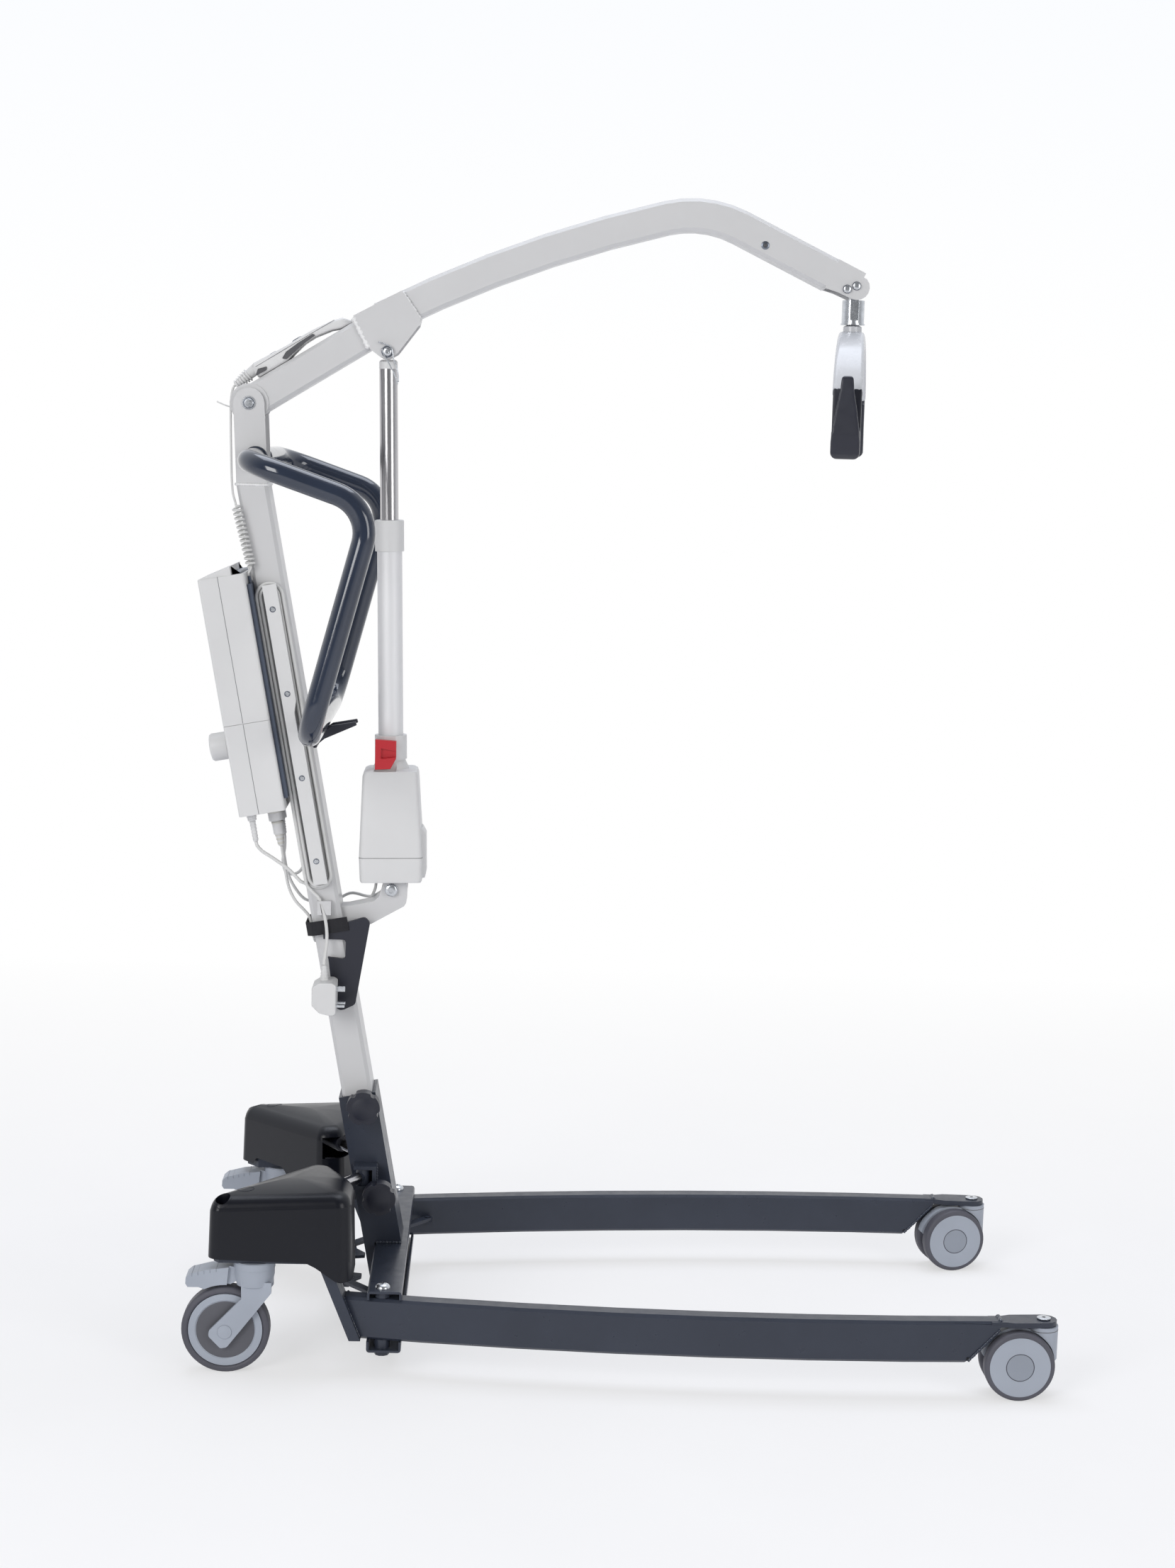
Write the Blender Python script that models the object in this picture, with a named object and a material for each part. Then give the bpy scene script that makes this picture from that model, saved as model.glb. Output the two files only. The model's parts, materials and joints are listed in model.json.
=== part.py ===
"""Wheeled patient lift: two spreading legs on four castors, a tilted mast with a push handle,
a battery control box and a lead holder, and a boom raised by an electric actuator.

Metres, +Z up, +X towards the open ends of the legs, -Y the side with the lead holder (near side).
Lengths are worked out from the leg pivots, and the finished model then stands on the origin.
"""
import math

import bmesh
import bpy
import numpy as np
from mathutils import Matrix, Vector

GAP = 0.0003                 # between pieces that touch
SIDES = {"near": -1, "far": 1}

# Base frame
PIVOT_Y = 0.243              # leg pivot from the middle plane
CROSSBAR_LENGTH = 0.524
CROSSBAR_WIDTH = 0.049
CROSSBAR_FORWARD = 0.003     # middle of the channels ahead of the leg pivots
CHANNEL_WALL = 0.0035
UPPER_CHANNEL_HEIGHT = 0.0122
LOWER_CHANNEL_HEIGHT = 0.0157
CHANNEL_CORNER = 0.004
PIVOT_BOLT_R = 0.006
PIVOT_HEAD_R = 0.0103
PIVOT_HEAD_HEIGHT = 0.0062
PIVOT_BUSH_R = 0.0115
NUT_R = 0.0105
NUT_HEIGHT = 0.0075
BORE_CLEARANCE = 0.0003      # radial, of a bore round its pin
PIVOT_PLAY = 0.0008          # between a leg and the channel above or below it

# Legs
LEG_BOTTOM = 0.052
LEG_HEIGHT = 0.060
LEG_WIDTH = 0.030
LEG_WALL = 0.0025
LEG_START_ANGLE = math.radians(9.65)
LEG_BOW_RADIUS = 4.02
LEG_CORNER = 0.004
LEG_REAR_START = -0.075
BEVEL_TOP_DROP = 0.008
LEVER_HALF = 0.012
LEG_REACH = 0.8702           # top of the leg tube ahead of its pivot
LEG_HOLLOW = (0.030, LEG_REACH - 0.0802)
LEG_BEVEL_RUN = 0.0492       # how far the sloped end goes back
LEG_STATIONS = 7
DRAIN_R = 0.004
DRAIN_X = 0.45
PLATE_THICKNESS = 0.008
PLATE_WIDTH = 0.037
PLATE_LAP = 0.014
ARM_WIDTH = 0.044
ARM_THICKNESS = 0.015
ARM_ANGLE = math.radians(68)
ARM_FOOT_X = -0.030
ARM_DECK_BOTTOM = 0.1635
ARM_DECK_THICKNESS = 0.018
ARM_REACH = 0.238            # back end of the deck behind the leg pivot
ARM_BEND = 0.010
LUG_THICKNESS = 0.005

# Rear castors
REAR_CASTOR_X = -0.182
REAR_CASTOR_Y = 0.240
REAR_WHEEL_R = 0.0625
REAR_TRAIL = 0.039
REAR_TYRE_WIDTH = 0.028
REAR_RIM_R = 0.0525
REAR_RIM_WIDTH = 0.026
REAR_DISC_R = 0.0418
REAR_DISC_RECESS = 0.0015
AXLE_R = 0.006
AXLE_CAP_R = 0.0100
NECK_R = 0.029
NECK_TOP = ARM_DECK_BOTTOM - GAP
NECK_JOINT = 0.1512
BRAKE_PIN = (-0.2035, 0.1440)
BRAKE_PIN_R = 0.003
BRAKE_GAP = 0.0050           # between the pedal and the tyre
BRAKE_SLOT = 0.0125          # half the slot in the fork crown
BRAKE_PAD_HALF = 0.0180
FORK_CROWN_BOTTOM = 0.1285
FORK_ARM = 0.006
FORK_PLAY = 0.002            # between the wheel and each fork arm
STEM_R = 0.006
STEM_NUT_R = 0.011
STEM_NUT_HEIGHT = 0.010

# Castor covers
COVER_BOTTOM = 0.171
COVER_NOSE_BOTTOM = 0.1385
COVER_TOP_REAR = 0.258
COVER_WALL = 0.003
COVER_HOLE = (-0.226, 0.2527)
COVER_HOLE_R = 0.0105
COVER_BOSS_WALL = 0.0025

# Front castors
FRONT_CASTOR_AHEAD = 0.0634  # of the end of the leg tube
FRONT_CASTOR_X = LEG_REACH + FRONT_CASTOR_AHEAD
FRONT_WHEEL_R = 0.050
FRONT_TRAIL = 0.036
FRONT_WHEEL_WIDTH = 0.0215
FRONT_WHEEL_SPLIT = 0.0095   # inner face of each wheel from the middle
FRONT_TREAD_SHOULDER = 0.0052
FRONT_NECK_R = 0.0207
FRONT_NECK_BOTTOM = 0.053
FRONT_AXLE_R = 0.004
FRONT_WHEEL_PLAY = 0.0015
FRONT_YAW = {"near": 0.0, "far": math.radians(10.5)}
CAP_R = 0.0093
CAP_HEIGHT = 0.0012

# Mast and its socket
MAST_TILT = math.radians(10.45)
MAST_FOOT_X = 0.0133         # where the mast's centre line meets the floor
MAST_DEPTH = 0.0445
MAST_WIDTH = 0.070
MAST_WALL = 0.003
MAST_START = 0.152           # along the mast from the floor
MAST_END = 1.268
SOCKET_WALL_X = 0.0048
SOCKET_WALL_Y = 0.0036
SOCKET_CLEARANCE = 0.0004
SOCKET_TOP = 0.357
SOCKET_FLOOR = 0.148
HEAD_TILT = math.radians(2.7)
HEAD_PLATE = 0.005
HEAD_R = 0.0222
HEAD_WEB_TOP = 0.0232        # below the boom pivot
HEAD_BOTTOM = 1.2455
HEAD_FLOOR = 0.006
BOOM_PIVOT = (-0.2218, 1.3614)
BOOM_BOLT_R = 0.006
MAST_CORNER = 0.005

# Leg spreading struts
STRUT_Z = 0.232
STRUT_PIN = (-0.040, 0.0525)
STRUT_ANGLE = math.radians(58.6)
STRUT_LENGTH = 0.164
STRUT_ROD_R = 0.0080
STRUT_CYLINDER_R = 0.0125
STRUT_LUG_HEIGHT = 0.008
STRUT_CYLINDER_START = 0.078
STRUT_ROD_REACH = 0.112
STRUT_EYE_R = 0.0105
STRUT_EYE_HEIGHT = 0.024
STRUT_PIN_R = 0.0045
STRUT_OPEN_PLAY = 0.0022     # the leg end of each strut is the open pivot
STRUT_STROKE = 0.033
STRUT_MOUTH = 0.0165         # half height of the opening in a cover round its strut
BRACKET_PLATE = 0.0055
BRACKET_REACH = 0.066

# Knobs that clamp the mast
KNOB_R = 0.0248
KNOB_DEPTH = 0.024
KNOB_NOTCH_R = 0.0065
KNOB_NOTCHES = 5
KNOB_HUB_R = 0.0068
KNOB_SCREW_R = 0.004
KNOBS = {"upper": (-0.0405, 0.3395, 0.056), "lower": (-0.0148, 0.2065, 0.0675)}

# Yoke that pushes the legs apart through two links
YOKE_LOW = 0.0745
YOKE_THICKNESS = 0.005
YOKE_PIN = (-0.0630, 0.0860)
LINK_LUG = (0.0500, 0.2250)
LINK_WIDTH = 0.014
LINK_THICKNESS = 0.005
LINK_PIN_R = 0.004
LINK_OPEN_PLAY = 0.0012      # the leg end of each link is an open pivot

# Boom
BOOM_REAR_ANGLE = math.radians(31.9)
BOOM_DEPTH = 0.0464
BOOM_WIDTH = 0.0550
BOOM_WALL = 0.003
BOOM_REAR_LENGTH = 0.196
BOOM_DISC_R = 0.028
BOOM_DISC = 0.0018
BOOM_FRONT_START = (-0.036, 1.4857)
BOOM_FRONT_ANGLE = math.radians(27.6)
BOOM_ARCH_RADIUS = 1.84
BOOM_ARCH_LENGTH = 0.436
BOOM_BEND_RADIUS = 0.158
BOOM_TIP_ANGLE = math.radians(-25.5)
TIP_START = 0.148            # along the straight run from the bend
TIP_OPEN_START = 0.1465
TIP_TOP_END = 0.1885
TIP_CENTRE = 0.1865
TIP_R = 0.0179
TIP_CHEEK = 0.004
TIP_BOLT_R = 0.004
SLEEVE_HALF = 0.0335
SLEEVE_PLATE = 0.0045
BOOM_PIN = (-0.0254, 1.4392)
BOOM_PIN_R = 0.005
HANGER_PIVOT = (0.6440, 1.5512)
STOP_BOLT = (0.6306, 1.5464)

# Hanger and spreader bar
HANGER_R = 0.0162
HANGER_TOP = 0.0195          # below its pivot
HANGER_BOTTOM = 0.0545
HANGER_EYE_R = 0.0080
HANGER_EYE_WIDTH = 0.030
HANGER_NECK = 0.0055
SWIVEL_R = 0.006
SWIVEL_HEAD_R = 0.009
SPREADER_YAW = math.radians(-8.3)
SPREADER_WIDTH = 0.036
SPREADER_THICKNESS = 0.020
SPREADER_FLARE = 0.003       # half width gained at the bar's ends
SPREADER_STEP = 0.034
SWIVEL_SHANK = 0.0148
SWIVEL_TOP = 0.0235
SPREADER_DROP = 0.0202       # middle of the bar below the hanger's rim
SPREADER_LINE = [(0.0, 0.0), (0.060, 0.0025), (0.120, 0.0215), (0.165, 0.0515), (0.185, 0.0805)]
HOOK_WIDTH = 0.040
HOOK_BOTTOM = 1.306
HOOK_THROAT = (0.196, 0.222)

# Actuator
ACTUATOR_FOOT = (-0.0070, 0.6572)
ACTUATOR_LEAN = math.radians(1.35)
ACTUATOR_TUBE_R = 0.0182
ACTUATOR_TUBE_START = 0.1815
ACTUATOR_TUBE_END = 0.5410
COLLAR_R = 0.0207
COLLAR_LENGTH = 0.0440
ROD_R = 0.0132
ROD_PLAY = 0.0004
ROD_BOTTOM = 0.420
ROD_TOP = 0.7715
FOOT_EYE_R = 0.0115
FOOT_EYE_WIDTH = 0.023
FOOT_BOLT_R = 0.005
ARM_BRACKET_WIDTH = 0.040
CATCH_TRAVEL = 0.008
CATCH_BACK = 0.0225
FOOT_CLEAR = 0.0132          # bottom of the housing above the foot bolt
RING_START = 0.193
RING_END = 0.228
RING_R = 0.0235

# Push handle
HANDLE_R = 0.0158
HANDLE_WALL = 0.0022
HANDLE_Y = 0.270
HANDLE_BEND = 0.055
HANDLE_ENTRY = (-0.2110, 1.2826)
HANDLE_TOP = (-0.2002, 1.2826)
HANDLE_ELBOW = (-0.0305, 1.2249)
HANDLE_CROSSING = 0.9155     # along the mast

# Control box
BOX_NEAR = -0.0285           # front face behind the mast's centre line
BOX_DEPTH = 0.0677
BOX_HALF_Y = 0.075
BOX_BOTTOM = 0.7985
BOX_SEAM = 0.9317
BOX_TOP = 1.1445
BOX_LID = 0.0125
BOX_RECESS = -0.0475         # front edge of the lid's slope
BOX_WALL = 0.003
PLATE_SPAN = (0.815, 1.128)  # along the mast
PLATE_HALF_Y = 0.066
SOCKET_FORWARD = -0.0253
SOCKET_SIDE = -0.0440
SOCKET_R = 0.0024
SOCKET_HEIGHT = 0.0105
STOP_ALONG = 0.8975
STOP_BUTTON_R = 0.0205
STOP_BUTTON_LENGTH = 0.032
STOP_TRAVEL = 0.005
STOP_STEM_R = 0.0080

# Lead holder and leads
LEAD_R = 0.0025
CABLE_R = 0.0022
HOLDER_BAR_WIDTH = 0.0204
HOLDER_BAR_THICKNESS = 0.009
HOLDER_FORWARD = 0.0017
HOLDER_START = 0.680
HOLDER_END = 1.122
HOLDER_NOTCH = (0.898, 0.934)
HOLDER_NOTCH_DEPTH = 0.0052
HOLDER_POST_R = 0.0048
HOLDER_STANDOFF = 0.0125
HANK_CENTRES = (0.692, 1.105)
HANK_OUTER = 0.0202          # radius of the outermost fold
HANK_STEP = 0.00275          # change of radius in half a turn
HANK_LAYER = 0.0055
HANK_TAIL = 0.008            # straight end beyond the last fold's centre
FOLD_STEPS = 11
CLIP_DEPTH = 0.0130
CLIP_CLEARANCE = 0.0010
CURL_R = 0.0056
CURL_LEAD_R = 0.0017
CURLS = 14
CURL_POINTS = 8
PLATE_Y_THICKNESS = 0.006
STRAP_THICKNESS = 0.002
STRAP_HEIGHT = 0.0205
STRAP_ALONG = 0.6144

# Handset, in the frame of the boom's rear run
HANDSET_LOW = BOOM_DEPTH / 2 + 0.0004
RELIEF_AXIS = (-0.0287, 0.0, -0.0239)
RELIEF_LENGTH = 0.0374
BUTTON_ALONG = {"up": 0.104, "down": 0.062}
BUTTON_RISE = 0.0440
BUTTON_R = 0.0080
BUTTON_TRAVEL = 0.001

COLOURS = {
    "frame_grey": ((0.055, 0.062, 0.080), 0.42, 0.0),
    "paint_white": ((0.60, 0.60, 0.61), 0.38, 0.0),
    "cover_black": ((0.022, 0.025, 0.032), 0.45, 0.0),
    "handle_blue": ((0.022, 0.030, 0.045), 0.18, 0.0),
    "zinc": ((0.62, 0.63, 0.65), 0.28, 1.0),
    "chrome": ((0.75, 0.75, 0.76), 0.10, 1.0),
    "aluminium": ((0.72, 0.73, 0.75), 0.30, 1.0),
    "castor_grey": ((0.30, 0.34, 0.39), 0.45, 0.0),
    "tyre_grey": ((0.10, 0.10, 0.125), 0.60, 0.0),
    "box_grey": ((0.64, 0.64, 0.63), 0.45, 0.0),
    "plate_blue": ((0.08, 0.10, 0.13), 0.50, 0.0),
    "black": ((0.028, 0.028, 0.034), 0.55, 0.0),
    "red": ((0.63, 0.03, 0.035), 0.40, 0.0),
    "lead_grey": ((0.66, 0.66, 0.65), 0.50, 0.0),
    "webbing": ((0.020, 0.020, 0.024), 0.85, 0.0),
}


def clear_scene():
    for scene_object in list(bpy.data.objects):
        bpy.data.objects.remove(scene_object, do_unlink=True)


def make_material(name, colour):
    rgb, roughness, metallic = COLOURS[colour]
    material = bpy.data.materials.new(name)
    material.use_nodes = True
    shader = material.node_tree.nodes["Principled BSDF"]
    shader.inputs["Base Color"].default_value = (*rgb, 1.0)
    shader.inputs["Roughness"].default_value = roughness
    shader.inputs["Metallic"].default_value = metallic
    material.diffuse_color = (*rgb, 1.0)
    return material


# Carriers: one empty for each joint, on its axis

PLACES = {}


def carrier(name, place, parent=None):
    empty = bpy.data.objects.new(name, None)
    bpy.context.collection.objects.link(empty)
    PLACES[name] = Vector(place)
    empty.parent = parent
    start = PLACES[parent.name] if parent else Vector()
    empty.location = PLACES[name] - start
    return empty


def add_mesh(name, bm, holder):
    bm.transform(Matrix.Translation(-PLACES[holder.name]))
    bmesh.ops.recalc_face_normals(bm, faces=bm.faces)
    mesh = bpy.data.meshes.new(name)
    bm.to_mesh(mesh)
    bm.free()
    mesh.shade_smooth()
    mesh.set_sharp_from_angle(angle=math.radians(35))
    solid = bpy.data.objects.new(name, mesh)
    bpy.context.collection.objects.link(solid)
    solid.parent = holder
    return solid


def node(name, bm, colour, holder, steps=()):
    """One sub-part: a base solid, then unions and cuts in order."""
    solid = add_mesh(name, bm, holder)
    solid.data.materials.append(make_material(name, colour))
    for number, (operation, tool_mesh) in enumerate(steps):
        tool = add_mesh(f"{name}_tool_{number}", tool_mesh, holder)
        tool.hide_render = True
        tool.display_type = "WIRE"
        modifier = solid.modifiers.new(f"step_{number}", "BOOLEAN")
        modifier.operation = operation
        modifier.solver = "EXACT"
        modifier.object = tool
    return solid


def join(bm):
    return ("UNION", bm)


def cut(bm):
    return ("DIFFERENCE", bm)


# Shapes, each returned as a bmesh in the frame of the leg pivots

AXES = {
    "XZ": (Vector((1, 0, 0)), Vector((0, 0, 1)), Vector((0, 1, 0))),
    "XY": (Vector((1, 0, 0)), Vector((0, 1, 0)), Vector((0, 0, 1))),
    "YZ": (Vector((0, 1, 0)), Vector((0, 0, 1)), Vector((1, 0, 0))),
}


def prism(outline, low, high, plane="XZ"):
    """A flat outline extruded square to its plane, from low to high."""
    first, second, normal = AXES[plane]
    bm = bmesh.new()
    rings = []
    for level in (low, high):
        rings.append([bm.verts.new(first * p[0] + second * p[1] + normal * level) for p in outline])
    count = len(outline)
    bm.faces.new(rings[0])
    bm.faces.new(list(reversed(rings[1])))
    for index in range(count):
        after = (index + 1) % count
        bm.faces.new((rings[0][index], rings[1][index], rings[1][after], rings[0][after]))
    bmesh.ops.recalc_face_normals(bm, faces=bm.faces)
    return bm


def box(low, high):
    outline = [(low[0], low[1]), (high[0], low[1]), (high[0], high[1]), (low[0], high[1])]
    return prism(outline, low[2], high[2], "XY")


def merged(*meshes):
    """Several separate solids in one bmesh."""
    bm = bmesh.new()
    for piece in meshes:
        mesh = bpy.data.meshes.new("piece")
        piece.to_mesh(mesh)
        piece.free()
        bm.from_mesh(mesh)
        bpy.data.meshes.remove(mesh)
    return bm


def fillet(points, radius, steps=4):
    """Rounds the corners of an outline. radius is one value or one for each corner."""
    count = len(points)
    radii = radius if isinstance(radius, (list, tuple)) else [radius] * count
    outline = []
    for index, point in enumerate(points):
        here = Vector(point)
        before = (Vector(points[index - 1]) - here)
        after = (Vector(points[(index + 1) % count]) - here)
        reach = radii[index]
        if reach <= 0:
            outline.append(tuple(here))
            continue
        half = before.angle(after) / 2
        tangent = min(reach / math.tan(half), before.length * 0.49, after.length * 0.49)
        reach = tangent * math.tan(half)
        centre = here + (before.normalized() + after.normalized()).normalized() * (reach / math.sin(half))
        start = here + before.normalized() * tangent - centre
        finish = here + after.normalized() * tangent - centre
        sweep = start.angle_signed(finish)
        for step in range(steps + 1):
            turn = Matrix.Rotation(-sweep * step / steps, 2)
            outline.append(tuple(centre + turn @ start))
    return outline


def turned(profile, centre, axis, segments=24):
    """A closed (radius, height) outline spun about an axis. A radius of 0 lies on the axis."""
    bm = bmesh.new()
    turn = Vector((0, 0, 1)).rotation_difference(Vector(axis).normalized()).to_matrix().to_4x4()
    rings = []
    for radius, height in profile:
        if radius < 1e-9:
            rings.append([bm.verts.new((0, 0, height))])
            continue
        ring = []
        for index in range(segments):
            angle = 2 * math.pi * index / segments
            ring.append(bm.verts.new((radius * math.cos(angle), radius * math.sin(angle), height)))
        rings.append(ring)
    on_axis = len(rings[0]) == 1 and len(rings[-1]) == 1
    pairs = list(zip(rings, rings[1:]))
    if not on_axis:
        pairs.append((rings[-1], rings[0]))
    for lower, upper in pairs:
        for index in range(segments):
            after = (index + 1) % segments
            corners = [lower[index % len(lower)], lower[after % len(lower)],
                       upper[after % len(upper)], upper[index % len(upper)]]
            unique = list(dict.fromkeys(corners))
            if len(unique) > 2:
                bm.faces.new(unique)
    bm.transform(Matrix.Translation(Vector(centre)) @ turn)
    bmesh.ops.recalc_face_normals(bm, faces=bm.faces)
    return bm


def rod(start, finish, radius, segments=20, end_radius=None):
    """A round bar or cone between two points."""
    start, finish = Vector(start), Vector(finish)
    length = (finish - start).length
    last = radius if end_radius is None else end_radius
    return turned([(0, 0), (radius, 0), (last, length), (0, length)], start, finish - start, segments)


def loft(rings):
    """Skins closed rings of equal point counts, with flat caps."""
    bm = bmesh.new()
    loops = [[bm.verts.new(point) for point in ring] for ring in rings]
    count = len(rings[0])
    for lower, upper in zip(loops, loops[1:]):
        for index in range(count):
            after = (index + 1) % count
            bm.faces.new((lower[index], lower[after], upper[after], upper[index]))
    bm.faces.new(list(reversed(loops[0])))
    bm.faces.new(loops[-1])
    bmesh.ops.recalc_face_normals(bm, faces=bm.faces)
    return bm


def rounded_ring(centre, across, up, half_across, half_up, radius, steps=2):
    """A rectangle with round corners, as points round a centre."""
    corners = [(-half_across, -half_up), (half_across, -half_up),
               (half_across, half_up), (-half_across, half_up)]
    outline = fillet(corners, radius, steps)
    return [Vector(centre) + Vector(across) * a + Vector(up) * b for a, b in outline]


def smooth_route(points, step):
    """Points a step apart on a smooth curve through the route's own points."""
    route = [Vector(point) for point in points]
    padded = [route[0] * 2 - route[1]] + route + [route[-1] * 2 - route[-2]]
    fine = []
    for index in range(1, len(padded) - 2):
        a, b, c, d = padded[index - 1:index + 3]
        for part in range(24):
            t = part / 24
            fine.append(0.5 * ((2 * b) + (c - a) * t + (2 * a - 5 * b + 4 * c - d) * t ** 2
                               + (3 * b - a - 3 * c + d) * t ** 3))
    fine.append(route[-1])
    return spaced(fine, step)


def spaced(fine, step):
    """Even spacing along a dense run of points, keeping both ends."""
    lengths = [0.0]
    for before, after in zip(fine, fine[1:]):
        lengths.append(lengths[-1] + (after - before).length)
    count = max(2, round(lengths[-1] / step))
    result = []
    index = 0
    for number in range(count + 1):
        target = lengths[-1] * number / count
        while index < len(lengths) - 2 and lengths[index + 1] < target:
            index += 1
        span = lengths[index + 1] - lengths[index]
        share = 0 if span < 1e-12 else (target - lengths[index]) / span
        result.append(fine[index].lerp(fine[index + 1], share))
    return result


def cord(name, points, radius, colour, holder, resolution=2):
    """A cord or bent tube as a curve with filled ends."""
    curve = bpy.data.curves.new(name, "CURVE")
    curve.dimensions = "3D"
    curve.bevel_depth = radius
    curve.bevel_resolution = resolution
    curve.use_fill_caps = True
    curve.twist_mode = "MINIMUM"
    spline = curve.splines.new("POLY")
    spline.points.add(len(points) - 1)
    for spot, point in zip(spline.points, points):
        spot.co = (*(Vector(point) - PLACES[holder.name]), 1.0)
    solid = bpy.data.objects.new(name, curve)
    bpy.context.collection.objects.link(solid)
    solid.parent = holder
    curve.materials.append(make_material(name, colour))
    return solid


def route_length(points):
    return sum((Vector(b) - Vector(a)).length for a, b in zip(points, points[1:]))


def rounded_corners(points, radius, steps=6):
    """A bent tube's centre line: straight runs joined by arcs."""
    line = [Vector(points[0])]
    for before, here, after in zip(points, points[1:], points[2:]):
        before, here, after = Vector(before), Vector(here), Vector(after)
        back, ahead = (before - here).normalized(), (after - here).normalized()
        half = back.angle(ahead) / 2
        tangent = radius / math.tan(half)
        centre = here + (back + ahead).normalized() * (radius / math.sin(half))
        start = here + back * tangent - centre
        turn_axis = ahead.cross(back)
        sweep = math.pi - 2 * half
        for step in range(steps + 1):
            line.append(centre + Matrix.Rotation(sweep * step / steps, 3, turn_axis) @ start)
    line.append(Vector(points[-1]))
    return line


# Frames of reference that several pieces share

def mast_point(along, forward=0.0, side=0.0):
    """A point given by its distance along the tilted mast and ahead of its centre line."""
    return Vector((MAST_FOOT_X - along * math.sin(MAST_TILT) + forward * math.cos(MAST_TILT), side,
                   along * math.cos(MAST_TILT) + forward * math.sin(MAST_TILT)))


def mast_x(height, forward):
    """X on the line that runs beside the mast's centre line, at a height."""
    return MAST_FOOT_X - height * math.tan(MAST_TILT) + forward / math.cos(MAST_TILT)


def mast_outline(pairs):
    points = [mast_point(along, forward) for along, forward in pairs]
    return [(point.x, point.z) for point in points]


def actuator_point(along, across=0.0, side=0.0):
    return Vector((ACTUATOR_FOOT[0] - along * math.sin(ACTUATOR_LEAN) + across * math.cos(ACTUATOR_LEAN),
                   side,
                   ACTUATOR_FOOT[1] + along * math.cos(ACTUATOR_LEAN) + across * math.sin(ACTUATOR_LEAN)))


def boom_point(along, rise=0.0, side=0.0):
    """A point on the rear run of the boom: along it from the pivot, and square to it."""
    return Vector((BOOM_PIVOT[0] + along * math.cos(BOOM_REAR_ANGLE) - rise * math.sin(BOOM_REAR_ANGLE),
                   side,
                   BOOM_PIVOT[1] + along * math.sin(BOOM_REAR_ANGLE) + rise * math.cos(BOOM_REAR_ANGLE)))


def leg_place(run, side, offset=0.0):
    """A point on the leg's bowed centre line in plan, by its run ahead of the pivot."""
    heading = math.asin(max(-1, math.sin(LEG_START_ANGLE) - run / LEG_BOW_RADIUS))
    out = PIVOT_Y + LEG_BOW_RADIUS * (math.cos(heading) - math.cos(LEG_START_ANGLE))
    return run - offset * math.sin(heading), side * (out + offset * math.cos(heading))


LEG_TOP = LEG_BOTTOM + LEG_HEIGHT
ARM_DECK_TOP = ARM_DECK_BOTTOM + ARM_DECK_THICKNESS
UPPER_TOP = LEG_TOP + PIVOT_PLAY + UPPER_CHANNEL_HEIGHT
LOWER_BOTTOM = LEG_BOTTOM - PIVOT_PLAY - LOWER_CHANNEL_HEIGHT
SOCKET_HALF_X = MAST_DEPTH / 2 + SOCKET_CLEARANCE + SOCKET_WALL_X
SOCKET_HALF_Y = MAST_WIDTH / 2 + SOCKET_CLEARANCE + SOCKET_WALL_Y
NEAR_FACE = -MAST_WIDTH / 2 - GAP
HANK_INNER_Y = NEAR_FACE - LEAD_R - GAP
HANK_OUTER_Y = HANK_INNER_Y - HANK_LAYER
CLIP_LINE = (mast_point(0.6570, -0.0050, -0.0440), mast_point(0.6300, -0.0014, -0.0464))


def channel_outline(web_z, lip_z):
    """A C channel seen from its end, web first."""
    low, high = CROSSBAR_FORWARD - CROSSBAR_WIDTH / 2, CROSSBAR_FORWARD + CROSSBAR_WIDTH / 2
    into = CHANNEL_WALL if lip_z > web_z else -CHANNEL_WALL
    points = [(low, lip_z), (low, web_z), (high, web_z), (high, lip_z),
              (high - CHANNEL_WALL, lip_z), (high - CHANNEL_WALL, web_z + into),
              (low + CHANNEL_WALL, web_z + into), (low + CHANNEL_WALL, lip_z)]
    return fillet(points, [0, CHANNEL_CORNER, CHANNEL_CORNER, 0, 0, 0, 0, 0], 2)


def pivot_rods(radius, low, high, segments=12):
    return merged(*[rod((0, side * PIVOT_Y, low), (0, side * PIVOT_Y, high), radius, segments)
                    for side in SIDES.values()])


def pivot_bolt(side):
    """Dome-headed leg pivot with its upper bush and its nut."""
    nut_top = LOWER_BOTTOM - GAP
    bush = LEG_TOP + GAP
    head = UPPER_TOP - 0.0005
    profile = [(0, nut_top - NUT_HEIGHT), (NUT_R, nut_top - NUT_HEIGHT), (NUT_R, nut_top), (PIVOT_BOLT_R, nut_top),
               (PIVOT_BOLT_R, bush), (PIVOT_BUSH_R, bush), (PIVOT_BUSH_R, head), (PIVOT_HEAD_R, head)]
    for step in range(3):
        angle = math.pi / 2 * step / 2
        profile.append((PIVOT_HEAD_R * math.cos(angle), UPPER_TOP + PIVOT_HEAD_HEIGHT * math.sin(angle)))
    return turned(profile, (0, side * PIVOT_Y, 0), (0, 0, 1), 10)


def make_crossbars(root):
    """Channels above and below the legs; the upper one carries the bolts that the legs turn on."""
    half = CROSSBAR_LENGTH / 2
    upper = prism(channel_outline(UPPER_TOP, LEG_TOP + PIVOT_PLAY), -half, half)
    node("upper_crossbar", upper, "frame_grey", root, [join(pivot_bolt(side)) for side in SIDES.values()])
    lower = prism(channel_outline(LOWER_BOTTOM, LEG_BOTTOM - PIVOT_PLAY), -half, half)
    bushes = pivot_rods(PIVOT_BUSH_R, LOWER_BOTTOM + 0.001, LEG_BOTTOM - GAP)
    bores = pivot_rods(PIVOT_BOLT_R + BORE_CLEARANCE, LOWER_BOTTOM - 0.01, LEG_BOTTOM + 0.01)
    node("lower_crossbar", lower, "frame_grey", root, [join(bushes), cut(bores)])


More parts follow.
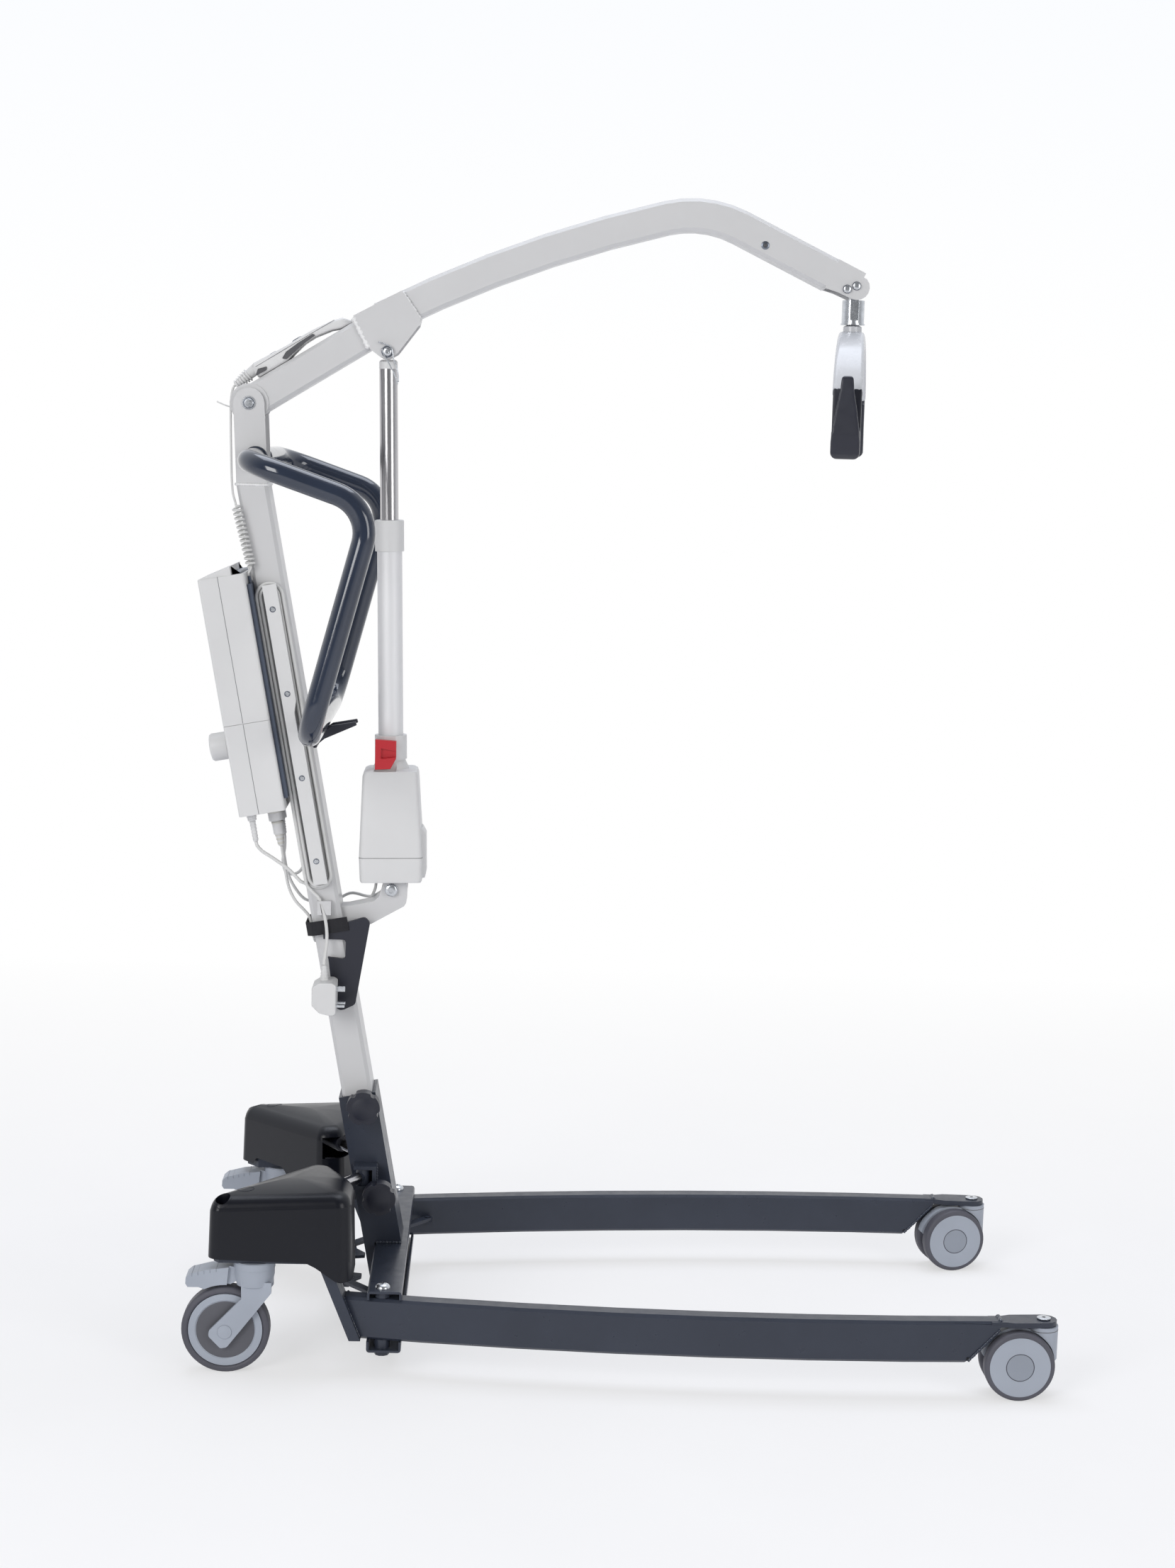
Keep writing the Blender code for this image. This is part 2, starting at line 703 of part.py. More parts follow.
def make_socket(root):
    """The welded box that holds the mast's foot, with the two strut brackets on its sides."""
    seat = UPPER_TOP + GAP
    back = CROSSBAR_FORWARD - CROSSBAR_WIDTH / 2 - GAP
    foot = LEG_BOTTOM - PIVOT_PLAY + GAP
    top_back = mast_point(SOCKET_TOP, -SOCKET_HALF_X)
    top_front = mast_point(SOCKET_TOP, SOCKET_HALF_X)
    outline = [(top_back.x, top_back.z), (top_front.x, top_front.z),
               (mast_x(seat, SOCKET_HALF_X), seat), (back, seat), (back, foot),
               (mast_x(foot, -SOCKET_HALF_X), foot)]
    body = prism(outline, -SOCKET_HALF_Y, SOCKET_HALF_Y)
    inner_x = MAST_DEPTH / 2 + SOCKET_CLEARANCE
    inner_y = MAST_WIDTH / 2 + SOCKET_CLEARANCE
    hollow = prism(mast_outline([(SOCKET_FLOOR, -inner_x), (SOCKET_TOP + 0.02, -inner_x),
                                 (SOCKET_TOP + 0.02, inner_x), (SOCKET_FLOOR, inner_x)]), -inner_y, inner_y)
    screw_holes = [rod((x, -SOCKET_HALF_Y - 0.01, z), (x, -inner_y + 0.005, z), KNOB_SCREW_R + BORE_CLEARANCE, 10)
                   for x, z, _ in KNOBS.values()]
    steps = [cut(hollow), cut(merged(*screw_holes))]
    for side in SIDES.values():
        steps.extend(strut_bracket(side))
    node("mast_socket", body, "frame_grey", root, steps)


def strut_bracket(side):
    """Top, bottom and front plates round the fixed end of a strut, with its upright pin and its rod."""
    half = STRUT_EYE_HEIGHT / 2
    low, high = STRUT_Z - half - GAP - BRACKET_PLATE, STRUT_Z + half + GAP + BRACKET_PLATE
    reach = sided(side, SOCKET_HALF_Y - 0.002, BRACKET_REACH)
    x0, x1 = STRUT_PIN[0] - 0.0135, STRUT_PIN[0] + 0.0195
    block = box((x0, reach[0], low), (x1, reach[1], high))
    room = sided(side, SOCKET_HALF_Y, BRACKET_REACH + 0.01)
    space = box((x0 - 0.01, room[0], STRUT_Z - half - GAP), (x1 - BRACKET_PLATE, room[1], STRUT_Z + half + GAP))
    place = (STRUT_PIN[0], side * STRUT_PIN[1])
    pin = rod((*place, low + 0.001), (*place, high - 0.001), STRUT_PIN_R, 10)
    eye = rod((*place, STRUT_Z - half), (*place, STRUT_Z + half), STRUT_EYE_R, 12)
    bar = rod(strut_point(0, side), strut_point(STRUT_ROD_REACH, side), STRUT_ROD_R, 12)
    return [join(block), cut(space), join(pin), join(eye), join(bar)]


def arc(centre, radius, start, finish, steps):
    """Points along an arc, angles in degrees."""
    points = []
    for step in range(steps + 1):
        angle = math.radians(start + (finish - start) * step / steps)
        points.append((centre[0] + radius * math.cos(angle), centre[1] + radius * math.sin(angle)))
    return points


def turn_about(bm, place, angle):
    """Turns a solid about the upright line through a place."""
    centre = Vector((place[0], place[1], 0))
    bm.transform(Matrix.Translation(centre) @ Matrix.Rotation(angle, 4, "Z") @ Matrix.Translation(-centre))
    return bm


def sided(side, low, high):
    """The two Y limits of something that lies low to high away from the middle plane."""
    return sorted((side * low, side * high))


def tube_mesh(points, radius, sides):
    """A round tube along a path, with rings that don't twist."""
    path = [Vector(point) for point in points]
    across = (path[1] - path[0]).orthogonal()
    rings = []
    for index, point in enumerate(path):
        before = path[max(index - 1, 0)]
        after = path[min(index + 1, len(path) - 1)]
        heading = (after - before).normalized()
        across = (across - heading * across.dot(heading)).normalized()
        upward = heading.cross(across)
        ring = []
        for step in range(sides):
            angle = 2 * math.pi * step / sides
            ring.append(point + across * (radius * math.cos(angle)) + upward * (radius * math.sin(angle)))
        rings.append(ring)
    return loft(rings)


# Legs

FRONT_STEM_Y = leg_place(FRONT_CASTOR_X, 1)[1]
FRONT_STEM_X = leg_place(FRONT_CASTOR_X, 1)[0]
PLATE_BOTTOM = LEG_TOP - PLATE_THICKNESS
STRUT_LEG_PIN = (STRUT_PIN[0] - STRUT_LENGTH * math.cos(STRUT_ANGLE),
                 STRUT_PIN[1] + STRUT_LENGTH * math.sin(STRUT_ANGLE))


def leg_loft(side, start, finish, width, low, high, corner, stations):
    rings = []
    for number in range(stations + 1):
        run = start + (finish - start) * number / stations
        heading = math.asin(math.sin(LEG_START_ANGLE) - run / LEG_BOW_RADIUS)
        place = leg_place(run, side)
        across = Vector((-side * math.sin(heading), math.cos(heading), 0))
        centre = (place[0], place[1], (low + high) / 2)
        rings.append(rounded_ring(centre, across, (0, 0, 1), width / 2, (high - low) / 2, corner, 1))
    return loft(rings)


def arm_face(height, back=0.0):
    """X of the arm's sloping front face at a height, or of a line behind it."""
    return ARM_FOOT_X - (height - LEG_BOTTOM) / math.tan(ARM_ANGLE) - back / math.sin(ARM_ANGLE)


def arm_outline():
    corners = [(arm_face(LEG_BOTTOM), LEG_BOTTOM), (arm_face(ARM_DECK_TOP), ARM_DECK_TOP),
               (-ARM_REACH, ARM_DECK_TOP), (-ARM_REACH, ARM_DECK_BOTTOM),
               (arm_face(ARM_DECK_BOTTOM, ARM_THICKNESS), ARM_DECK_BOTTOM),
               (arm_face(LEG_BOTTOM, ARM_THICKNESS), LEG_BOTTOM)]
    return fillet(corners, [0, ARM_BEND + ARM_THICKNESS, 0, 0, ARM_BEND, 0], 2)


def make_leg(name, side, holder):
    body = leg_loft(side, LEG_REAR_START, LEG_REACH, LEG_WIDTH, LEG_BOTTOM, LEG_TOP, LEG_CORNER, LEG_STATIONS)
    reach_y = sided(side, 0.1, 0.4)
    behind = [(arm_face(LEG_BOTTOM - 0.02, ARM_THICKNESS / 2), LEG_BOTTOM - 0.02), (-0.2, LEG_BOTTOM - 0.02),
              (-0.2, LEG_TOP + 0.02), (arm_face(LEG_TOP + 0.02, ARM_THICKNESS / 2), LEG_TOP + 0.02)]
    bevel_top = LEG_REACH, LEG_TOP - BEVEL_TOP_DROP
    slope = (LEG_HEIGHT - BEVEL_TOP_DROP) / LEG_BEVEL_RUN
    below = [(bevel_top[0] + 0.02, bevel_top[1] + 0.02 * slope),
             (bevel_top[0] - LEG_BEVEL_RUN - 0.02, LEG_BOTTOM - 0.02 * slope),
             (bevel_top[0] + 0.02, LEG_BOTTOM - 0.02 * slope)]
    arm_y = sided(side, REAR_CASTOR_Y - ARM_WIDTH / 2, REAR_CASTOR_Y + ARM_WIDTH / 2)
    arm = prism(arm_outline(), *arm_y)
    pin_x, pin_y = STRUT_LEG_PIN
    lever_y = sided(side, pin_y - LEVER_HALF, REAR_CASTOR_Y - 0.01)
    lever = box((pin_x - LEVER_HALF, lever_y[0], ARM_DECK_TOP - 0.001),
                (pin_x + LEVER_HALF, lever_y[1], ARM_DECK_TOP + LUG_THICKNESS))
    eye_low = STRUT_Z - STRUT_LUG_HEIGHT / 2
    post = turned([(0, ARM_DECK_TOP), (STRUT_EYE_R * 0.8, ARM_DECK_TOP), (STRUT_EYE_R * 0.8, eye_low - GAP),
                   (STRUT_PIN_R, eye_low - GAP), (STRUT_PIN_R, STRUT_Z + STRUT_LUG_HEIGHT / 2 + 0.002),
                   (0, STRUT_Z + STRUT_LUG_HEIGHT / 2 + 0.002)],
                  (pin_x, side * pin_y, 0), (0, 0, 1), 12)
    stem_bore = rod((REAR_CASTOR_X, side * REAR_CASTOR_Y, ARM_DECK_BOTTOM - 0.01),
                    (REAR_CASTOR_X, side * REAR_CASTOR_Y, ARM_DECK_TOP + 0.01), STEM_R + BORE_CLEARANCE, 12)
    pivot_bore = rod((0, side * PIVOT_Y, LEG_BOTTOM - 0.01), (0, side * PIVOT_Y, LEG_TOP + 0.01),
                     PIVOT_BOLT_R + BORE_CLEARANCE, 12)
    hollow = leg_loft(side, LEG_HOLLOW[0], LEG_HOLLOW[1], LEG_WIDTH - 2 * LEG_WALL, LEG_BOTTOM + LEG_WALL,
                      LEG_TOP - LEG_WALL, 0, 4)
    drain_y = leg_place(DRAIN_X, side)[1]
    drain = rod((DRAIN_X, drain_y, LEG_BOTTOM - 0.01), (DRAIN_X, drain_y, LEG_BOTTOM + LEG_WALL + 0.005), DRAIN_R, 8)
    corners = []
    for corner in ([(-0.2400, 0.2420), (-0.2150, 0.2130), (-0.2400, 0.2130)],
                   [(-0.2400, 0.2500), (-0.2280, 0.2640), (-0.2400, 0.2640)]):
        plan = [(x, side * y) for x, y in corner]
        corners.append(cut(prism(plan, ARM_DECK_BOTTOM - 0.01, ARM_DECK_TOP + 0.01, "XY")))
    node(name, body, "frame_grey", holder,
         [cut(prism(behind, *reach_y)), cut(prism(below, *reach_y)), join(arm), *corners, join(front_plate(side)),
          join(lever), join(post), *link_lug(side),
          cut(stem_bore), cut(pivot_bore), cut(front_bore(side)), cut(hollow), cut(drain)])


def front_plate(side):
    """The flat plate that carries the front castor, round about its stem."""
    heading = math.asin(math.sin(LEG_START_ANGLE) - FRONT_CASTOR_X / LEG_BOW_RADIUS) * side
    along = Vector((math.cos(heading), math.sin(heading)))
    across = Vector((-math.sin(heading), math.cos(heading)))
    centre = Vector((FRONT_STEM_X, side * FRONT_STEM_Y))
    half = PLATE_WIDTH / 2
    back = FRONT_CASTOR_X - LEG_REACH + PLATE_LAP
    neck = FRONT_CASTOR_X - LEG_REACH - 0.006
    outline = [(-back, -LEG_WIDTH / 2 + 0.001), (-neck, -LEG_WIDTH / 2 + 0.001), (-neck + 0.012, -half)]
    outline += arc((0, 0), half, -90, 90, 7)
    outline += [(-neck + 0.012, half), (-neck, LEG_WIDTH / 2 - 0.001), (-back, LEG_WIDTH / 2 - 0.001)]
    points = [tuple(centre + along * a + across * b) for a, b in outline]
    return prism(points, PLATE_BOTTOM, LEG_TOP - 0.0004, "XY")


def front_bore(side):
    place = (FRONT_STEM_X, side * FRONT_STEM_Y)
    return rod((*place, PLATE_BOTTOM - 0.005), (*place, LEG_TOP + 0.005), STEM_R + BORE_CLEARANCE, 12)


def link_lug(side):
    """A lug on the inner side of the leg with an upright pin for its link."""
    outer = leg_place(LINK_LUG[0], 1, -LEG_WIDTH / 2 + 0.002)[1]
    low, high = sided(side, LINK_LUG[1] - LINK_WIDTH / 2, outer)
    plate = box((LINK_LUG[0] - LINK_WIDTH / 2, low, YOKE_LOW),
                (LINK_LUG[0] + LINK_WIDTH / 2, high, YOKE_LOW + YOKE_THICKNESS))
    pin = rod((LINK_LUG[0], side * LINK_LUG[1], YOKE_LOW + 0.001),
              (LINK_LUG[0], side * LINK_LUG[1], LINK_LOW + LINK_THICKNESS + 0.001), LINK_PIN_R, 10)
    return [join(plate), join(pin)]


# Spreading gear

LINK_LOW = YOKE_LOW + YOKE_THICKNESS + GAP


def make_yoke(holder):
    """A flat plate behind the socket that slides forward, with a pin for each link."""
    half = [(-0.0755, 0.0), (-0.0755, 0.084), (-0.0715, 0.0945), (-0.0560, 0.0945),
            (-0.0540, 0.0760), (-0.0400, 0.0560), (-0.0400, 0.0430), (-0.0560, 0.0390), (-0.0560, 0.0)]
    outline = half + [(x, -y) for x, y in reversed(half[1:-1])]
    plate = prism(outline, YOKE_LOW, YOKE_LOW + YOKE_THICKNESS, "XY")
    steps = []
    for side in SIDES.values():
        place = (YOKE_PIN[0], side * YOKE_PIN[1])
        top = LINK_LOW + LINK_THICKNESS + 0.0015
        steps.append(join(rod((*place, YOKE_LOW + 0.001), (*place, top), LINK_PIN_R, 10)))
    node("spreader_yoke", plate, "frame_grey", holder, steps)


def make_link(name, side, holder):
    start = Vector((YOKE_PIN[0], side * YOKE_PIN[1]))
    finish = Vector((LINK_LUG[0], side * LINK_LUG[1]))
    heading = (finish - start).normalized()
    across = Vector((-heading.y, heading.x))
    half = LINK_WIDTH / 2
    length = (finish - start).length
    local = arc((length, 0), half, -90, 90, 6) + arc((0, 0), half, 90, 270, 6)
    outline = [tuple(start + heading * a + across * b) for a, b in local]
    bar = prism(outline, LINK_LOW, LINK_LOW + LINK_THICKNESS, "XY")
    low, high = LINK_LOW - 0.002, LINK_LOW + LINK_THICKNESS + 0.002
    near = rod((*start, low), (*start, high), LINK_PIN_R + BORE_CLEARANCE, 10)
    far = rod((*finish, low), (*finish, high), LINK_PIN_R + LINK_OPEN_PLAY, 10)
    node(name, bar, "frame_grey", holder, [cut(near), cut(far)])


def strut_point(along, side, height=STRUT_Z):
    return Vector((STRUT_PIN[0] - along * math.cos(STRUT_ANGLE),
                   side * (STRUT_PIN[1] + along * math.sin(STRUT_ANGLE)), height))


def make_strut_cylinder(name, side, holder):
    bore_end = STRUT_ROD_REACH + STRUT_STROKE + 0.002
    shell = rod(strut_point(STRUT_CYLINDER_START, side), strut_point(bore_end + 0.003, side), STRUT_CYLINDER_R, 12)
    bore = rod(strut_point(STRUT_CYLINDER_START - 0.01, side), strut_point(bore_end, side), STRUT_ROD_R + 0.0004, 12)
    half = STRUT_LUG_HEIGHT / 2
    eye_place = strut_point(STRUT_LENGTH, side)
    eye = turned([(0, -half), (STRUT_EYE_R, -half), (STRUT_EYE_R, half), (0, half)], eye_place, (0, 0, 1), 12)
    hole = rod((eye_place.x, eye_place.y, STRUT_Z - 0.02), (eye_place.x, eye_place.y, STRUT_Z + 0.02),
               STRUT_PIN_R + STRUT_OPEN_PLAY, 10)
    neck_half = STRUT_LUG_HEIGHT / 2 - 0.0005
    neck_start, neck_end = bore_end + 0.002, STRUT_LENGTH - STRUT_EYE_R * 0.7
    across = Vector((math.sin(STRUT_ANGLE), side * math.cos(STRUT_ANGLE), 0))
    neck = loft([rounded_ring(strut_point(along, side), across, (0, 0, 1), 0.006, neck_half, 0.001, 1)
                 for along in (neck_start, neck_end)])
    node(name, shell, "black", holder, [join(eye), join(neck), cut(bore), cut(hole)])


# Castor covers

COVER_PLAN = [(-0.2470, 0.2700), (-0.2470, 0.2360), (-0.1120, 0.0820), (-0.0780, 0.0960),
              (-0.0420, 0.1780), (-0.0420, 0.2700)]
COVER_PLAN_RADII = [0.020, 0.018, 0.020, 0.018, 0.040, 0.022]
COVER_DRAFT = 0.004
COVER_SLOPE = 0.045
COVER_BASE = 0.125
COVER_SHOULDER = 0.020


def inset_plan(points, distance):
    """Moves each side of a convex outline inwards by a distance."""
    centre = sum((Vector(p) for p in points), Vector((0, 0))) / len(points)
    lines = []
    for index, point in enumerate(points):
        start, finish = Vector(point), Vector(points[(index + 1) % len(points)])
        normal = Vector((-(finish - start).y, (finish - start).x)).normalized()
        if normal.dot(centre - start) < 0:
            normal = -normal
        lines.append((start + normal * distance, finish - start))
    corners = []
    for index in range(len(points)):
        (a, d), (b, e) = lines[index - 1], lines[index]
        share = (b - a).cross(e) / d.cross(e)
        corners.append(a + d * share)
    return [tuple(corner) for corner in corners]


def cover_ring(side, inset, height, wall, slope):
    plan = inset_plan(COVER_PLAN, inset + wall)
    radii = [max(radius - inset * 0.3 - wall, 0.004) for radius in COVER_PLAN_RADII]
    outline = fillet(plan, radii, 2)
    return [Vector((x, side * y, height + slope * (x - COVER_PLAN[0][0]))) for x, y in outline]


def cover_shape(side, wall):
    """The cover's outside, or its inside when a wall is given, as a loft with a rounded top edge."""
    top = COVER_TOP_REAR - wall
    rings = [cover_ring(side, 0, COVER_BASE - (0.01 if wall else 0), wall, 0),
             cover_ring(side, COVER_DRAFT * 0.8, top - COVER_SHOULDER, wall, COVER_SLOPE)]
    edge_steps = 1 if wall else 2
    for step in range(1, edge_steps + 1):
        angle = math.pi / 2 * step / edge_steps
        inset = COVER_DRAFT + (COVER_SHOULDER - 0.004) * (1 - math.cos(angle))
        rings.append(cover_ring(side, inset, top - COVER_SHOULDER * (1 - math.sin(angle)), wall, COVER_SLOPE))
    return loft(rings)


def make_cover(name, side, holder):
    across = sided(side, 0.04, 0.30)
    below = [(-0.26, 0.10), (-0.26, COVER_BOTTOM), (-0.108, COVER_BOTTOM - 0.004), (-0.094, 0.160),
             (-0.0655, COVER_NOSE_BOTTOM + 0.002), (-0.058, COVER_NOSE_BOTTOM), (-0.03, COVER_NOSE_BOTTOM + 0.002),
             (-0.03, 0.10)]
    notch = [(-0.232, 0.16), (-0.222, 0.1815), (-0.176, 0.1815), (-0.160, 0.16)]
    low, high = STRUT_Z - STRUT_MOUTH, STRUT_Z + STRUT_MOUTH
    mouth = [(-0.0350, side * 0.070), (-0.0700, side * 0.128), (-0.1215, side * 0.128), (-0.1040, side * 0.070)]
    hole_x, hole_y = COVER_HOLE
    boss_floor = ARM_DECK_TOP + GAP
    boss = rod((hole_x, side * hole_y, boss_floor), (hole_x, side * hole_y, COVER_TOP_REAR - 0.002),
               COVER_HOLE_R + COVER_BOSS_WALL, 14)
    hole = rod((hole_x, side * hole_y, boss_floor + 0.003), (hole_x, side * hole_y, COVER_TOP_REAR + 0.02),
               COVER_HOLE_R, 14)
    screw = rod((hole_x, side * hole_y, boss_floor - 0.01), (hole_x, side * hole_y, boss_floor + 0.01), 0.003, 8)
    node(name, cover_shape(side, 0), "cover_black", holder,
         [cut(cover_shape(side, COVER_WALL)), cut(prism(below, *across)),
          cut(prism(notch, *sided(side, 0.10, 0.236))), cut(prism(mouth, low, high, "XY")),
          join(boss), cut(hole), cut(screw)])


# Rear castors

REAR_AXLE = (REAR_CASTOR_X - REAR_TRAIL, REAR_WHEEL_R)
REAR_TYRE_HALF = REAR_TYRE_WIDTH / 2
FORK_INNER = REAR_TYRE_HALF + FORK_PLAY


def make_rear_fork(name, side, holder):
    """Swivelling fork with its stem through the arm, its nut on top and the wheel's axle."""
    y = side * REAR_CASTOR_Y
    stem_top = ARM_DECK_TOP + GAP + STEM_NUT_HEIGHT
    profile = [(0, FORK_CROWN_BOTTOM), (NECK_R - 0.003, FORK_CROWN_BOTTOM), (NECK_R, NECK_JOINT - 0.0085),
               (NECK_R, NECK_TOP), (STEM_R, NECK_TOP), (STEM_R, ARM_DECK_TOP + GAP),
               (STEM_NUT_R, ARM_DECK_TOP + GAP), (STEM_NUT_R - 0.002, stem_top), (0, stem_top)]
    crown = turned(profile, (REAR_CASTOR_X, y, 0), (0, 0, 1), 14)
    axle_x, axle_z = REAR_AXLE
    arm = [(-0.1560, 0.1350), (-0.1560, 0.1200), (-0.2180, 0.0400), (-0.2270, 0.0385), (-0.2440, 0.0560),
           (-0.2430, 0.0640), (-0.1980, 0.1110), (-0.1985, 0.1350)]
    arm = fillet(arm, [0, 0, 0.006, 0.004, 0.006, 0.004, 0, 0], 1)
    steps = []
    for hand in (-1, 1):
        inner, outer = sorted((hand * FORK_INNER, hand * (FORK_INNER + FORK_ARM)))
        steps.append(join(prism(arm, y + inner, y + outer)))
    axle = rod((axle_x, y - FORK_INNER - 0.002, axle_z), (axle_x, y + FORK_INNER + 0.002, axle_z), AXLE_R, 10)
    steps.append(join(axle))
    spacer = REAR_RIM_WIDTH / 2 - REAR_DISC_RECESS + GAP
    for hand in (-1, 1):
        steps.append(join(rod((axle_x, y + hand * spacer, axle_z),
                              (axle_x, y + hand * (FORK_INNER + 0.001), axle_z), 0.0085, 10)))
        face = FORK_INNER + FORK_ARM
        steps.append(join(rod((axle_x, y + hand * (face - 0.001), axle_z),
                              (axle_x, y + hand * (face + 0.0006), axle_z), AXLE_CAP_R, 12)))
    slot = box((-0.2300, y - BRAKE_SLOT, FORK_CROWN_BOTTOM - 0.01), (-0.1925, y + BRAKE_SLOT, 0.1570))
    pin = rod((BRAKE_PIN[0], y - BRAKE_SLOT - 0.003, BRAKE_PIN[1]),
              (BRAKE_PIN[0], y + BRAKE_SLOT + 0.003, BRAKE_PIN[1]), BRAKE_PIN_R, 10)
    steps.extend([cut(slot), join(pin)])
    node(name, crown, "castor_grey", holder, steps)


def tyre_profile(radius, inner, half, shoulder):
    """Ring section with bevelled shoulders."""
    points = [(inner, -half), (radius - shoulder, -half)]
    points.append((radius, -half + shoulder))
    points += [(r, -y) for r, y in reversed(points)]
    return points


def make_rear_wheel(label, side, holder):
    y = side * REAR_CASTOR_Y
    centre = (REAR_AXLE[0], y, REAR_AXLE[1])
    half = REAR_RIM_WIDTH / 2
    disc = half - REAR_DISC_RECESS
    bore = AXLE_R + BORE_CLEARANCE
    lip = 0.001
    profile = [(bore, -disc), (REAR_DISC_R, -disc), (REAR_DISC_R + lip, -half), (REAR_RIM_R, -half),
               (REAR_RIM_R, half), (REAR_DISC_R + lip, half), (REAR_DISC_R, disc), (bore, disc)]
    node(f"{label}_rear_wheel", turned(profile, centre, (0, 1, 0), 18), "castor_grey", holder)
    tyre = tyre_profile(REAR_WHEEL_R, REAR_RIM_R + GAP, REAR_TYRE_HALF, 0.0065)
    node(f"{label}_rear_tyre", turned(tyre, centre, (0, 1, 0), 18), "tyre_grey", holder)


def make_brake_pedal(name, side, holder):
    y = side * REAR_CASTOR_Y
    axle = Vector(REAR_AXLE)
    reach = REAR_WHEEL_R + BRAKE_GAP
    under = arc(axle, reach, 84, 116, 5)
    tip = [(-0.2585, 0.1262), (-0.2740, 0.1262), (-0.2770, 0.1310), (-0.2765, 0.1400), (-0.2700, 0.1455),
           (-0.2440, 0.1522), (-0.2150, 0.1555), (-0.2040, 0.1540)]
    root_bottom = (-0.1985, 0.1385)
    outline = [root_bottom] + under + tip + [(-0.1975, 0.1500)]
    lever = prism(outline, y - BRAKE_SLOT + GAP, y + BRAKE_SLOT - GAP)
    pad = [point for point in under if point[0] < -0.2165] + tip[:-2] + [(-0.2165, 0.1553)]
    wide = prism(pad, y - BRAKE_PAD_HALF, y + BRAKE_PAD_HALF)
    bore = rod((BRAKE_PIN[0], y - 0.03, BRAKE_PIN[1]), (BRAKE_PIN[0], y + 0.03, BRAKE_PIN[1]),
               BRAKE_PIN_R + BORE_CLEARANCE, 12)
    node(name, lever, "castor_grey", holder, [join(wide), cut(bore)])


# Front castors

FRONT_WHEEL_OUTER = FRONT_WHEEL_SPLIT + FRONT_WHEEL_WIDTH - 0.001
FRONT_NECK_TOP = PLATE_BOTTOM - GAP


def make_front_castor(label, side, swivel, wheels):
    stem = (FRONT_STEM_X, side * FRONT_STEM_Y)
    yaw = FRONT_YAW[label]
    axle_x = stem[0] - FRONT_TRAIL
    y = stem[1]
    top = LEG_TOP + GAP
    profile = [(0, FRONT_NECK_BOTTOM), (FRONT_NECK_R - 0.002, FRONT_NECK_BOTTOM),
               (FRONT_NECK_R, FRONT_NECK_BOTTOM + 0.003), (FRONT_NECK_R, FRONT_NECK_TOP), (STEM_R, FRONT_NECK_TOP),
               (STEM_R, top), (CAP_R, top), (CAP_R, top + CAP_HEIGHT), (0, top + CAP_HEIGHT)]
    neck = turned(profile, (*stem, 0), (0, 0, 1), 16)
    room = FRONT_WHEEL_R + FRONT_WHEEL_PLAY
    web_half = FRONT_WHEEL_SPLIT - 0.001
    steps = []
    for hand in (-1, 1):
        inner, outer = y + hand * web_half, y + hand * (FRONT_NECK_R + 0.01)
        steps.append(cut(rod((axle_x, inner, FRONT_WHEEL_R), (axle_x, outer, FRONT_WHEEL_R), room, 20)))
    fender = arc((axle_x, FRONT_WHEEL_R), FRONT_WHEEL_R + 0.0012, 25, 168, 8)
    web = fender + arc((axle_x, FRONT_WHEEL_R), 0.030, 200, 318, 4) + [(stem[0] + 0.012, FRONT_NECK_BOTTOM + 0.002)]
    steps.append(join(prism(web, y - web_half, y + web_half)))
    axle_half = FRONT_WHEEL_OUTER - 0.006
    steps.append(join(rod((axle_x, y - axle_half, FRONT_WHEEL_R), (axle_x, y + axle_half, FRONT_WHEEL_R),
                          FRONT_AXLE_R, 10)))
    turn_about(neck, stem, yaw)
    for _, tool in steps:
        turn_about(tool, stem, yaw)
    node(f"{label}_front_castor", neck, "castor_grey", swivel, steps)
    centre = (axle_x, y, FRONT_WHEEL_R)
    for hand in (-1, 1):
        place = "outer" if hand == side else "inner"
        wheel = turned(front_wheel_profile(axle_half + GAP), centre, (0, hand, 0), 20)
        node(f"{label}_front_{place}_wheel", turn_about(wheel, stem, yaw), "castor_grey", wheels)


def front_wheel_profile(bore_depth):
    """One of the twin wheels with its bonded tread, from its inner face outwards."""
    bore = FRONT_AXLE_R + BORE_CLEARANCE
    inner, face = FRONT_WHEEL_SPLIT, FRONT_WHEEL_OUTER
    shoulder = FRONT_TREAD_SHOULDER
    high = FRONT_WHEEL_R - shoulder
    return [(bore, inner), (high, inner), (FRONT_WHEEL_R, inner + shoulder), (FRONT_WHEEL_R, face - shoulder),
            (high, face), (0, face), (0, bore_depth), (bore, bore_depth)]


# Clamping knobs

def make_knob(name, holder):
    x, z, stand = KNOBS[name.split("_")[0]]
    notch_turn = 90 if name.startswith("upper") else 72
    outline = []
    for number in range(KNOB_NOTCHES):
        middle = notch_turn + 360 * number / KNOB_NOTCHES
        outline += arc((x, z), KNOB_R, middle - 26, middle + 26, 2)
        place = middle + 180 / KNOB_NOTCHES
        cx = x + KNOB_R * 1.06 * math.cos(math.radians(place))
        cz = z + KNOB_R * 1.06 * math.sin(math.radians(place))
        outline += arc((cx, cz), KNOB_NOTCH_R * 0.72, place - 118, place - 242, 2)
    back = -stand
    front = back - KNOB_DEPTH
    head = prism(outline, front + 0.003, back)
    dome = turned([(0, 0), (KNOB_R * 0.80, 0), (KNOB_R * 0.62, 0.0022), (0, 0.0032)],
                  (x, front + 0.0032, z), (0, -1, 0), 10)
    hub = rod((x, back - 0.001, z), (x, -SOCKET_HALF_Y - GAP, z), KNOB_HUB_R, 12)
    tip = -MAST_WIDTH / 2 - GAP
    screw = rod((x, -SOCKET_HALF_Y - 0.002, z), (x, tip, z), KNOB_SCREW_R, 10)
    node(name, head, "black", holder, [join(dome), join(hub), join(screw)])


# Mast

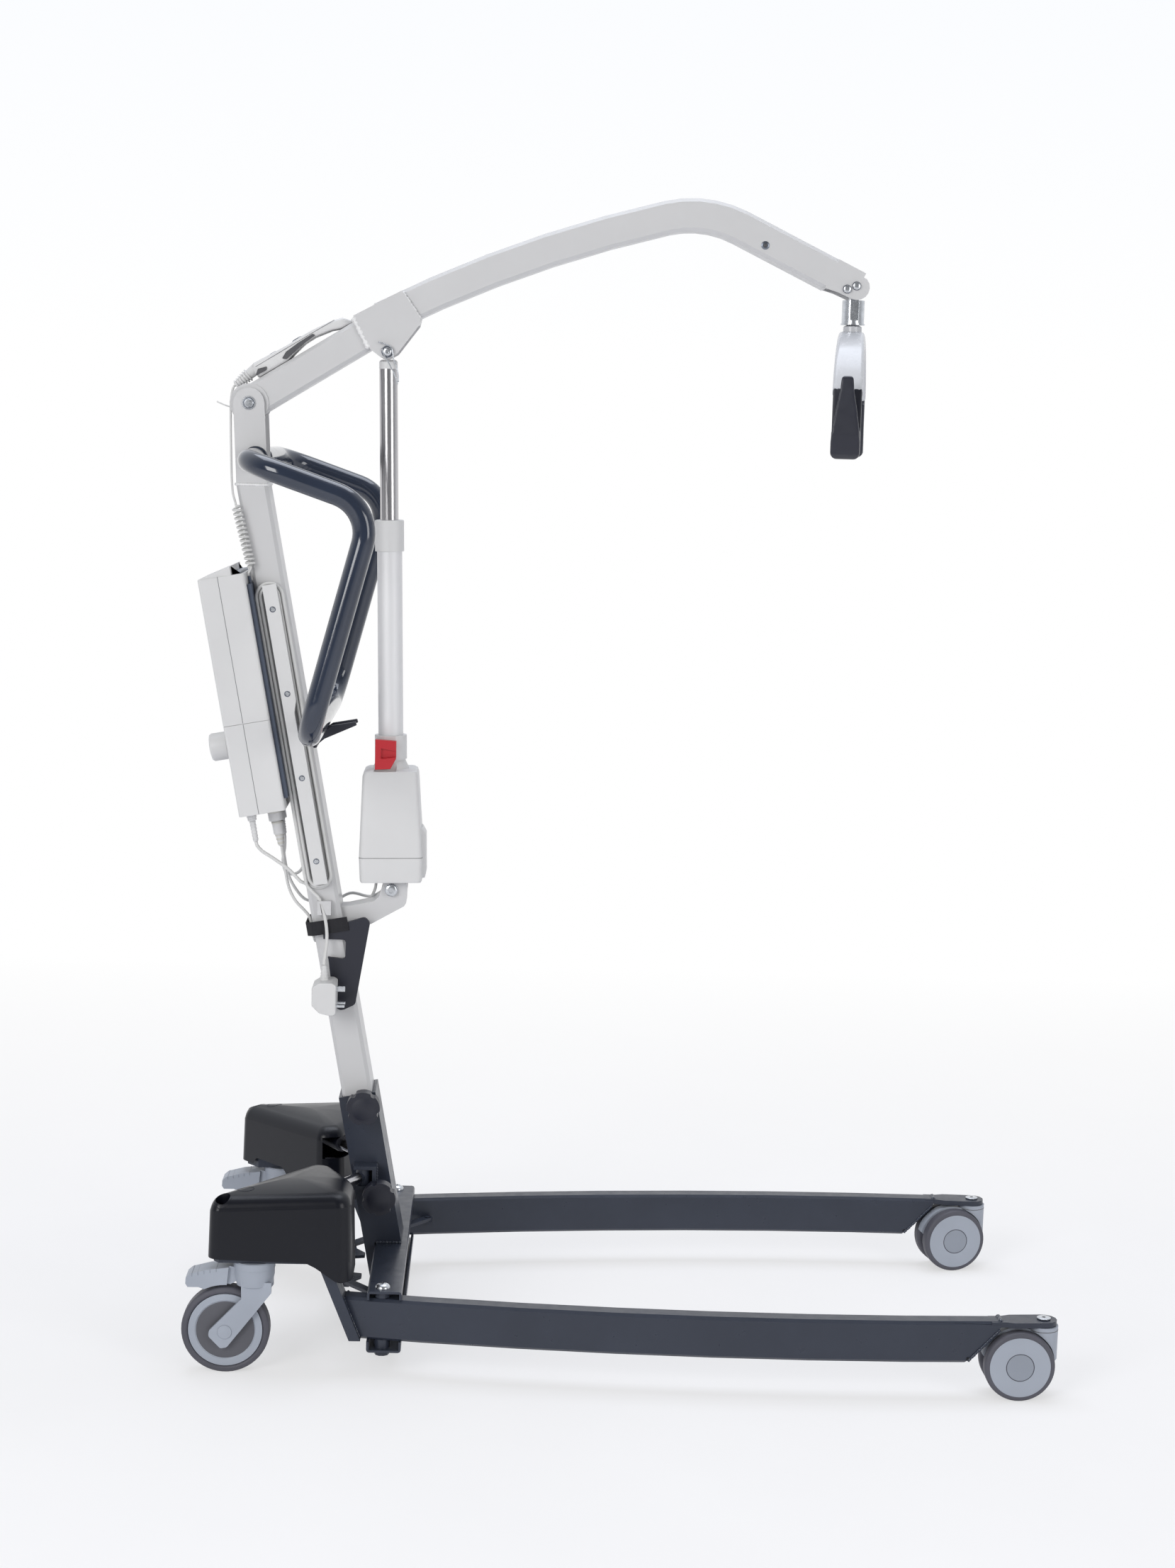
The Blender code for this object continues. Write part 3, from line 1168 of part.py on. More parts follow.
def mast_ring(along, half_x, half_y, corner):
    """A section square to the mast."""
    across = Vector((math.cos(MAST_TILT), 0, math.sin(MAST_TILT)))
    return rounded_ring(mast_point(along), across, (0, 1, 0), half_x, half_y, corner, 1)


def make_mast(holder):
    half_x, half_y = MAST_DEPTH / 2, MAST_WIDTH / 2
    body = loft([mast_ring(MAST_START, half_x, half_y, MAST_CORNER), mast_ring(MAST_END, half_x, half_y, MAST_CORNER)])
    hollow = loft([mast_ring(MAST_START - 0.01, half_x - MAST_WALL, half_y - MAST_WALL, MAST_CORNER / 2),
                   mast_ring(MAST_END + 0.01, half_x - MAST_WALL, half_y - MAST_WALL, MAST_CORNER / 2)])
    above = box((-0.3, -0.1, HEAD_BOTTOM), (-0.1, 0.1, HEAD_BOTTOM + 0.1))
    clip = box((-0.1134, NEAR_FACE + GAP - CLIP_DEPTH, 0.6223), (-0.0936, NEAR_FACE + GAP + 0.001, 0.6429))
    groove = rod(*CLIP_LINE, LEAD_R + CLIP_CLEARANCE, 10)
    node("mast", body, "paint_white", holder,
         [cut(hollow), cut(above), *actuator_bracket(half_x), *head_steps(), join(clip), cut(groove)])


def actuator_bracket(half_x):
    """Cranked arm on the front of the mast whose forked end holds the actuator's foot on a bolt."""
    face = half_x - 0.0015
    low, high = 0.5985, 0.6300
    arm = [(mast_x(high, face), high), (-0.0700, 0.6310), (-0.0261, 0.6409), (-0.0193, 0.6680),
           (0.0110, 0.6687), (0.0165, 0.6660), (0.0150, 0.6344), (-0.0360, 0.6052), (mast_x(low, face), low)]
    bracket = prism(fillet(arm, [0, 0, 0.010, 0.003, 0, 0.003, 0.006, 0.008, 0], 1),
                    -ARM_BRACKET_WIDTH / 2, ARM_BRACKET_WIDTH / 2)
    half_eye = FOOT_EYE_WIDTH / 2 + 0.0006
    room = prism(arc(ACTUATOR_FOOT, FOOT_EYE_R + 0.0025, 180, 360, 6)
                 + [(0.03, 0.6572), (0.03, 0.70), (-0.030, 0.70)], -half_eye, half_eye)
    bolt = cross_bolt(ACTUATOR_FOOT, FOOT_BOLT_R, 0.0085, ARM_BRACKET_WIDTH / 2 - 0.0005, 0.006)
    return [join(bracket), cut(room), join(bolt)]


def head_point(down, forward):
    """A point below the boom pivot along the upright head, and ahead of its centre line."""
    return (BOOM_PIVOT[0] + down * math.sin(HEAD_TILT) + forward * math.cos(HEAD_TILT),
            BOOM_PIVOT[1] - down * math.cos(HEAD_TILT) + forward * math.sin(HEAD_TILT))


def head_steps():
    """Two cheeks and a rear web that carry the boom pivot, welded on the mast's cut end."""
    bottom = HEAD_BOTTOM - 0.001
    drop = BOOM_PIVOT[1] - bottom
    tilt = math.degrees(HEAD_TILT)
    round_top = arc(BOOM_PIVOT, HEAD_R, tilt, 180 + tilt, 9)
    foot_front = (head_point(drop, HEAD_R)[0], bottom)
    foot_back = (head_point(drop, -HEAD_R)[0], bottom)
    outline = round_top + [foot_back, foot_front]
    half = MAST_WIDTH / 2
    gap_half = half - HEAD_PLATE
    room = [head_point(-0.05, -HEAD_R + HEAD_PLATE), head_point(-0.05, 0.06),
            head_point(drop - HEAD_FLOOR, 0.06), head_point(drop - HEAD_FLOOR, -HEAD_R + HEAD_PLATE)]
    above_web = [head_point(-0.05, -0.06), head_point(-0.05, 0.06), head_point(HEAD_WEB_TOP, 0.06),
                 head_point(HEAD_WEB_TOP, -0.06)]
    pin_hole = rod((BOOM_PIVOT[0], -0.05, BOOM_PIVOT[1]), (BOOM_PIVOT[0], 0.05, BOOM_PIVOT[1]),
                   BOOM_BOLT_R + BORE_CLEARANCE, 14)
    return [join(prism(outline, -half, half)), cut(prism(room, -gap_half, gap_half)),
            cut(prism(above_web, -gap_half, gap_half)), cut(pin_hole)]


def cross_bolt(place, shank, head, half, head_height):
    """A bolt across the machine with a head on the near side and a nut on the far side."""
    x, z = place
    profile = [(0, -half - head_height), (head * 0.8, -half - head_height), (head, -half - head_height * 0.5),
               (head, -half), (shank, -half), (shank, half), (head * 1.1, half), (head * 1.1, half + head_height),
               (0, half + head_height)]
    return turned(profile, (x, 0, z), (0, 1, 0), 8)


def make_pivot_bolt(holder):
    bolt = cross_bolt(BOOM_PIVOT, BOOM_BOLT_R, 0.0068, MAST_WIDTH / 2 + GAP, 0.004)
    node("boom_pivot_bolt", bolt, "zinc", holder)


def make_handle(holder):
    """One bent tube: from the head out and down the near side, across the mast's front, up the far side."""
    entry = MAST_WIDTH / 2 + GAP
    low = mast_point(HANDLE_CROSSING, MAST_DEPTH / 2 + HANDLE_R + GAP)
    side_line = [(HANDLE_ENTRY[0], entry, HANDLE_ENTRY[1]), (HANDLE_ENTRY[0], entry + 0.02, HANDLE_ENTRY[1]),
                 (HANDLE_TOP[0], HANDLE_Y, HANDLE_TOP[1]), (HANDLE_ELBOW[0], HANDLE_Y, HANDLE_ELBOW[1]),
                 (low.x, HANDLE_Y, low.z)]
    far = [Vector(point) for point in side_line]
    near = [Vector((point.x, -point.y, point.z)) for point in far]
    corners = far + list(reversed(near))
    path = [corners[0], corners[1]]
    for before, here, after in zip(corners[1:], corners[2:], corners[3:-1]):
        path += rounded_corners([before, here, after], HANDLE_BEND, 3)[1:-1]
    path += [corners[-2], corners[-1]]
    past = Vector((0, GAP, 0))
    bore = [path[0] - past] + path[1:-1] + [path[-1] + past]
    node("push_handle", tube_mesh(path, HANDLE_R, 10), "handle_blue", holder,
         [cut(tube_mesh(bore, HANDLE_R - HANDLE_WALL, 6))])


def make_rest_hook(holder):
    """Clamp plate with two fins below the handle, where the spreader bar is parked."""
    back = MAST_DEPTH / 2 + GAP
    plate = prism(mast_outline([(0.876, back), (0.876, back + 0.005), (0.9035, back + 0.005), (0.9035, back)]),
                  -0.027, 0.027)
    fin = [(mast_x(0.8660, back), 0.8660), (mast_x(0.8845, back), 0.8845), (-0.1120, 0.8885), (-0.0985, 0.8985),
           (-0.0630, 0.9050), (-0.0615, 0.9000), (-0.1080, 0.8790)]
    fins = [join(prism(fin, y - 0.0035, y + 0.0035)) for y in (-0.019, 0.019)]
    node("bar_rest_hook", plate, "black", holder, fins)


# Control box, battery and stop button

def box_outline(low, high, near, far):
    return mast_outline([(low, near), (low, far), (high, far), (high, near)])


def box_ring(along, back, front, corner, inset=0.0):
    """A section of the box square to the mast."""
    across = Vector((math.cos(MAST_TILT), 0, math.sin(MAST_TILT)))
    middle = (back + front) / 2
    return rounded_ring(mast_point(along, middle), across, (0, 1, 0), (front - back) / 2,
                        BOX_HALF_Y - inset, corner, 1 if inset else 2)


def box_loft(low, high, wall=0.0, corner=0.004):
    back = BOX_NEAR - BOX_DEPTH
    return loft([box_ring(along, back + wall, BOX_NEAR - wall, corner, wall) for along in (low, high)])


DOWN_MAST = (math.sin(MAST_TILT), 0.0, -math.cos(MAST_TILT))
BOX_BACK = BOX_NEAR - BOX_DEPTH

# Glands under the box: forward, side, then radii with their depths below it
GLANDS = {
    "mains": (-0.0825, -0.037, [(0.0066, 0.0), (0.0066, 0.012), (0.0042, 0.0125), (0.0036, 0.0430)]),
    "motor": (-0.0492, -0.015, [(0.0120, 0.0), (0.0120, 0.020), (0.0085, 0.0205), (0.0083, 0.040),
                                (0.0066, 0.0410), (0.0040, 0.0585)]),
    "signal": (-0.0492, 0.0085, [(0.0065, 0.0), (0.0065, 0.020), (0.0045, 0.0205), (0.0032, 0.0480)]),
    "handset": (-0.0470, 0.0300, [(0.0080, 0.0), (0.0080, 0.024), (0.0045, 0.0245), (0.0032, 0.0480)]),
}


def gland_end(label, beyond=0.0):
    """A point below the end of a gland, where its lead starts."""
    forward, side, profile = GLANDS[label]
    return mast_point(BOX_BOTTOM - profile[-1][1] - GAP - beyond, forward, side)


def make_back_plate(holder):
    """Plate that carries the box on the back of the mast, with the handset lead's socket on its top edge."""
    plate = prism(box_outline(*PLATE_SPAN, BOX_NEAR + GAP, -MAST_DEPTH / 2 - GAP), -PLATE_HALF_Y, PLATE_HALF_Y)
    top = PLATE_SPAN[1]
    socket = rod(mast_point(top - 0.006, SOCKET_FORWARD, SOCKET_SIDE),
                 mast_point(top + SOCKET_HEIGHT, SOCKET_FORWARD, SOCKET_SIDE), SOCKET_R, 10)
    node("box_back_plate", plate, "plate_blue", holder, [join(socket)])


def make_control_box(holder):
    top = BOX_SEAM - GAP
    hollow = box_loft(BOX_BOTTOM + BOX_WALL, top - BOX_WALL, BOX_WALL, 0.002)
    seat = mast_point(STOP_ALONG, BOX_BACK - 0.001)
    inside = mast_point(STOP_ALONG, BOX_BACK + 0.010)
    steps = [cut(hollow), cut(rod(seat, inside, STOP_STEM_R + 0.0005, 20))]
    for forward, side, radii in GLANDS.values():
        profile = [(0, -0.002), (radii[0][0], -0.002)] + radii[1:] + [(0, radii[-1][1])]
        steps.append(join(turned(profile, mast_point(BOX_BOTTOM, forward, side), DOWN_MAST, 8)))
    node("control_box", box_loft(BOX_BOTTOM, top), "box_grey", holder, steps)


def make_battery(holder):
    back = BOX_BACK
    top = BOX_TOP
    lid = prism(mast_outline([(top - 0.002, back + 0.0015), (top - 0.002, BOX_RECESS),
                              (top + BOX_LID, BOX_RECESS), (top + 0.001, back + 0.0015)]),
                -BOX_HALF_Y + 0.002, BOX_HALF_Y - 0.002)
    grip = prism(mast_outline([(top - 0.012, BOX_RECESS), (top + 0.02, BOX_RECESS), (top + 0.02, BOX_NEAR - 0.006),
                               (top - 0.012, BOX_NEAR - 0.006)]), -BOX_HALF_Y + 0.020, BOX_HALF_Y - 0.020)
    core = box_loft(BOX_SEAM - 0.002, top - 0.016, 0.004, 0.002)
    node("battery_pack", box_loft(BOX_SEAM, top), "box_grey", holder, [join(lid), cut(grip), cut(core)])


def make_stop_button(holder):
    face = mast_point(STOP_ALONG, BOX_BACK - STOP_TRAVEL - GAP)
    backward = Vector((-math.cos(MAST_TILT), 0, -math.sin(MAST_TILT)))
    length = STOP_BUTTON_LENGTH - STOP_TRAVEL
    stem_end = -STOP_TRAVEL - 0.003
    profile = [(0, stem_end), (STOP_STEM_R, stem_end), (STOP_STEM_R, 0.0), (STOP_BUTTON_R - 0.003, 0.0),
               (STOP_BUTTON_R, 0.003), (STOP_BUTTON_R, length - 0.004), (STOP_BUTTON_R - 0.002, length - 0.001),
               (STOP_BUTTON_R - 0.006, length), (0, length)]
    node("stop_button", turned(profile, face, backward, 14), "box_grey", holder)


# Lead holder, transport plate and strap on the near side of the mast

def make_holder(holder):
    """Bar on two posts that the mains lead is wound round."""
    bar_inner = NEAR_FACE - HOLDER_STANDOFF
    bar_outer = bar_inner - HOLDER_BAR_THICKNESS
    low, high = HOLDER_FORWARD - HOLDER_BAR_WIDTH / 2, HOLDER_FORWARD + HOLDER_BAR_WIDTH / 2
    notch = high - HOLDER_NOTCH_DEPTH
    outline = [(HOLDER_START, low), (HOLDER_END, low), (HOLDER_END, high), (HOLDER_NOTCH[1] + 0.018, high),
               (HOLDER_NOTCH[1], notch), (HOLDER_NOTCH[0], notch), (HOLDER_NOTCH[0] - 0.014, high),
               (HOLDER_START, high)]
    steps = []
    for along in HANK_CENTRES:
        centre = mast_point(along)
        steps.append(join(rod((centre.x, bar_inner - 0.002, centre.z), (centre.x, NEAR_FACE, centre.z),
                              HOLDER_POST_R, 12)))
    node("cable_holder", prism(mast_outline(outline), bar_outer, bar_inner), "box_grey", holder, steps)


def make_transport_plate(holder):
    """Plate under the strap; its corners are given above the strap's middle and ahead of the mast's."""
    corners = [(0.0014, 0.0272), (0.0052, 0.0563), (-0.0043, 0.0621),
               (-0.1216, 0.0202), (-0.1281, -0.0030), (-0.1192, -0.0111),
               (-0.0477, -0.0073), (-0.0183, -0.0098), (0.0049, -0.0055)]
    slot = [(-0.0413, -0.0197), (-0.0522, 0.0170), (-0.0238, 0.0229), (-0.0161, -0.0150)]
    outline = fillet(mast_outline([(STRAP_ALONG + rise, forward) for rise, forward in corners]),
                     [0.004, 0.006, 0.006, 0.006, 0.010, 0.008, 0.010, 0.004, 0.002], 2)
    plate = prism(outline, NEAR_FACE - PLATE_Y_THICKNESS, NEAR_FACE)
    window = prism(fillet(mast_outline([(STRAP_ALONG + rise, forward) for rise, forward in slot]),
                          [0, 0.004, 0.004, 0], 2), NEAR_FACE - 0.02, NEAR_FACE + 0.01)
    hole = mast_point(STRAP_ALONG - 0.1177, -0.0024)
    screw = rod((hole.x, NEAR_FACE - 0.02, hole.z), (hole.x, NEAR_FACE + 0.01, hole.z), 0.0022, 12)
    node("transport_plate", plate, "black", holder, [cut(window), cut(screw)])


def make_strap(holder):
    """Webbing from the front of the plate round the near side and back of the mast to its far side."""
    outer = NEAR_FACE - PLATE_Y_THICKNESS - GAP - STRAP_THICKNESS
    inner = outer + STRAP_THICKNESS
    far = MAST_WIDTH / 2 + GAP
    rear = -MAST_DEPTH / 2 - 0.0075
    half = STRAP_HEIGHT / 2
    path = [(0.030, inner), (0.030, outer), (rear + 0.006, outer), (rear - STRAP_THICKNESS, outer + 0.008),
            (rear - STRAP_THICKNESS, far - 0.010), (-MAST_DEPTH / 2, far + STRAP_THICKNESS),
            (0.012, far + STRAP_THICKNESS), (0.012, far), (-MAST_DEPTH / 2 + 0.0005, far), (rear, far - 0.011),
            (rear, outer + 0.009), (rear + 0.0065, inner)]
    rings = []
    for along in (STRAP_ALONG - half, STRAP_ALONG + half):
        rings.append([mast_point(along, forward, side) for forward, side in path])
    node("holding_strap", loft(rings), "webbing", holder)


# Actuator

def actuator_ring(along, half_x, half_y, corner, shift=0.0):
    across = Vector((math.cos(ACTUATOR_LEAN), 0, math.sin(ACTUATOR_LEAN)))
    return rounded_ring(actuator_point(along, shift), across, (0, 1, 0), half_x, half_y, corner, 1)


def make_actuator(swing, rod_axis, catch_axis):
    axis = actuator_point(1) - actuator_point(0)
    rings = [actuator_ring(FOOT_CLEAR, 0.0440, 0.0385, 0.006), actuator_ring(FOOT_CLEAR + 0.003, 0.0455, 0.0400, 0.007),
             actuator_ring(0.0500, 0.0465, 0.0405, 0.007), actuator_ring(0.1700, 0.0405, 0.0375, 0.007),
             actuator_ring(0.1765, 0.0385, 0.0355, 0.007), actuator_ring(0.1790, 0.0340, 0.0310, 0.006)]
    body = loft(rings)
    bulge = loft([actuator_ring(0.0180, 0.012, 0.022, 0.005, 0.0375), actuator_ring(0.0260, 0.014, 0.026, 0.006, 0.0375),
                  actuator_ring(0.0820, 0.014, 0.026, 0.006, 0.0375), actuator_ring(0.0920, 0.010, 0.022, 0.005, 0.0365)])
    neck = turned([(0, 0.170), (0.0270, 0.170), (0.0260, 0.1810), (0.0215, 0.1905), (0.0215, RING_START),
                   (RING_R, RING_START), (RING_R, RING_END), (0, RING_END)], actuator_point(0), axis, 16)
    eye = rod(actuator_point(0, 0, -FOOT_EYE_WIDTH / 2), actuator_point(0, 0, FOOT_EYE_WIDTH / 2), FOOT_EYE_R, 14)
    strut = prism([(actuator_point(0, -FOOT_EYE_R * 0.9).x, ACTUATOR_FOOT[1] + 0.002),
                   (actuator_point(0, FOOT_EYE_R * 0.9).x, ACTUATOR_FOOT[1] + 0.002),
                   (actuator_point(0.016, 0.014).x, ACTUATOR_FOOT[1] + 0.016),
                   (actuator_point(0.016, -0.014).x, ACTUATOR_FOOT[1] + 0.016)],
                  -FOOT_EYE_WIDTH / 2, FOOT_EYE_WIDTH / 2)
    eye_hole = rod(actuator_point(0, 0, -0.03), actuator_point(0, 0, 0.03), FOOT_BOLT_R + BORE_CLEARANCE, 12)
    seat = rod(actuator_point(ACTUATOR_TUBE_START - GAP), actuator_point(RING_END + 0.01), ACTUATOR_TUBE_R + GAP, 16)
    motor_room = loft([actuator_ring(0.022, 0.0330, 0.0290, 0), actuator_ring(0.160, 0.0290, 0.0260, 0)])
    vent = rod(actuator_point(FOOT_CLEAR - 0.01, 0.030), actuator_point(0.030, 0.030), 0.003, 6)
    catch_room = box((-0.0345 - GAP, -0.034, 0.8330), (-0.0022, -CATCH_BACK + GAP, 0.8900 + CATCH_TRAVEL))
    node("actuator_housing", body, "box_grey", swing,
         [join(bulge), join(neck), join(eye), join(strut), cut(eye_hole), cut(seat), cut(motor_room), cut(vent),
          cut(catch_room)])
    inner = ROD_R + ROD_PLAY
    tube = turned([(0, ACTUATOR_TUBE_START), (ACTUATOR_TUBE_R, ACTUATOR_TUBE_START),
                   (ACTUATOR_TUBE_R, ACTUATOR_TUBE_END - COLLAR_LENGTH),
                   (COLLAR_R, ACTUATOR_TUBE_END - COLLAR_LENGTH), (COLLAR_R, ACTUATOR_TUBE_END - 0.001),
                   (COLLAR_R - 0.001, ACTUATOR_TUBE_END), (inner, ACTUATOR_TUBE_END),
                   (inner, ACTUATOR_TUBE_START + 0.006), (0, ACTUATOR_TUBE_START + 0.006)],
                  actuator_point(0), axis, 16)
    node("actuator_tube", tube, "aluminium", swing)
    shaft = turned([(0, ROD_BOTTOM), (ROD_R, ROD_BOTTOM), (ROD_R, ROD_TOP - 0.012), (ROD_R - 0.0006, ROD_TOP - 0.012),
                    (ROD_R - 0.0006, ROD_TOP - 0.002), (ROD_R - 0.003, ROD_TOP), (0, ROD_TOP)],
                   actuator_point(0), axis, 16)
    node("actuator_rod", shaft, "chrome", rod_axis)
    catch = [(-0.0336, 0.8365), (-0.0336, 0.8810), (-0.0030, 0.8790), (-0.0030, 0.8530), (-0.0110, 0.8380)]
    grip = prism(catch, -0.0330, -CATCH_BACK)
    scoop = prism([(-0.0250, 0.8530), (-0.0250, 0.8680), (0.0, 0.8640), (0.0, 0.8560)], -0.036, -0.0275)
    node("release_catch", grip, "red", catch_axis, [cut(scoop)])


# Boom

def front_line():
    """Centre line of the boom's front tube: a long arch, a bend and a straight run to the tip."""
    points = [Vector(BOOM_FRONT_START)]
    heading = BOOM_FRONT_ANGLE

    def bend(radius, finish, steps):
        nonlocal heading
        step_angle = (heading - finish) / steps
        for _ in range(steps):
            chord = 2 * radius * math.sin(step_angle / 2)
            middle = heading - step_angle / 2
            points.append(points[-1] + Vector((math.cos(middle), math.sin(middle))) * chord)
            heading -= step_angle

    bend(BOOM_ARCH_RADIUS, BOOM_FRONT_ANGLE - BOOM_ARCH_LENGTH / BOOM_ARCH_RADIUS, 5)
    bend(BOOM_BEND_RADIUS, BOOM_TIP_ANGLE, 5)
    return points


def tip_point(along, rise):
    """A point on the boom's straight front run, from where its bend ends."""
    start = front_line()[-1]
    return (start.x + along * math.cos(BOOM_TIP_ANGLE) - rise * math.sin(BOOM_TIP_ANGLE),
            start.y + along * math.sin(BOOM_TIP_ANGLE) + rise * math.cos(BOOM_TIP_ANGLE))


def front_loft(depth, width, corner, first, extra):
    """The front tube as a loft, from one of its stations to a length past the bend."""
    points = front_line()[first:]
    points.append(Vector(tip_point(extra, 0)))
    rings = []
    for index, point in enumerate(points):
        before = points[max(index - 1, 0)]
        after = points[min(index + 1, len(points) - 1)]
        heading = (after - before).normalized()
        up = Vector((-heading.y, 0, heading.x))
        rings.append(rounded_ring((point.x, 0, point.y), up, (0, 1, 0), depth / 2, width / 2, corner, 1))
    return loft(rings)


def rear_loft(start, finish, depth, width, corner):
    up = Vector((-math.sin(BOOM_REAR_ANGLE), 0, math.cos(BOOM_REAR_ANGLE)))
    return loft([rounded_ring(boom_point(start), up, (0, 1, 0), depth / 2, width / 2, corner, 1),
                 rounded_ring(boom_point(finish), up, (0, 1, 0), depth / 2, width / 2, corner, 1)])


def make_boom(holder):
    half = BOOM_WIDTH / 2
    wall = BOOM_WALL
    rear = rear_loft(0, BOOM_REAR_LENGTH, BOOM_DEPTH, BOOM_WIDTH, 0.005)
    front = front_loft(BOOM_DEPTH, BOOM_WIDTH, 0.005, 0, TIP_START)
    hub = rod((BOOM_PIVOT[0], -half, BOOM_PIVOT[1]), (BOOM_PIVOT[0], half, BOOM_PIVOT[1]), BOOM_DEPTH / 2, 16)
    x, z = BOOM_PIVOT
    discs = merged(*[rod((x, side * (half - 0.001), z), (x, side * (half + BOOM_DISC), z), BOOM_DISC_R, 20)
                     for side in SIDES.values()])
    sleeve = [(-0.0751, 1.4885), (-0.0065, 1.5258), (0.0212, 1.4865), (0.0189, 1.4773), (-0.0117, 1.4364),
              (-0.0250, 1.4290), (-0.0338, 1.4303), (-0.0505, 1.4424)]
    sleeve = fillet(sleeve, [0, 0, 0.003, 0.003, 0.006, 0.006, 0, 0], 1)
    below = [(-0.0900, 1.4000), (-0.0750, 1.4235), (-0.0400, 1.4460), (-0.0200, 1.4590), (0.0300, 1.4850),
             (0.0600, 1.4200)]
    slot_half = SLEEVE_HALF - SLEEVE_PLATE
    axis_offset = 0.5 * BOOM_DEPTH
    tip = [tip_point(TIP_START - 0.003, axis_offset), tip_point(TIP_TOP_END, axis_offset),
           tip_point(TIP_TOP_END, 0.0165)]
    tip_centre = tip_point(TIP_CENTRE, 0)
    tilt = math.degrees(BOOM_TIP_ANGLE)
    tip += arc(tip_centre, TIP_R, 66 + tilt, -88 + tilt, 7)
    tip += [tip_point(TIP_CENTRE - 0.022, -0.0188), tip_point(TIP_OPEN_START, -axis_offset + 0.0015),
            tip_point(TIP_OPEN_START - 0.001, -axis_offset), tip_point(TIP_START - 0.003, -axis_offset)]
    cheek_room = half - TIP_CHEEK
    mouth = [tip_point(TIP_OPEN_START, -0.06), tip_point(TIP_OPEN_START, axis_offset - wall),
             tip_point(TIP_CENTRE + 0.06, axis_offset - wall), tip_point(TIP_CENTRE + 0.06, -0.06)]
    rear_hollow = rear_loft(0.034, 0.150, BOOM_DEPTH - 2 * wall, BOOM_WIDTH - 2 * wall, 0)
    front_hollow = front_loft(BOOM_DEPTH - 2 * wall, BOOM_WIDTH - 2 * wall, 0, 2, TIP_OPEN_START + 0.002)
    weep = rod(boom_point(0.045, -0.03), boom_point(0.045, -0.015), 0.004, 8)
    pivot_hole = rod((BOOM_PIVOT[0], -0.05, BOOM_PIVOT[1]), (BOOM_PIVOT[0], 0.05, BOOM_PIVOT[1]),
                     BOOM_BOLT_R + BORE_CLEARANCE, 14)
    pin = cross_bolt(BOOM_PIN, BOOM_PIN_R, 0.0065, SLEEVE_HALF - 0.0005, 0.004)
    bolts = [cross_bolt(place, TIP_BOLT_R, 0.0058, half - 0.0005, 0.0035) for place in (HANGER_PIVOT, STOP_BOLT)]
    node("boom", rear, "paint_white", holder,
         [join(hub), join(discs), join(front), join(prism(sleeve, -SLEEVE_HALF, SLEEVE_HALF)),
          join(prism(tip, -half, half)), cut(prism(below, -slot_half, slot_half)),
          cut(prism(mouth, -cheek_room, cheek_room)), cut(rear_hollow), cut(front_hollow), cut(weep),
          cut(pivot_hole), join(pin), *[join(bolt) for bolt in bolts]])


# Hanger, spreader bar and hooks

def make_hanger(holder):
    x, z = HANGER_PIVOT
    top, bottom = z - HANGER_TOP, z - HANGER_BOTTOM
    rim = HANGER_R + 0.0012
    profile = [(SWIVEL_R + BORE_CLEARANCE, bottom), (rim, bottom), (rim, bottom + 0.002), (HANGER_R, bottom + 0.002),
               (HANGER_R, top), (0, top), (0, bottom + 0.026), (SWIVEL_HEAD_R + 0.0006, bottom + 0.026),
               (SWIVEL_HEAD_R + 0.0006, bottom + 0.0145), (SWIVEL_R + BORE_CLEARANCE, bottom + 0.0145)]
    sleeve = turned(profile, (x, 0, 0), (0, 0, 1), 14)
    eye_half = HANGER_EYE_WIDTH / 2
    eye = arc((x, z), HANGER_EYE_R, -20, 200, 7) + [(x - HANGER_NECK, top - 0.001), (x + HANGER_NECK, top - 0.001)]
    groove = box((x - 0.006, -HANGER_R - 0.002, bottom + 0.0065), (x + 0.006, -HANGER_R + 0.0035, top + 0.001))
    hole = rod((x, -0.05, z), (x, 0.05, z), TIP_BOLT_R + BORE_CLEARANCE, 12)
    node("hanger", sleeve, "zinc", holder, [join(prism(eye, -eye_half, eye_half)), cut(groove), cut(hole)])


def spreader_point(reach, drop, x=0.0):
    """A point of the bar: reach from the swivel, drop below its middle, before the bar's yaw."""
    return Vector((HANGER_PIVOT[0] + x, reach, HANGER_PIVOT[1] - HANGER_BOTTOM - SPREADER_DROP - drop))


def yawed(bm):
    return turn_about(bm, (HANGER_PIVOT[0], 0), SPREADER_YAW)


def end_heading(side):
    """Way along the bar at one of its ends, towards the far side."""
    reach, drop = (last - before for before, last in zip(*SPREADER_LINE[-2:]))
    return Vector((0, reach, -side * drop)).normalized()


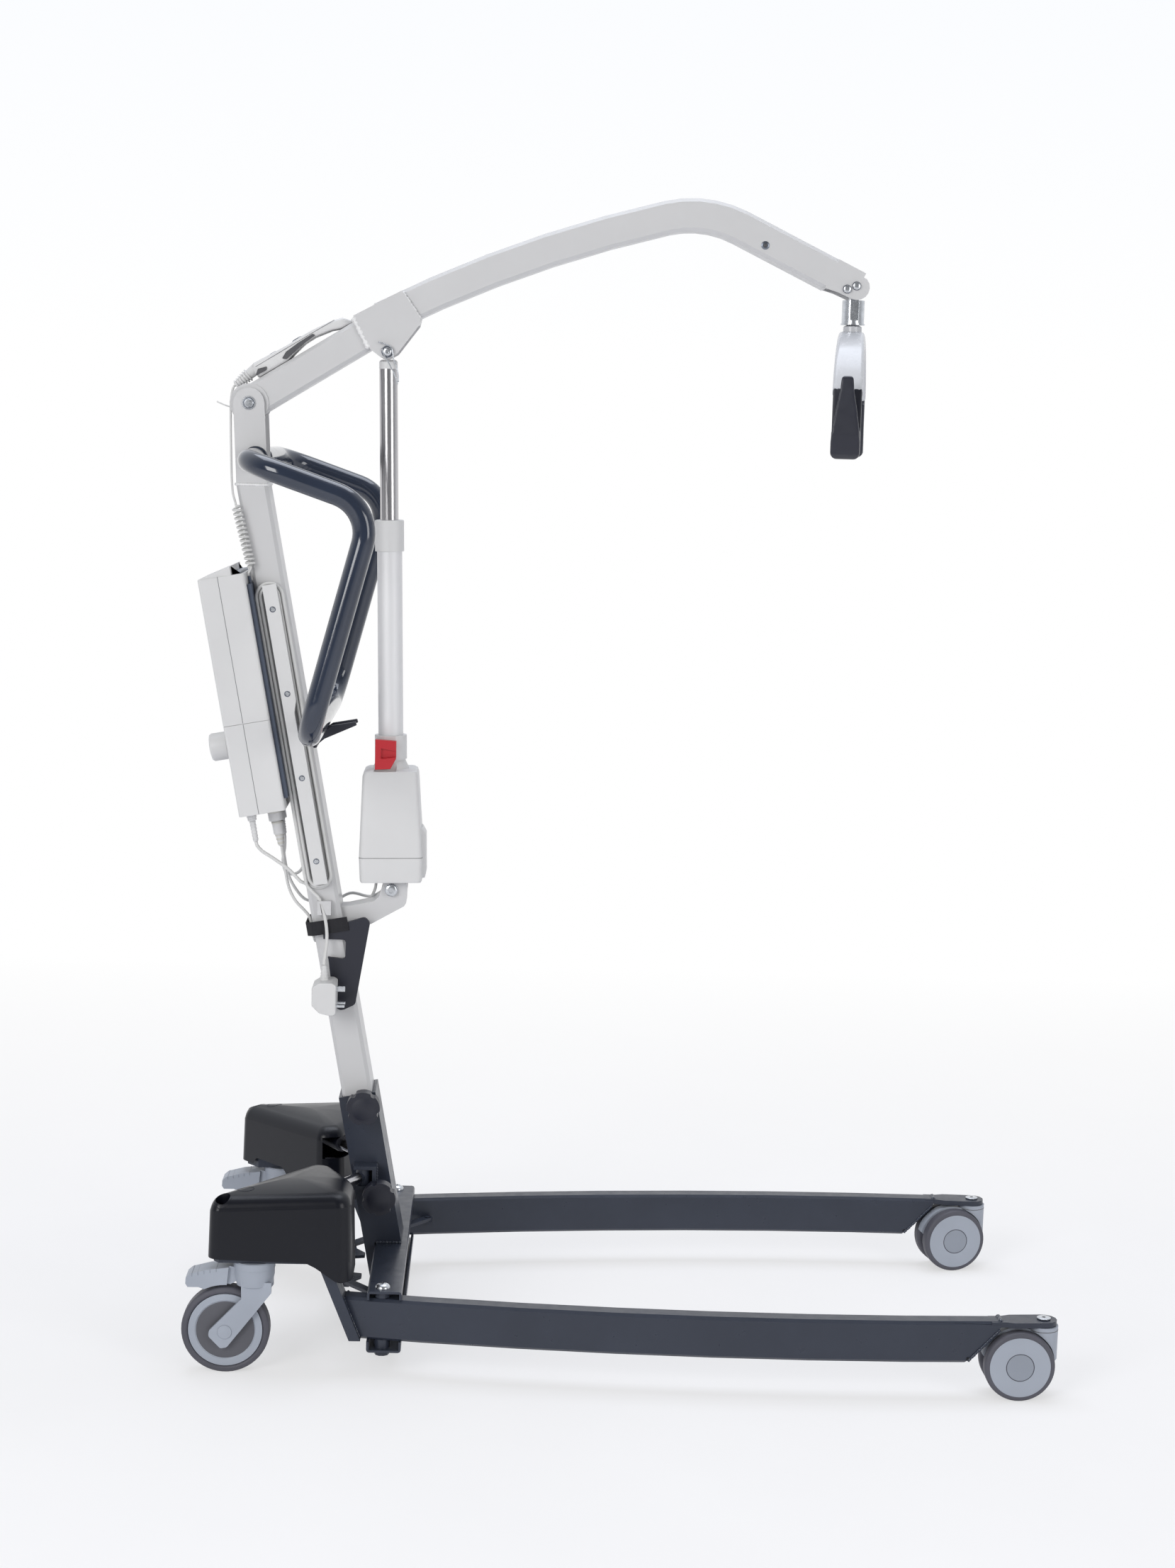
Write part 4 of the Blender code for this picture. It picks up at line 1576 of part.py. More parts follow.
def make_spreader(holder):
    """The bar: an arch whose ends turn down, with a headed swivel stud in the hanger."""
    half = [spreader_point(reach, drop) for reach, drop in SPREADER_LINE]
    mirrored = [Vector((point.x, -point.y, point.z)) for point in half]
    centre = smooth_route(list(reversed(mirrored[1:])) + half, SPREADER_STEP)
    rings = []
    for index, point in enumerate(centre):
        before = centre[max(index - 1, 0)]
        after = centre[min(index + 1, len(centre) - 1)]
        heading = (after - before).normalized()
        if index in (0, len(centre) - 1):
            heading = end_heading(1 if index else -1)
        up = Vector((1, 0, 0)).cross(heading).normalized()
        flare = SPREADER_WIDTH / 2 + SPREADER_FLARE * abs(point.y) / SPREADER_LINE[-1][0]
        rings.append(rounded_ring(point, (1, 0, 0), up, flare, SPREADER_THICKNESS / 2, 0.006, 1))
    rim = HANGER_PIVOT[1] - HANGER_BOTTOM
    seat = rim - SPREADER_DROP
    stud = turned([(0, seat), (0.0135, seat), (0.0135, rim - 0.0025), (SWIVEL_R + 0.003, rim - GAP),
                   (SWIVEL_R, rim - GAP), (SWIVEL_R, rim + SWIVEL_SHANK), (SWIVEL_HEAD_R, rim + SWIVEL_SHANK),
                   (SWIVEL_HEAD_R, rim + SWIVEL_TOP), (0, rim + SWIVEL_TOP)],
                  (HANGER_PIVOT[0], 0, 0), (0, 0, 1), 10)
    node("spreader_bar", yawed(loft(rings)), "paint_white", holder, [join(yawed(stud))])


def make_hooks(holder):
    """A black moulded hook on each end of the bar, its throat open upwards between bar and tongue."""
    half = HOOK_WIDTH / 2
    x = HANGER_PIVOT[0]
    end = spreader_point(*SPREADER_LINE[-1])
    inner, outer = HOOK_THROAT
    heading = end_heading(1)
    slope = -heading.y / heading.z
    seat = end.z - GAP / heading.y
    outline = [(end.y - 0.0155, seat - 0.0155 * slope), (end.y + 0.0110, seat + 0.0110 * slope), (inner, 1.3650),
               (inner, 1.3520), (inner + 0.006, 1.3430), (outer - 0.006, 1.3430), (outer, 1.3520),
               (outer - 0.003, 1.4100), (outer + 0.001, 1.4200), (outer + 0.006, 1.4180),
               (outer + 0.016, 1.3400), (outer + 0.012, 1.3140), (outer, HOOK_BOTTOM),
               (inner - 0.010, HOOK_BOTTOM), (inner - 0.024, 1.3200), (inner - 0.027, 1.3500)]
    outline = fillet(outline, [0, 0, 0.008, 0, 0.006, 0.006, 0, 0, 0.002, 0.004, 0.02, 0.01, 0.01, 0.01, 0.012, 0], 2)
    for label, side in SIDES.items():
        shape = [(side * reach, height) for reach, height in outline]
        steps = []
        for hand in (-1, 1):
            wedge = [(x + hand * 0.0085, 1.4300), (x + hand * 0.0095, 1.4000), (x + hand * 0.0205, 1.3400),
                     (x + hand * 0.0300, 1.3400), (x + hand * 0.0300, 1.4300)]
            steps.append(cut(yawed(prism(wedge, *sided(side, outer - 0.0045, outer + 0.03)))))
        node(f"{label}_sling_hook", yawed(prism(shape, x - half, x + half, "YZ")), "black", holder, steps)


# Handset

HANDSET_STATIONS = [(0.0290, HANDSET_LOW + 0.0014, 0.0440, 0.0195), (0.0330, HANDSET_LOW, 0.0460, 0.0225),
                    (0.0783, HANDSET_LOW, 0.0436, 0.0240), (0.0900, 0.0275, 0.0432, 0.0240),
                    (0.1100, 0.0325, 0.0437, 0.0235), (0.1282, 0.0330, 0.0436, 0.0230),
                    (0.1540, 0.0290, 0.0413, 0.0225), (0.1680, HANDSET_LOW + 0.0004, 0.0393, 0.0220),
                    (0.1771, HANDSET_LOW, 0.0366, 0.0200), (0.1850, HANDSET_LOW, 0.0275, 0.0150)]
RELIEF_PLACE = boom_point(0.0310, 0.0380)


def make_handset(holder, up_axis, down_axis):
    up = Vector((-math.sin(BOOM_REAR_ANGLE), 0, math.cos(BOOM_REAR_ANGLE)))
    rings = []
    for along, low, high, half in HANDSET_STATIONS:
        corner = min((high - low) * 0.35, 0.006)
        rings.append(rounded_ring(boom_point(along, (low + high) / 2), up, (0, 1, 0), (high - low) / 2, half, corner, 1))
    steps = []
    relief = turned([(0, -0.004), (0.0085, -0.004), (0.0075, 0.012), (0.0045, RELIEF_LENGTH), (0, RELIEF_LENGTH)],
                    RELIEF_PLACE, RELIEF_AXIS, 8)
    steps.append(join(relief))
    for along in BUTTON_ALONG.values():
        floor, ceiling = BUTTON_RISE - 0.006, BUTTON_RISE + 0.01
        steps.append(cut(rod(boom_point(along, floor), boom_point(along, ceiling), BUTTON_R + 0.0004, 12)))
    node("handset", loft(rings), "box_grey", holder, steps)
    for name, axis in (("up", up_axis), ("down", down_axis)):
        along = BUTTON_ALONG[name]
        base = BUTTON_RISE - 0.006 + BUTTON_TRAVEL + GAP
        top = BUTTON_RISE + 0.0016
        profile = [(0, base), (BUTTON_R, base), (BUTTON_R, top - 0.0008), (BUTTON_R - 0.0012, top), (0, top)]
        button = turned(profile, boom_point(along, 0), up, 12)
        node(f"handset_{name}_button", button, "plate_blue", axis)


# Leads

def hank_fold(number):
    """One fold of the hank: even ones go round the lower post, odd ones round the upper."""
    lower = number % 2 == 0
    centre = HANK_CENTRES[0] if lower else HANK_CENTRES[1]
    depth = HANK_INNER_Y if number < HANK_FOLDS / 2 else HANK_OUTER_Y
    points = []
    for step in range(FOLD_STEPS + 1):
        share = step / FOLD_STEPS
        turns = number + share
        radius = HANK_OUTER - HANK_STEP * min(turns, HANK_FOLDS - turns)
        angle = math.pi * (share + (1 if lower else 0))
        points.append(mast_point(centre + radius * math.sin(angle), radius * math.cos(angle), depth))
    return points


HANK_FOLDS = 6
HANK_FIRST = 3               # points of the first fold that the incoming lead takes the place of


def hank_points():
    """Spirals in through one layer, climbs along a run, and spirals out again through the other."""
    points = []
    for number in range(HANK_FOLDS):
        points += hank_fold(number)[HANK_FIRST if number == 0 else 0:]
    first = points[0] + (points[0] - points[1]).normalized() * 2 * LEAD_R
    last = mast_point(HANK_CENTRES[0] + HANK_TAIL, -HANK_OUTER, HANK_OUTER_Y)
    return [first] + points + [last]


def curl_points():
    """The handset lead's curls, from its socket on the box's plate up to the straight lead."""
    start = mast_point(PLATE_SPAN[1] + SOCKET_HEIGHT + GAP, SOCKET_FORWARD, SOCKET_SIDE)
    low, high = CURL_LINE
    axis = (high - low).normalized()
    across = Vector((0, 1, 0))
    forward = across.cross(axis).normalized()
    ramp = CURL_POINTS // 2
    count = CURLS * CURL_POINTS
    points = [start, start + axis * 2 * CURL_LEAD_R]
    for step in range(count + 1):
        radius = CURL_R * min(1, (step + 1) / ramp, (count - step + 1) / ramp)
        angle = 2 * math.pi * step / CURL_POINTS + CURL_TURN
        centre = low.lerp(high, step / count)
        points.append(centre + across * radius * math.cos(angle) + forward * radius * math.sin(angle))
    points += [high + axis * 0.003, high + axis * (0.003 + 2 * CURL_LEAD_R)]
    return points


CURL_LINE = (mast_point(1.1500, -0.0200, -0.0440), Vector((-0.2375, -0.0440, 1.2150)))
CURL_TURN = math.pi


def least_gap(points, radius):
    """Least clear distance between parts of a tube that are far apart along it."""
    dense = np.array([tuple(point) for point in spaced([Vector(p) for p in points], radius * 0.6)])
    away = int(6 * radius / (radius * 0.6))
    least = 1.0
    for index in range(0, len(dense) - away, 2):
        distances = np.linalg.norm(dense[index + away:] - dense[index], axis=1)
        least = min(least, float(distances.min()))
    return least - 2 * radius


def make_hank(holder):
    points = hank_points()
    print("mains hank: length", round(route_length(points), 3), "least gap", round(least_gap(points, LEAD_R), 5))
    cord("mains_hank", points, LEAD_R, "lead_grey", holder, 1)


def free_lead(name, route, radius, holder):
    """An unwound tube through its route's points, with a point every 3 diameters and straight ends."""
    points = [Vector(route[0])] + smooth_route(route[1:-1], 6 * radius) + [Vector(route[-1])]
    print(name, "length", round(route_length(points), 3))
    cord(name, points, radius, "lead_grey", holder)


def beyond(points, step):
    """A point past the end of a route, straight on."""
    return points[-1] + (points[-1] - points[-2]).normalized() * step


def make_mains_lead(holder):
    """From the box to the hank, and from the hank through the clip to the plug."""
    hank = hank_points()
    start = list(reversed(hank))
    stub = 2 * LEAD_R
    out_of_box = [gland_end("mains"), gland_end("mains", stub), mast_point(0.7400, -0.0765, -0.0370),
                  mast_point(0.7300, -0.0655, -0.0374), mast_point(0.7190, -0.0540, -0.0378),
                  mast_point(0.7070, -0.0425, HANK_INNER_Y), beyond(start, GAP + 2.5 * stub),
                  beyond(start, GAP + stub), beyond(start, GAP)]
    relief = [PLUG_RELIEF_START, PLUG_RELIEF_END]
    to_plug = [beyond(hank, GAP), beyond(hank, GAP + stub), mast_point(0.6800, -0.0193, HANK_OUTER_Y),
               mast_point(0.6690, -0.0128, HANK_OUTER_Y), CLIP_LINE[0], CLIP_LINE[1],
               mast_point(0.6100, -0.0018, -0.0490), mast_point(0.5920, -0.0045, -0.0535),
               mast_point(0.5800, -0.0080, -0.0600), beyond(relief, GAP + stub), beyond(relief, GAP)]
    free_lead("mains_lead", out_of_box, LEAD_R, holder)
    free_lead("plug_lead", to_plug, LEAD_R, holder)


PLUG_MIDDLE_Y = -0.067
PLUG_RELIEF_START = Vector((-0.1003, PLUG_MIDDLE_Y, 0.5290))
PLUG_RELIEF_END = Vector((-0.1010, PLUG_MIDDLE_Y + 0.0010, 0.5517))


def make_plug(holder):
    """Three-pin mains plug hanging on its lead, pins forward."""
    half = 0.025
    outline = [(-0.1170, 0.5230), (-0.1060, 0.5300), (-0.0880, 0.5300), (-0.0820, 0.5270), (-0.0820, 0.4830),
               (-0.0880, 0.4810), (-0.1060, 0.4850), (-0.1170, 0.4960)]
    outline = fillet(outline, 0.004, 2)
    body = prism(outline, PLUG_MIDDLE_Y - half, PLUG_MIDDLE_Y + half)
    relief = rod(PLUG_RELIEF_START, PLUG_RELIEF_END, 0.0060, 16, 0.0040)
    steps = [join(relief)]
    for reach, height, wide, tall in ((0.0, 0.5170, 0.0040, 0.0080), (-0.0110, 0.4940, 0.0063, 0.0040),
                                      (0.0110, 0.4940, 0.0063, 0.0040)):
        y = PLUG_MIDDLE_Y + reach
        steps.append(join(box((-0.0835, y - wide / 2, height - tall / 2), (-0.0698, y + wide / 2, height + tall / 2))))
    node("mains_plug", body, "box_grey", holder, steps)


def make_curly_cord(holder):
    points = curl_points()
    print("curly cord: length", round(route_length(points), 3), "least gap",
          round(least_gap(points, CURL_LEAD_R), 5))
    cord("curly_cord", points, CURL_LEAD_R, "lead_grey", holder, 1)


def make_handset_lead(holder):
    """From the handset's strain relief down behind the mast's head to the curls."""
    relief = [RELIEF_PLACE, RELIEF_PLACE + Vector(RELIEF_AXIS).normalized() * RELIEF_LENGTH]
    curls = curl_points()
    stub = 2 * CURL_LEAD_R
    route = [beyond(relief, GAP), beyond(relief, GAP + stub), Vector((-0.2498, 0.0, 1.3740)),
             Vector((-0.2508, -0.002, 1.3570)), Vector((-0.2500, -0.008, 1.3300)), Vector((-0.2480, -0.020, 1.2950)),
             Vector((-0.2455, -0.034, 1.2600)), beyond(curls, GAP + 4 * stub), beyond(curls, GAP + stub),
             beyond(curls, GAP)]
    free_lead("handset_lead", route, CURL_LEAD_R, holder)


def make_cables(holder):
    """Two leads from the box round the mast to the actuator, and one up to the plate's socket."""
    stub = 2 * CABLE_R
    motor = [gland_end("motor"), gland_end("motor", stub), mast_point(0.7030, -0.0500, -0.0150),
             mast_point(0.6763, -0.0490, -0.0150), mast_point(0.6560, -0.0430, -0.0160),
             mast_point(0.6400, -0.0325, -0.0170), mast_point(0.6290, -0.0264, -0.0180),
             mast_point(0.6144, -0.0256, -0.0180), mast_point(0.5990, -0.0258, -0.0120),
             mast_point(0.5880, -0.0262, 0.0050), mast_point(0.5880, -0.0262, 0.0280),
             mast_point(0.5895, -0.0262, 0.0350), mast_point(0.5915, -0.0215, 0.0405),
             mast_point(0.5940, -0.0100, 0.0415), mast_point(0.5980, 0.0050, 0.0418),
             Vector((-0.0700, 0.0400, 0.6080)), Vector((-0.0450, 0.0360, 0.6270)), Vector((-0.0335, 0.0300, 0.6480)),
             actuator_point(FOOT_CLEAR - GAP - stub, -0.0240, 0.0280), actuator_point(FOOT_CLEAR - GAP, -0.0240, 0.0280)]
    signal = [gland_end("signal"), gland_end("signal", stub), mast_point(0.7155, -0.0504, 0.0085),
              mast_point(0.6920, -0.0497, 0.0120), mast_point(0.6695, -0.0440, 0.0180),
              mast_point(0.6480, -0.0330, 0.0300), mast_point(0.6400, -0.0150, 0.0420),
              mast_point(0.6350, 0.0050, 0.0425), Vector((-0.0700, 0.0420, 0.6400)),
              Vector((-0.0400, 0.0400, 0.6360)), Vector((-0.0190, 0.0330, 0.6500)),
              actuator_point(FOOT_CLEAR - GAP - stub, -0.0110, 0.0300), actuator_point(FOOT_CLEAR - GAP, -0.0110, 0.0300)]
    box, plate = BOX_BOTTOM, PLATE_SPAN[0]
    handset = [gland_end("handset"), gland_end("handset", stub), mast_point(box - 0.0685, -0.0500, 0.0302),
               mast_point(box - 0.0865, -0.0560, 0.0310), mast_point(plate - 0.1190, -0.0560, 0.0330),
               mast_point(plate - 0.1265, -0.0500, 0.0360), mast_point(plate - 0.1280, -0.0410, 0.0400),
               mast_point(plate - 0.1220, -0.0310, 0.0450), mast_point(plate - 0.1050, -0.0257, 0.0490),
               mast_point(plate - 0.0650, -0.0254, 0.0500), mast_point(plate - 0.0250, -0.0254, 0.0500),
               mast_point(plate - GAP, -0.0254, 0.0500)]
    free_lead("motor_cable", motor, CABLE_R, holder)
    free_lead("signal_cable", signal, CABLE_R, holder)
    free_lead("handset_cable", handset, CABLE_R, holder)


# The whole lift

CORD_NODES = ("mains_hank", "mains_lead", "plug_lead", "mains_plug", "curly_cord", "handset_lead")


def extent(objects):
    """Lowest and highest corners of finished solids."""
    bpy.context.view_layer.update()
    graph = bpy.context.evaluated_depsgraph_get()
    corners = []
    for solid in objects:
        shown = solid.evaluated_get(graph)
        mesh = shown.to_mesh()
        corners += [shown.matrix_world @ vertex.co for vertex in mesh.vertices]
        shown.to_mesh_clear()
    low = Vector([min(corner[axis] for corner in corners) for axis in range(3)])
    high = Vector([max(corner[axis] for corner in corners) for axis in range(3)])
    return low, high


def make_side(label, side, root):
    leg = carrier(f"{label}_leg_axis", (0, side * PIVOT_Y, 0), root)
    make_leg(f"{label}_leg", side, leg)
    make_cover(f"{label}_castor_cover", side, leg)
    swivel = carrier(f"{label}_rear_swivel_axis", (REAR_CASTOR_X, side * REAR_CASTOR_Y, 0), leg)
    make_rear_fork(f"{label}_rear_fork", side, swivel)
    wheel = carrier(f"{label}_rear_wheel_axis", (REAR_AXLE[0], side * REAR_CASTOR_Y, REAR_AXLE[1]), swivel)
    make_rear_wheel(label, side, wheel)
    brake = carrier(f"{label}_brake_axis", (BRAKE_PIN[0], side * REAR_CASTOR_Y, BRAKE_PIN[1]), swivel)
    make_brake_pedal(f"{label}_brake_pedal", side, brake)
    yaw = FRONT_YAW[label]
    front = carrier(f"{label}_front_swivel_axis", (FRONT_STEM_X, side * FRONT_STEM_Y, 0), leg)
    axle = carrier(f"{label}_front_wheel_axis",
                   (FRONT_STEM_X - FRONT_TRAIL * math.cos(yaw), side * FRONT_STEM_Y - FRONT_TRAIL * math.sin(yaw),
                    FRONT_WHEEL_R), front)
    make_front_castor(label, side, front, axle)
    strut = carrier(f"{label}_strut_axis", strut_point(STRUT_CYLINDER_START, side), root)
    make_strut_cylinder(f"{label}_strut_cylinder", side, strut)
    link = carrier(f"{label}_link_axis", (YOKE_PIN[0], side * YOKE_PIN[1], 0), bpy.data.objects["yoke_axis"])
    make_link(f"{label}_link", side, link)


def make_base(root):
    make_crossbars(root)
    make_socket(root)
    make_yoke(carrier("yoke_axis", (YOKE_PIN[0], 0, YOKE_LOW), root))
    for label, side in SIDES.items():
        make_side(label, side, root)
    for label, (x, z, _) in KNOBS.items():
        make_knob(f"{label}_knob", carrier(f"{label}_knob_axis", (x, 0, z), root))


def make_upper(root):
    mast = carrier("mast_axis", mast_point(MAST_START), root)
    for make in (make_mast, make_pivot_bolt, make_handle, make_rest_hook, make_back_plate,
                 make_control_box, make_holder, make_transport_plate, make_strap, make_hank, make_mains_lead,
                 make_plug, make_curly_cord, make_handset_lead, make_cables):
        make(mast)
    make_battery(carrier("battery_axis", mast_point(BOX_SEAM, BOX_NEAR - BOX_DEPTH / 2), mast))
    make_stop_button(carrier("stop_button_axis", mast_point(STOP_ALONG, BOX_BACK), mast))
    boom = carrier("boom_axis", (BOOM_PIVOT[0], 0, BOOM_PIVOT[1]), mast)
    make_boom(boom)
    buttons = [carrier(f"{name}_button_axis", boom_point(BUTTON_ALONG[name], BUTTON_RISE), boom)
               for name in ("up", "down")]
    make_handset(boom, *buttons)
    hanger = carrier("hanger_axis", (HANGER_PIVOT[0], 0, HANGER_PIVOT[1]), boom)
    make_hanger(hanger)
    spreader = carrier("spreader_axis", (HANGER_PIVOT[0], 0, HANGER_PIVOT[1] - HANGER_BOTTOM), hanger)
    make_spreader(spreader)
    make_hooks(spreader)
    swing = carrier("actuator_axis", (ACTUATOR_FOOT[0], 0, ACTUATOR_FOOT[1]), mast)
    shaft = carrier("rod_axis", actuator_point(ROD_BOTTOM), swing)
    catch = carrier("catch_axis", actuator_point(RING_START, 0, -CATCH_BACK), swing)
    make_actuator(swing, shaft, catch)


def main():
    clear_scene()
    root = carrier("lift", (0, 0, 0))
    make_base(root)
    make_upper(root)
    solids = [thing for thing in bpy.data.objects if thing.type != "EMPTY" and not thing.hide_render]
    low, high = extent([solid for solid in solids if solid.name not in CORD_NODES])
    root.location = (-(low.x + high.x) / 2, -(low.y + high.y) / 2, -low.z)
    bpy.context.view_layer.update()
    print("size", [round(value, 4) for value in high - low])
    for thing in bpy.data.objects:
        if thing.type == "EMPTY":
            print(thing.name, [round(value, 5) for value in thing.matrix_world.translation])


main()
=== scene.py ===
"""Looks of the patient lift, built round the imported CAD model.

Metres, +Z up, +X towards the open ends of the legs. Shapes are worked out from the leg pivots, as in the
CAD source, and SHIFT then takes them to the frame's own place.
"""
import json
import math

import bmesh
import bpy
from mathutils import Matrix, Vector
from mathutils.bvhtree import BVHTree

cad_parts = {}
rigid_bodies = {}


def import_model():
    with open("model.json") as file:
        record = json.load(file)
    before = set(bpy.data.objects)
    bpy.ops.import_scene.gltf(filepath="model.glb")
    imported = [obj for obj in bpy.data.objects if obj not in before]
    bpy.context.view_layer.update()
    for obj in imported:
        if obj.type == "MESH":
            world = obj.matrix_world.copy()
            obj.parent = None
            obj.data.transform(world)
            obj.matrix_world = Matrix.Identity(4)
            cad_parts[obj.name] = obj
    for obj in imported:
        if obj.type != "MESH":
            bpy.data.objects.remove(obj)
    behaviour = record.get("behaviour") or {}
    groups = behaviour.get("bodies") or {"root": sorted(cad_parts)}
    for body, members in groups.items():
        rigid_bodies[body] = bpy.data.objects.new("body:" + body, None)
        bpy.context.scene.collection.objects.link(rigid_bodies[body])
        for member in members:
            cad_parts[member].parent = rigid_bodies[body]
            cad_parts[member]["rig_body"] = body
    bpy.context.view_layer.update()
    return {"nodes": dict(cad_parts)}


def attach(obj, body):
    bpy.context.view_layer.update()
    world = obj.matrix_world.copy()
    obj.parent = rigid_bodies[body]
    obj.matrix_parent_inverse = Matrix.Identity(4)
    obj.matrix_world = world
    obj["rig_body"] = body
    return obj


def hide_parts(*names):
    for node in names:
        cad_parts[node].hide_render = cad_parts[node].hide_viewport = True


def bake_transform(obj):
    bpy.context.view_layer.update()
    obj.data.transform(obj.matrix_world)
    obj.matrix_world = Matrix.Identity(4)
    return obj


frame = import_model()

SHIFT = Vector((-0.3327, -0.00055, 0))
FINER = 3                    # times as many facets round each curve as the CAD model has
CARRIERS = {name: node["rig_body"] for name, node in frame["nodes"].items()}

GAP = 0.0003                 # between pieces that touch
SIDES = {"near": -1, "far": 1}
PIVOT_Y = 0.243              # leg pivot from the middle plane
UPPER_CHANNEL_HEIGHT = 0.0122
PIVOT_HEAD_R = 0.0103
BORE_CLEARANCE = 0.0003      # radial, of a bore round its pin
PIVOT_PLAY = 0.0008          # between a leg and the channel above or below it
LEG_BOTTOM = 0.052
LEG_HEIGHT = 0.060
LEG_START_ANGLE = math.radians(9.65)
LEG_BOW_RADIUS = 4.02
LEG_REACH = 0.8702           # top of the leg tube ahead of its pivot
LEG_BEVEL_RUN = 0.0492       # how far the sloped end goes back
PLATE_THICKNESS = 0.008
ARM_ANGLE = math.radians(68)
ARM_FOOT_X = -0.030
ARM_DECK_BOTTOM = 0.1635
ARM_DECK_THICKNESS = 0.018
REAR_CASTOR_X = -0.182
REAR_CASTOR_Y = 0.240
REAR_WHEEL_R = 0.0625
REAR_TRAIL = 0.039
REAR_TYRE_WIDTH = 0.028
REAR_RIM_R = 0.0525
REAR_RIM_WIDTH = 0.026
REAR_DISC_R = 0.0418
REAR_DISC_RECESS = 0.0015
AXLE_R = 0.006
AXLE_CAP_R = 0.0100
NECK_R = 0.029
NECK_TOP = ARM_DECK_BOTTOM - GAP
NECK_JOINT = 0.1512
BRAKE_PIN = (-0.2035, 0.1440)
BRAKE_PIN_R = 0.003
BRAKE_GAP = 0.0050           # between the pedal and the tyre
BRAKE_SLOT = 0.0125          # half the slot in the fork crown
BRAKE_PAD_HALF = 0.0180
FORK_CROWN_BOTTOM = 0.1285
FORK_ARM = 0.006
FORK_PLAY = 0.002            # between the wheel and each fork arm
STEM_R = 0.006
STEM_NUT_R = 0.011
STEM_NUT_HEIGHT = 0.010
COVER_BOTTOM = 0.171
COVER_NOSE_BOTTOM = 0.1385
COVER_TOP_REAR = 0.258
COVER_WALL = 0.003
COVER_HOLE = (-0.226, 0.2527)
COVER_HOLE_R = 0.0105
COVER_BOSS_WALL = 0.0025
FRONT_CASTOR_AHEAD = 0.0634  # of the end of the leg tube
FRONT_CASTOR_X = LEG_REACH + FRONT_CASTOR_AHEAD
FRONT_WHEEL_R = 0.050
FRONT_TRAIL = 0.036
FRONT_WHEEL_WIDTH = 0.0215
FRONT_WHEEL_SPLIT = 0.0095   # inner face of each wheel from the middle
FRONT_TREAD_SHOULDER = 0.0052
FRONT_NECK_R = 0.0207
FRONT_NECK_BOTTOM = 0.053
FRONT_AXLE_R = 0.004
FRONT_WHEEL_PLAY = 0.0015
FRONT_YAW = {"near": 0.0, "far": math.radians(10.5)}
CAP_R = 0.0093
CAP_HEIGHT = 0.0012
MAST_TILT = math.radians(10.45)
MAST_FOOT_X = 0.0133         # where the mast's centre line meets the floor
MAST_DEPTH = 0.0445
MAST_WIDTH = 0.070
SOCKET_WALL_X = 0.0048
SOCKET_WALL_Y = 0.0036
SOCKET_CLEARANCE = 0.0004
HEAD_BOTTOM = 1.2455
BOOM_PIVOT = (-0.2218, 1.3614)
BOOM_BOLT_R = 0.006
STRUT_Z = 0.232
STRUT_PIN = (-0.040, 0.0525)
STRUT_ANGLE = math.radians(58.6)
STRUT_ROD_R = 0.0080
STRUT_ROD_REACH = 0.112
STRUT_MOUTH = 0.0165         # half height of the opening in a cover round its strut
KNOB_R = 0.0248
KNOB_DEPTH = 0.024
KNOB_NOTCH_R = 0.0065
KNOB_NOTCHES = 5
KNOB_HUB_R = 0.0068
KNOB_SCREW_R = 0.004
KNOBS = {"upper": (-0.0405, 0.3395, 0.056), "lower": (-0.0148, 0.2065, 0.0675)}
BOOM_REAR_ANGLE = math.radians(31.9)
BOOM_DEPTH = 0.0464
BOOM_WIDTH = 0.0550
TIP_BOLT_R = 0.004
SLEEVE_HALF = 0.0335
BOOM_PIN = (-0.0254, 1.4392)
HANGER_PIVOT = (0.6440, 1.5512)
STOP_BOLT = (0.6306, 1.5464)
HANGER_R = 0.0162
HANGER_TOP = 0.0195          # below its pivot
HANGER_BOTTOM = 0.0545
HANGER_EYE_R = 0.0080
HANGER_EYE_WIDTH = 0.030
HANGER_NECK = 0.0055
SWIVEL_R = 0.006
SWIVEL_HEAD_R = 0.009
SPREADER_YAW = math.radians(-8.3)
SPREADER_WIDTH = 0.036
SPREADER_THICKNESS = 0.020
SPREADER_FLARE = 0.003       # half width gained at the bar's ends
SPREADER_STEP = 0.034
SWIVEL_SHANK = 0.0148
SWIVEL_TOP = 0.0235
SPREADER_DROP = 0.0202       # middle of the bar below the hanger's rim
SPREADER_LINE = [(0.0, 0.0), (0.060, 0.0025), (0.120, 0.0215), (0.165, 0.0515), (0.185, 0.0805)]
HOOK_WIDTH = 0.040
HOOK_BOTTOM = 1.306
HOOK_THROAT = (0.196, 0.222)
ACTUATOR_FOOT = (-0.0070, 0.6572)
ACTUATOR_LEAN = math.radians(1.35)
ACTUATOR_TUBE_R = 0.0182
ACTUATOR_TUBE_START = 0.1815
ACTUATOR_TUBE_END = 0.5410
COLLAR_R = 0.0207
COLLAR_LENGTH = 0.0440
ROD_R = 0.0132
ROD_PLAY = 0.0004
ROD_BOTTOM = 0.420
ROD_TOP = 0.7715
FOOT_EYE_R = 0.0115
FOOT_EYE_WIDTH = 0.023
FOOT_BOLT_R = 0.005
ARM_BRACKET_WIDTH = 0.040
CATCH_TRAVEL = 0.008
CATCH_BACK = 0.0225
FOOT_CLEAR = 0.0132          # bottom of the housing above the foot bolt
RING_START = 0.193
RING_END = 0.228
RING_R = 0.0235
HANDLE_R = 0.0158
HANDLE_Y = 0.270
HANDLE_BEND = 0.055
HANDLE_ENTRY = (-0.2110, 1.2826)
HANDLE_TOP = (-0.2002, 1.2826)
HANDLE_ELBOW = (-0.0305, 1.2249)
HANDLE_CROSSING = 0.9155     # along the mast
BOX_NEAR = -0.0285           # front face behind the mast's centre line
BOX_DEPTH = 0.0677
BOX_HALF_Y = 0.075
BOX_BOTTOM = 0.7985
BOX_SEAM = 0.9317
BOX_TOP = 1.1445
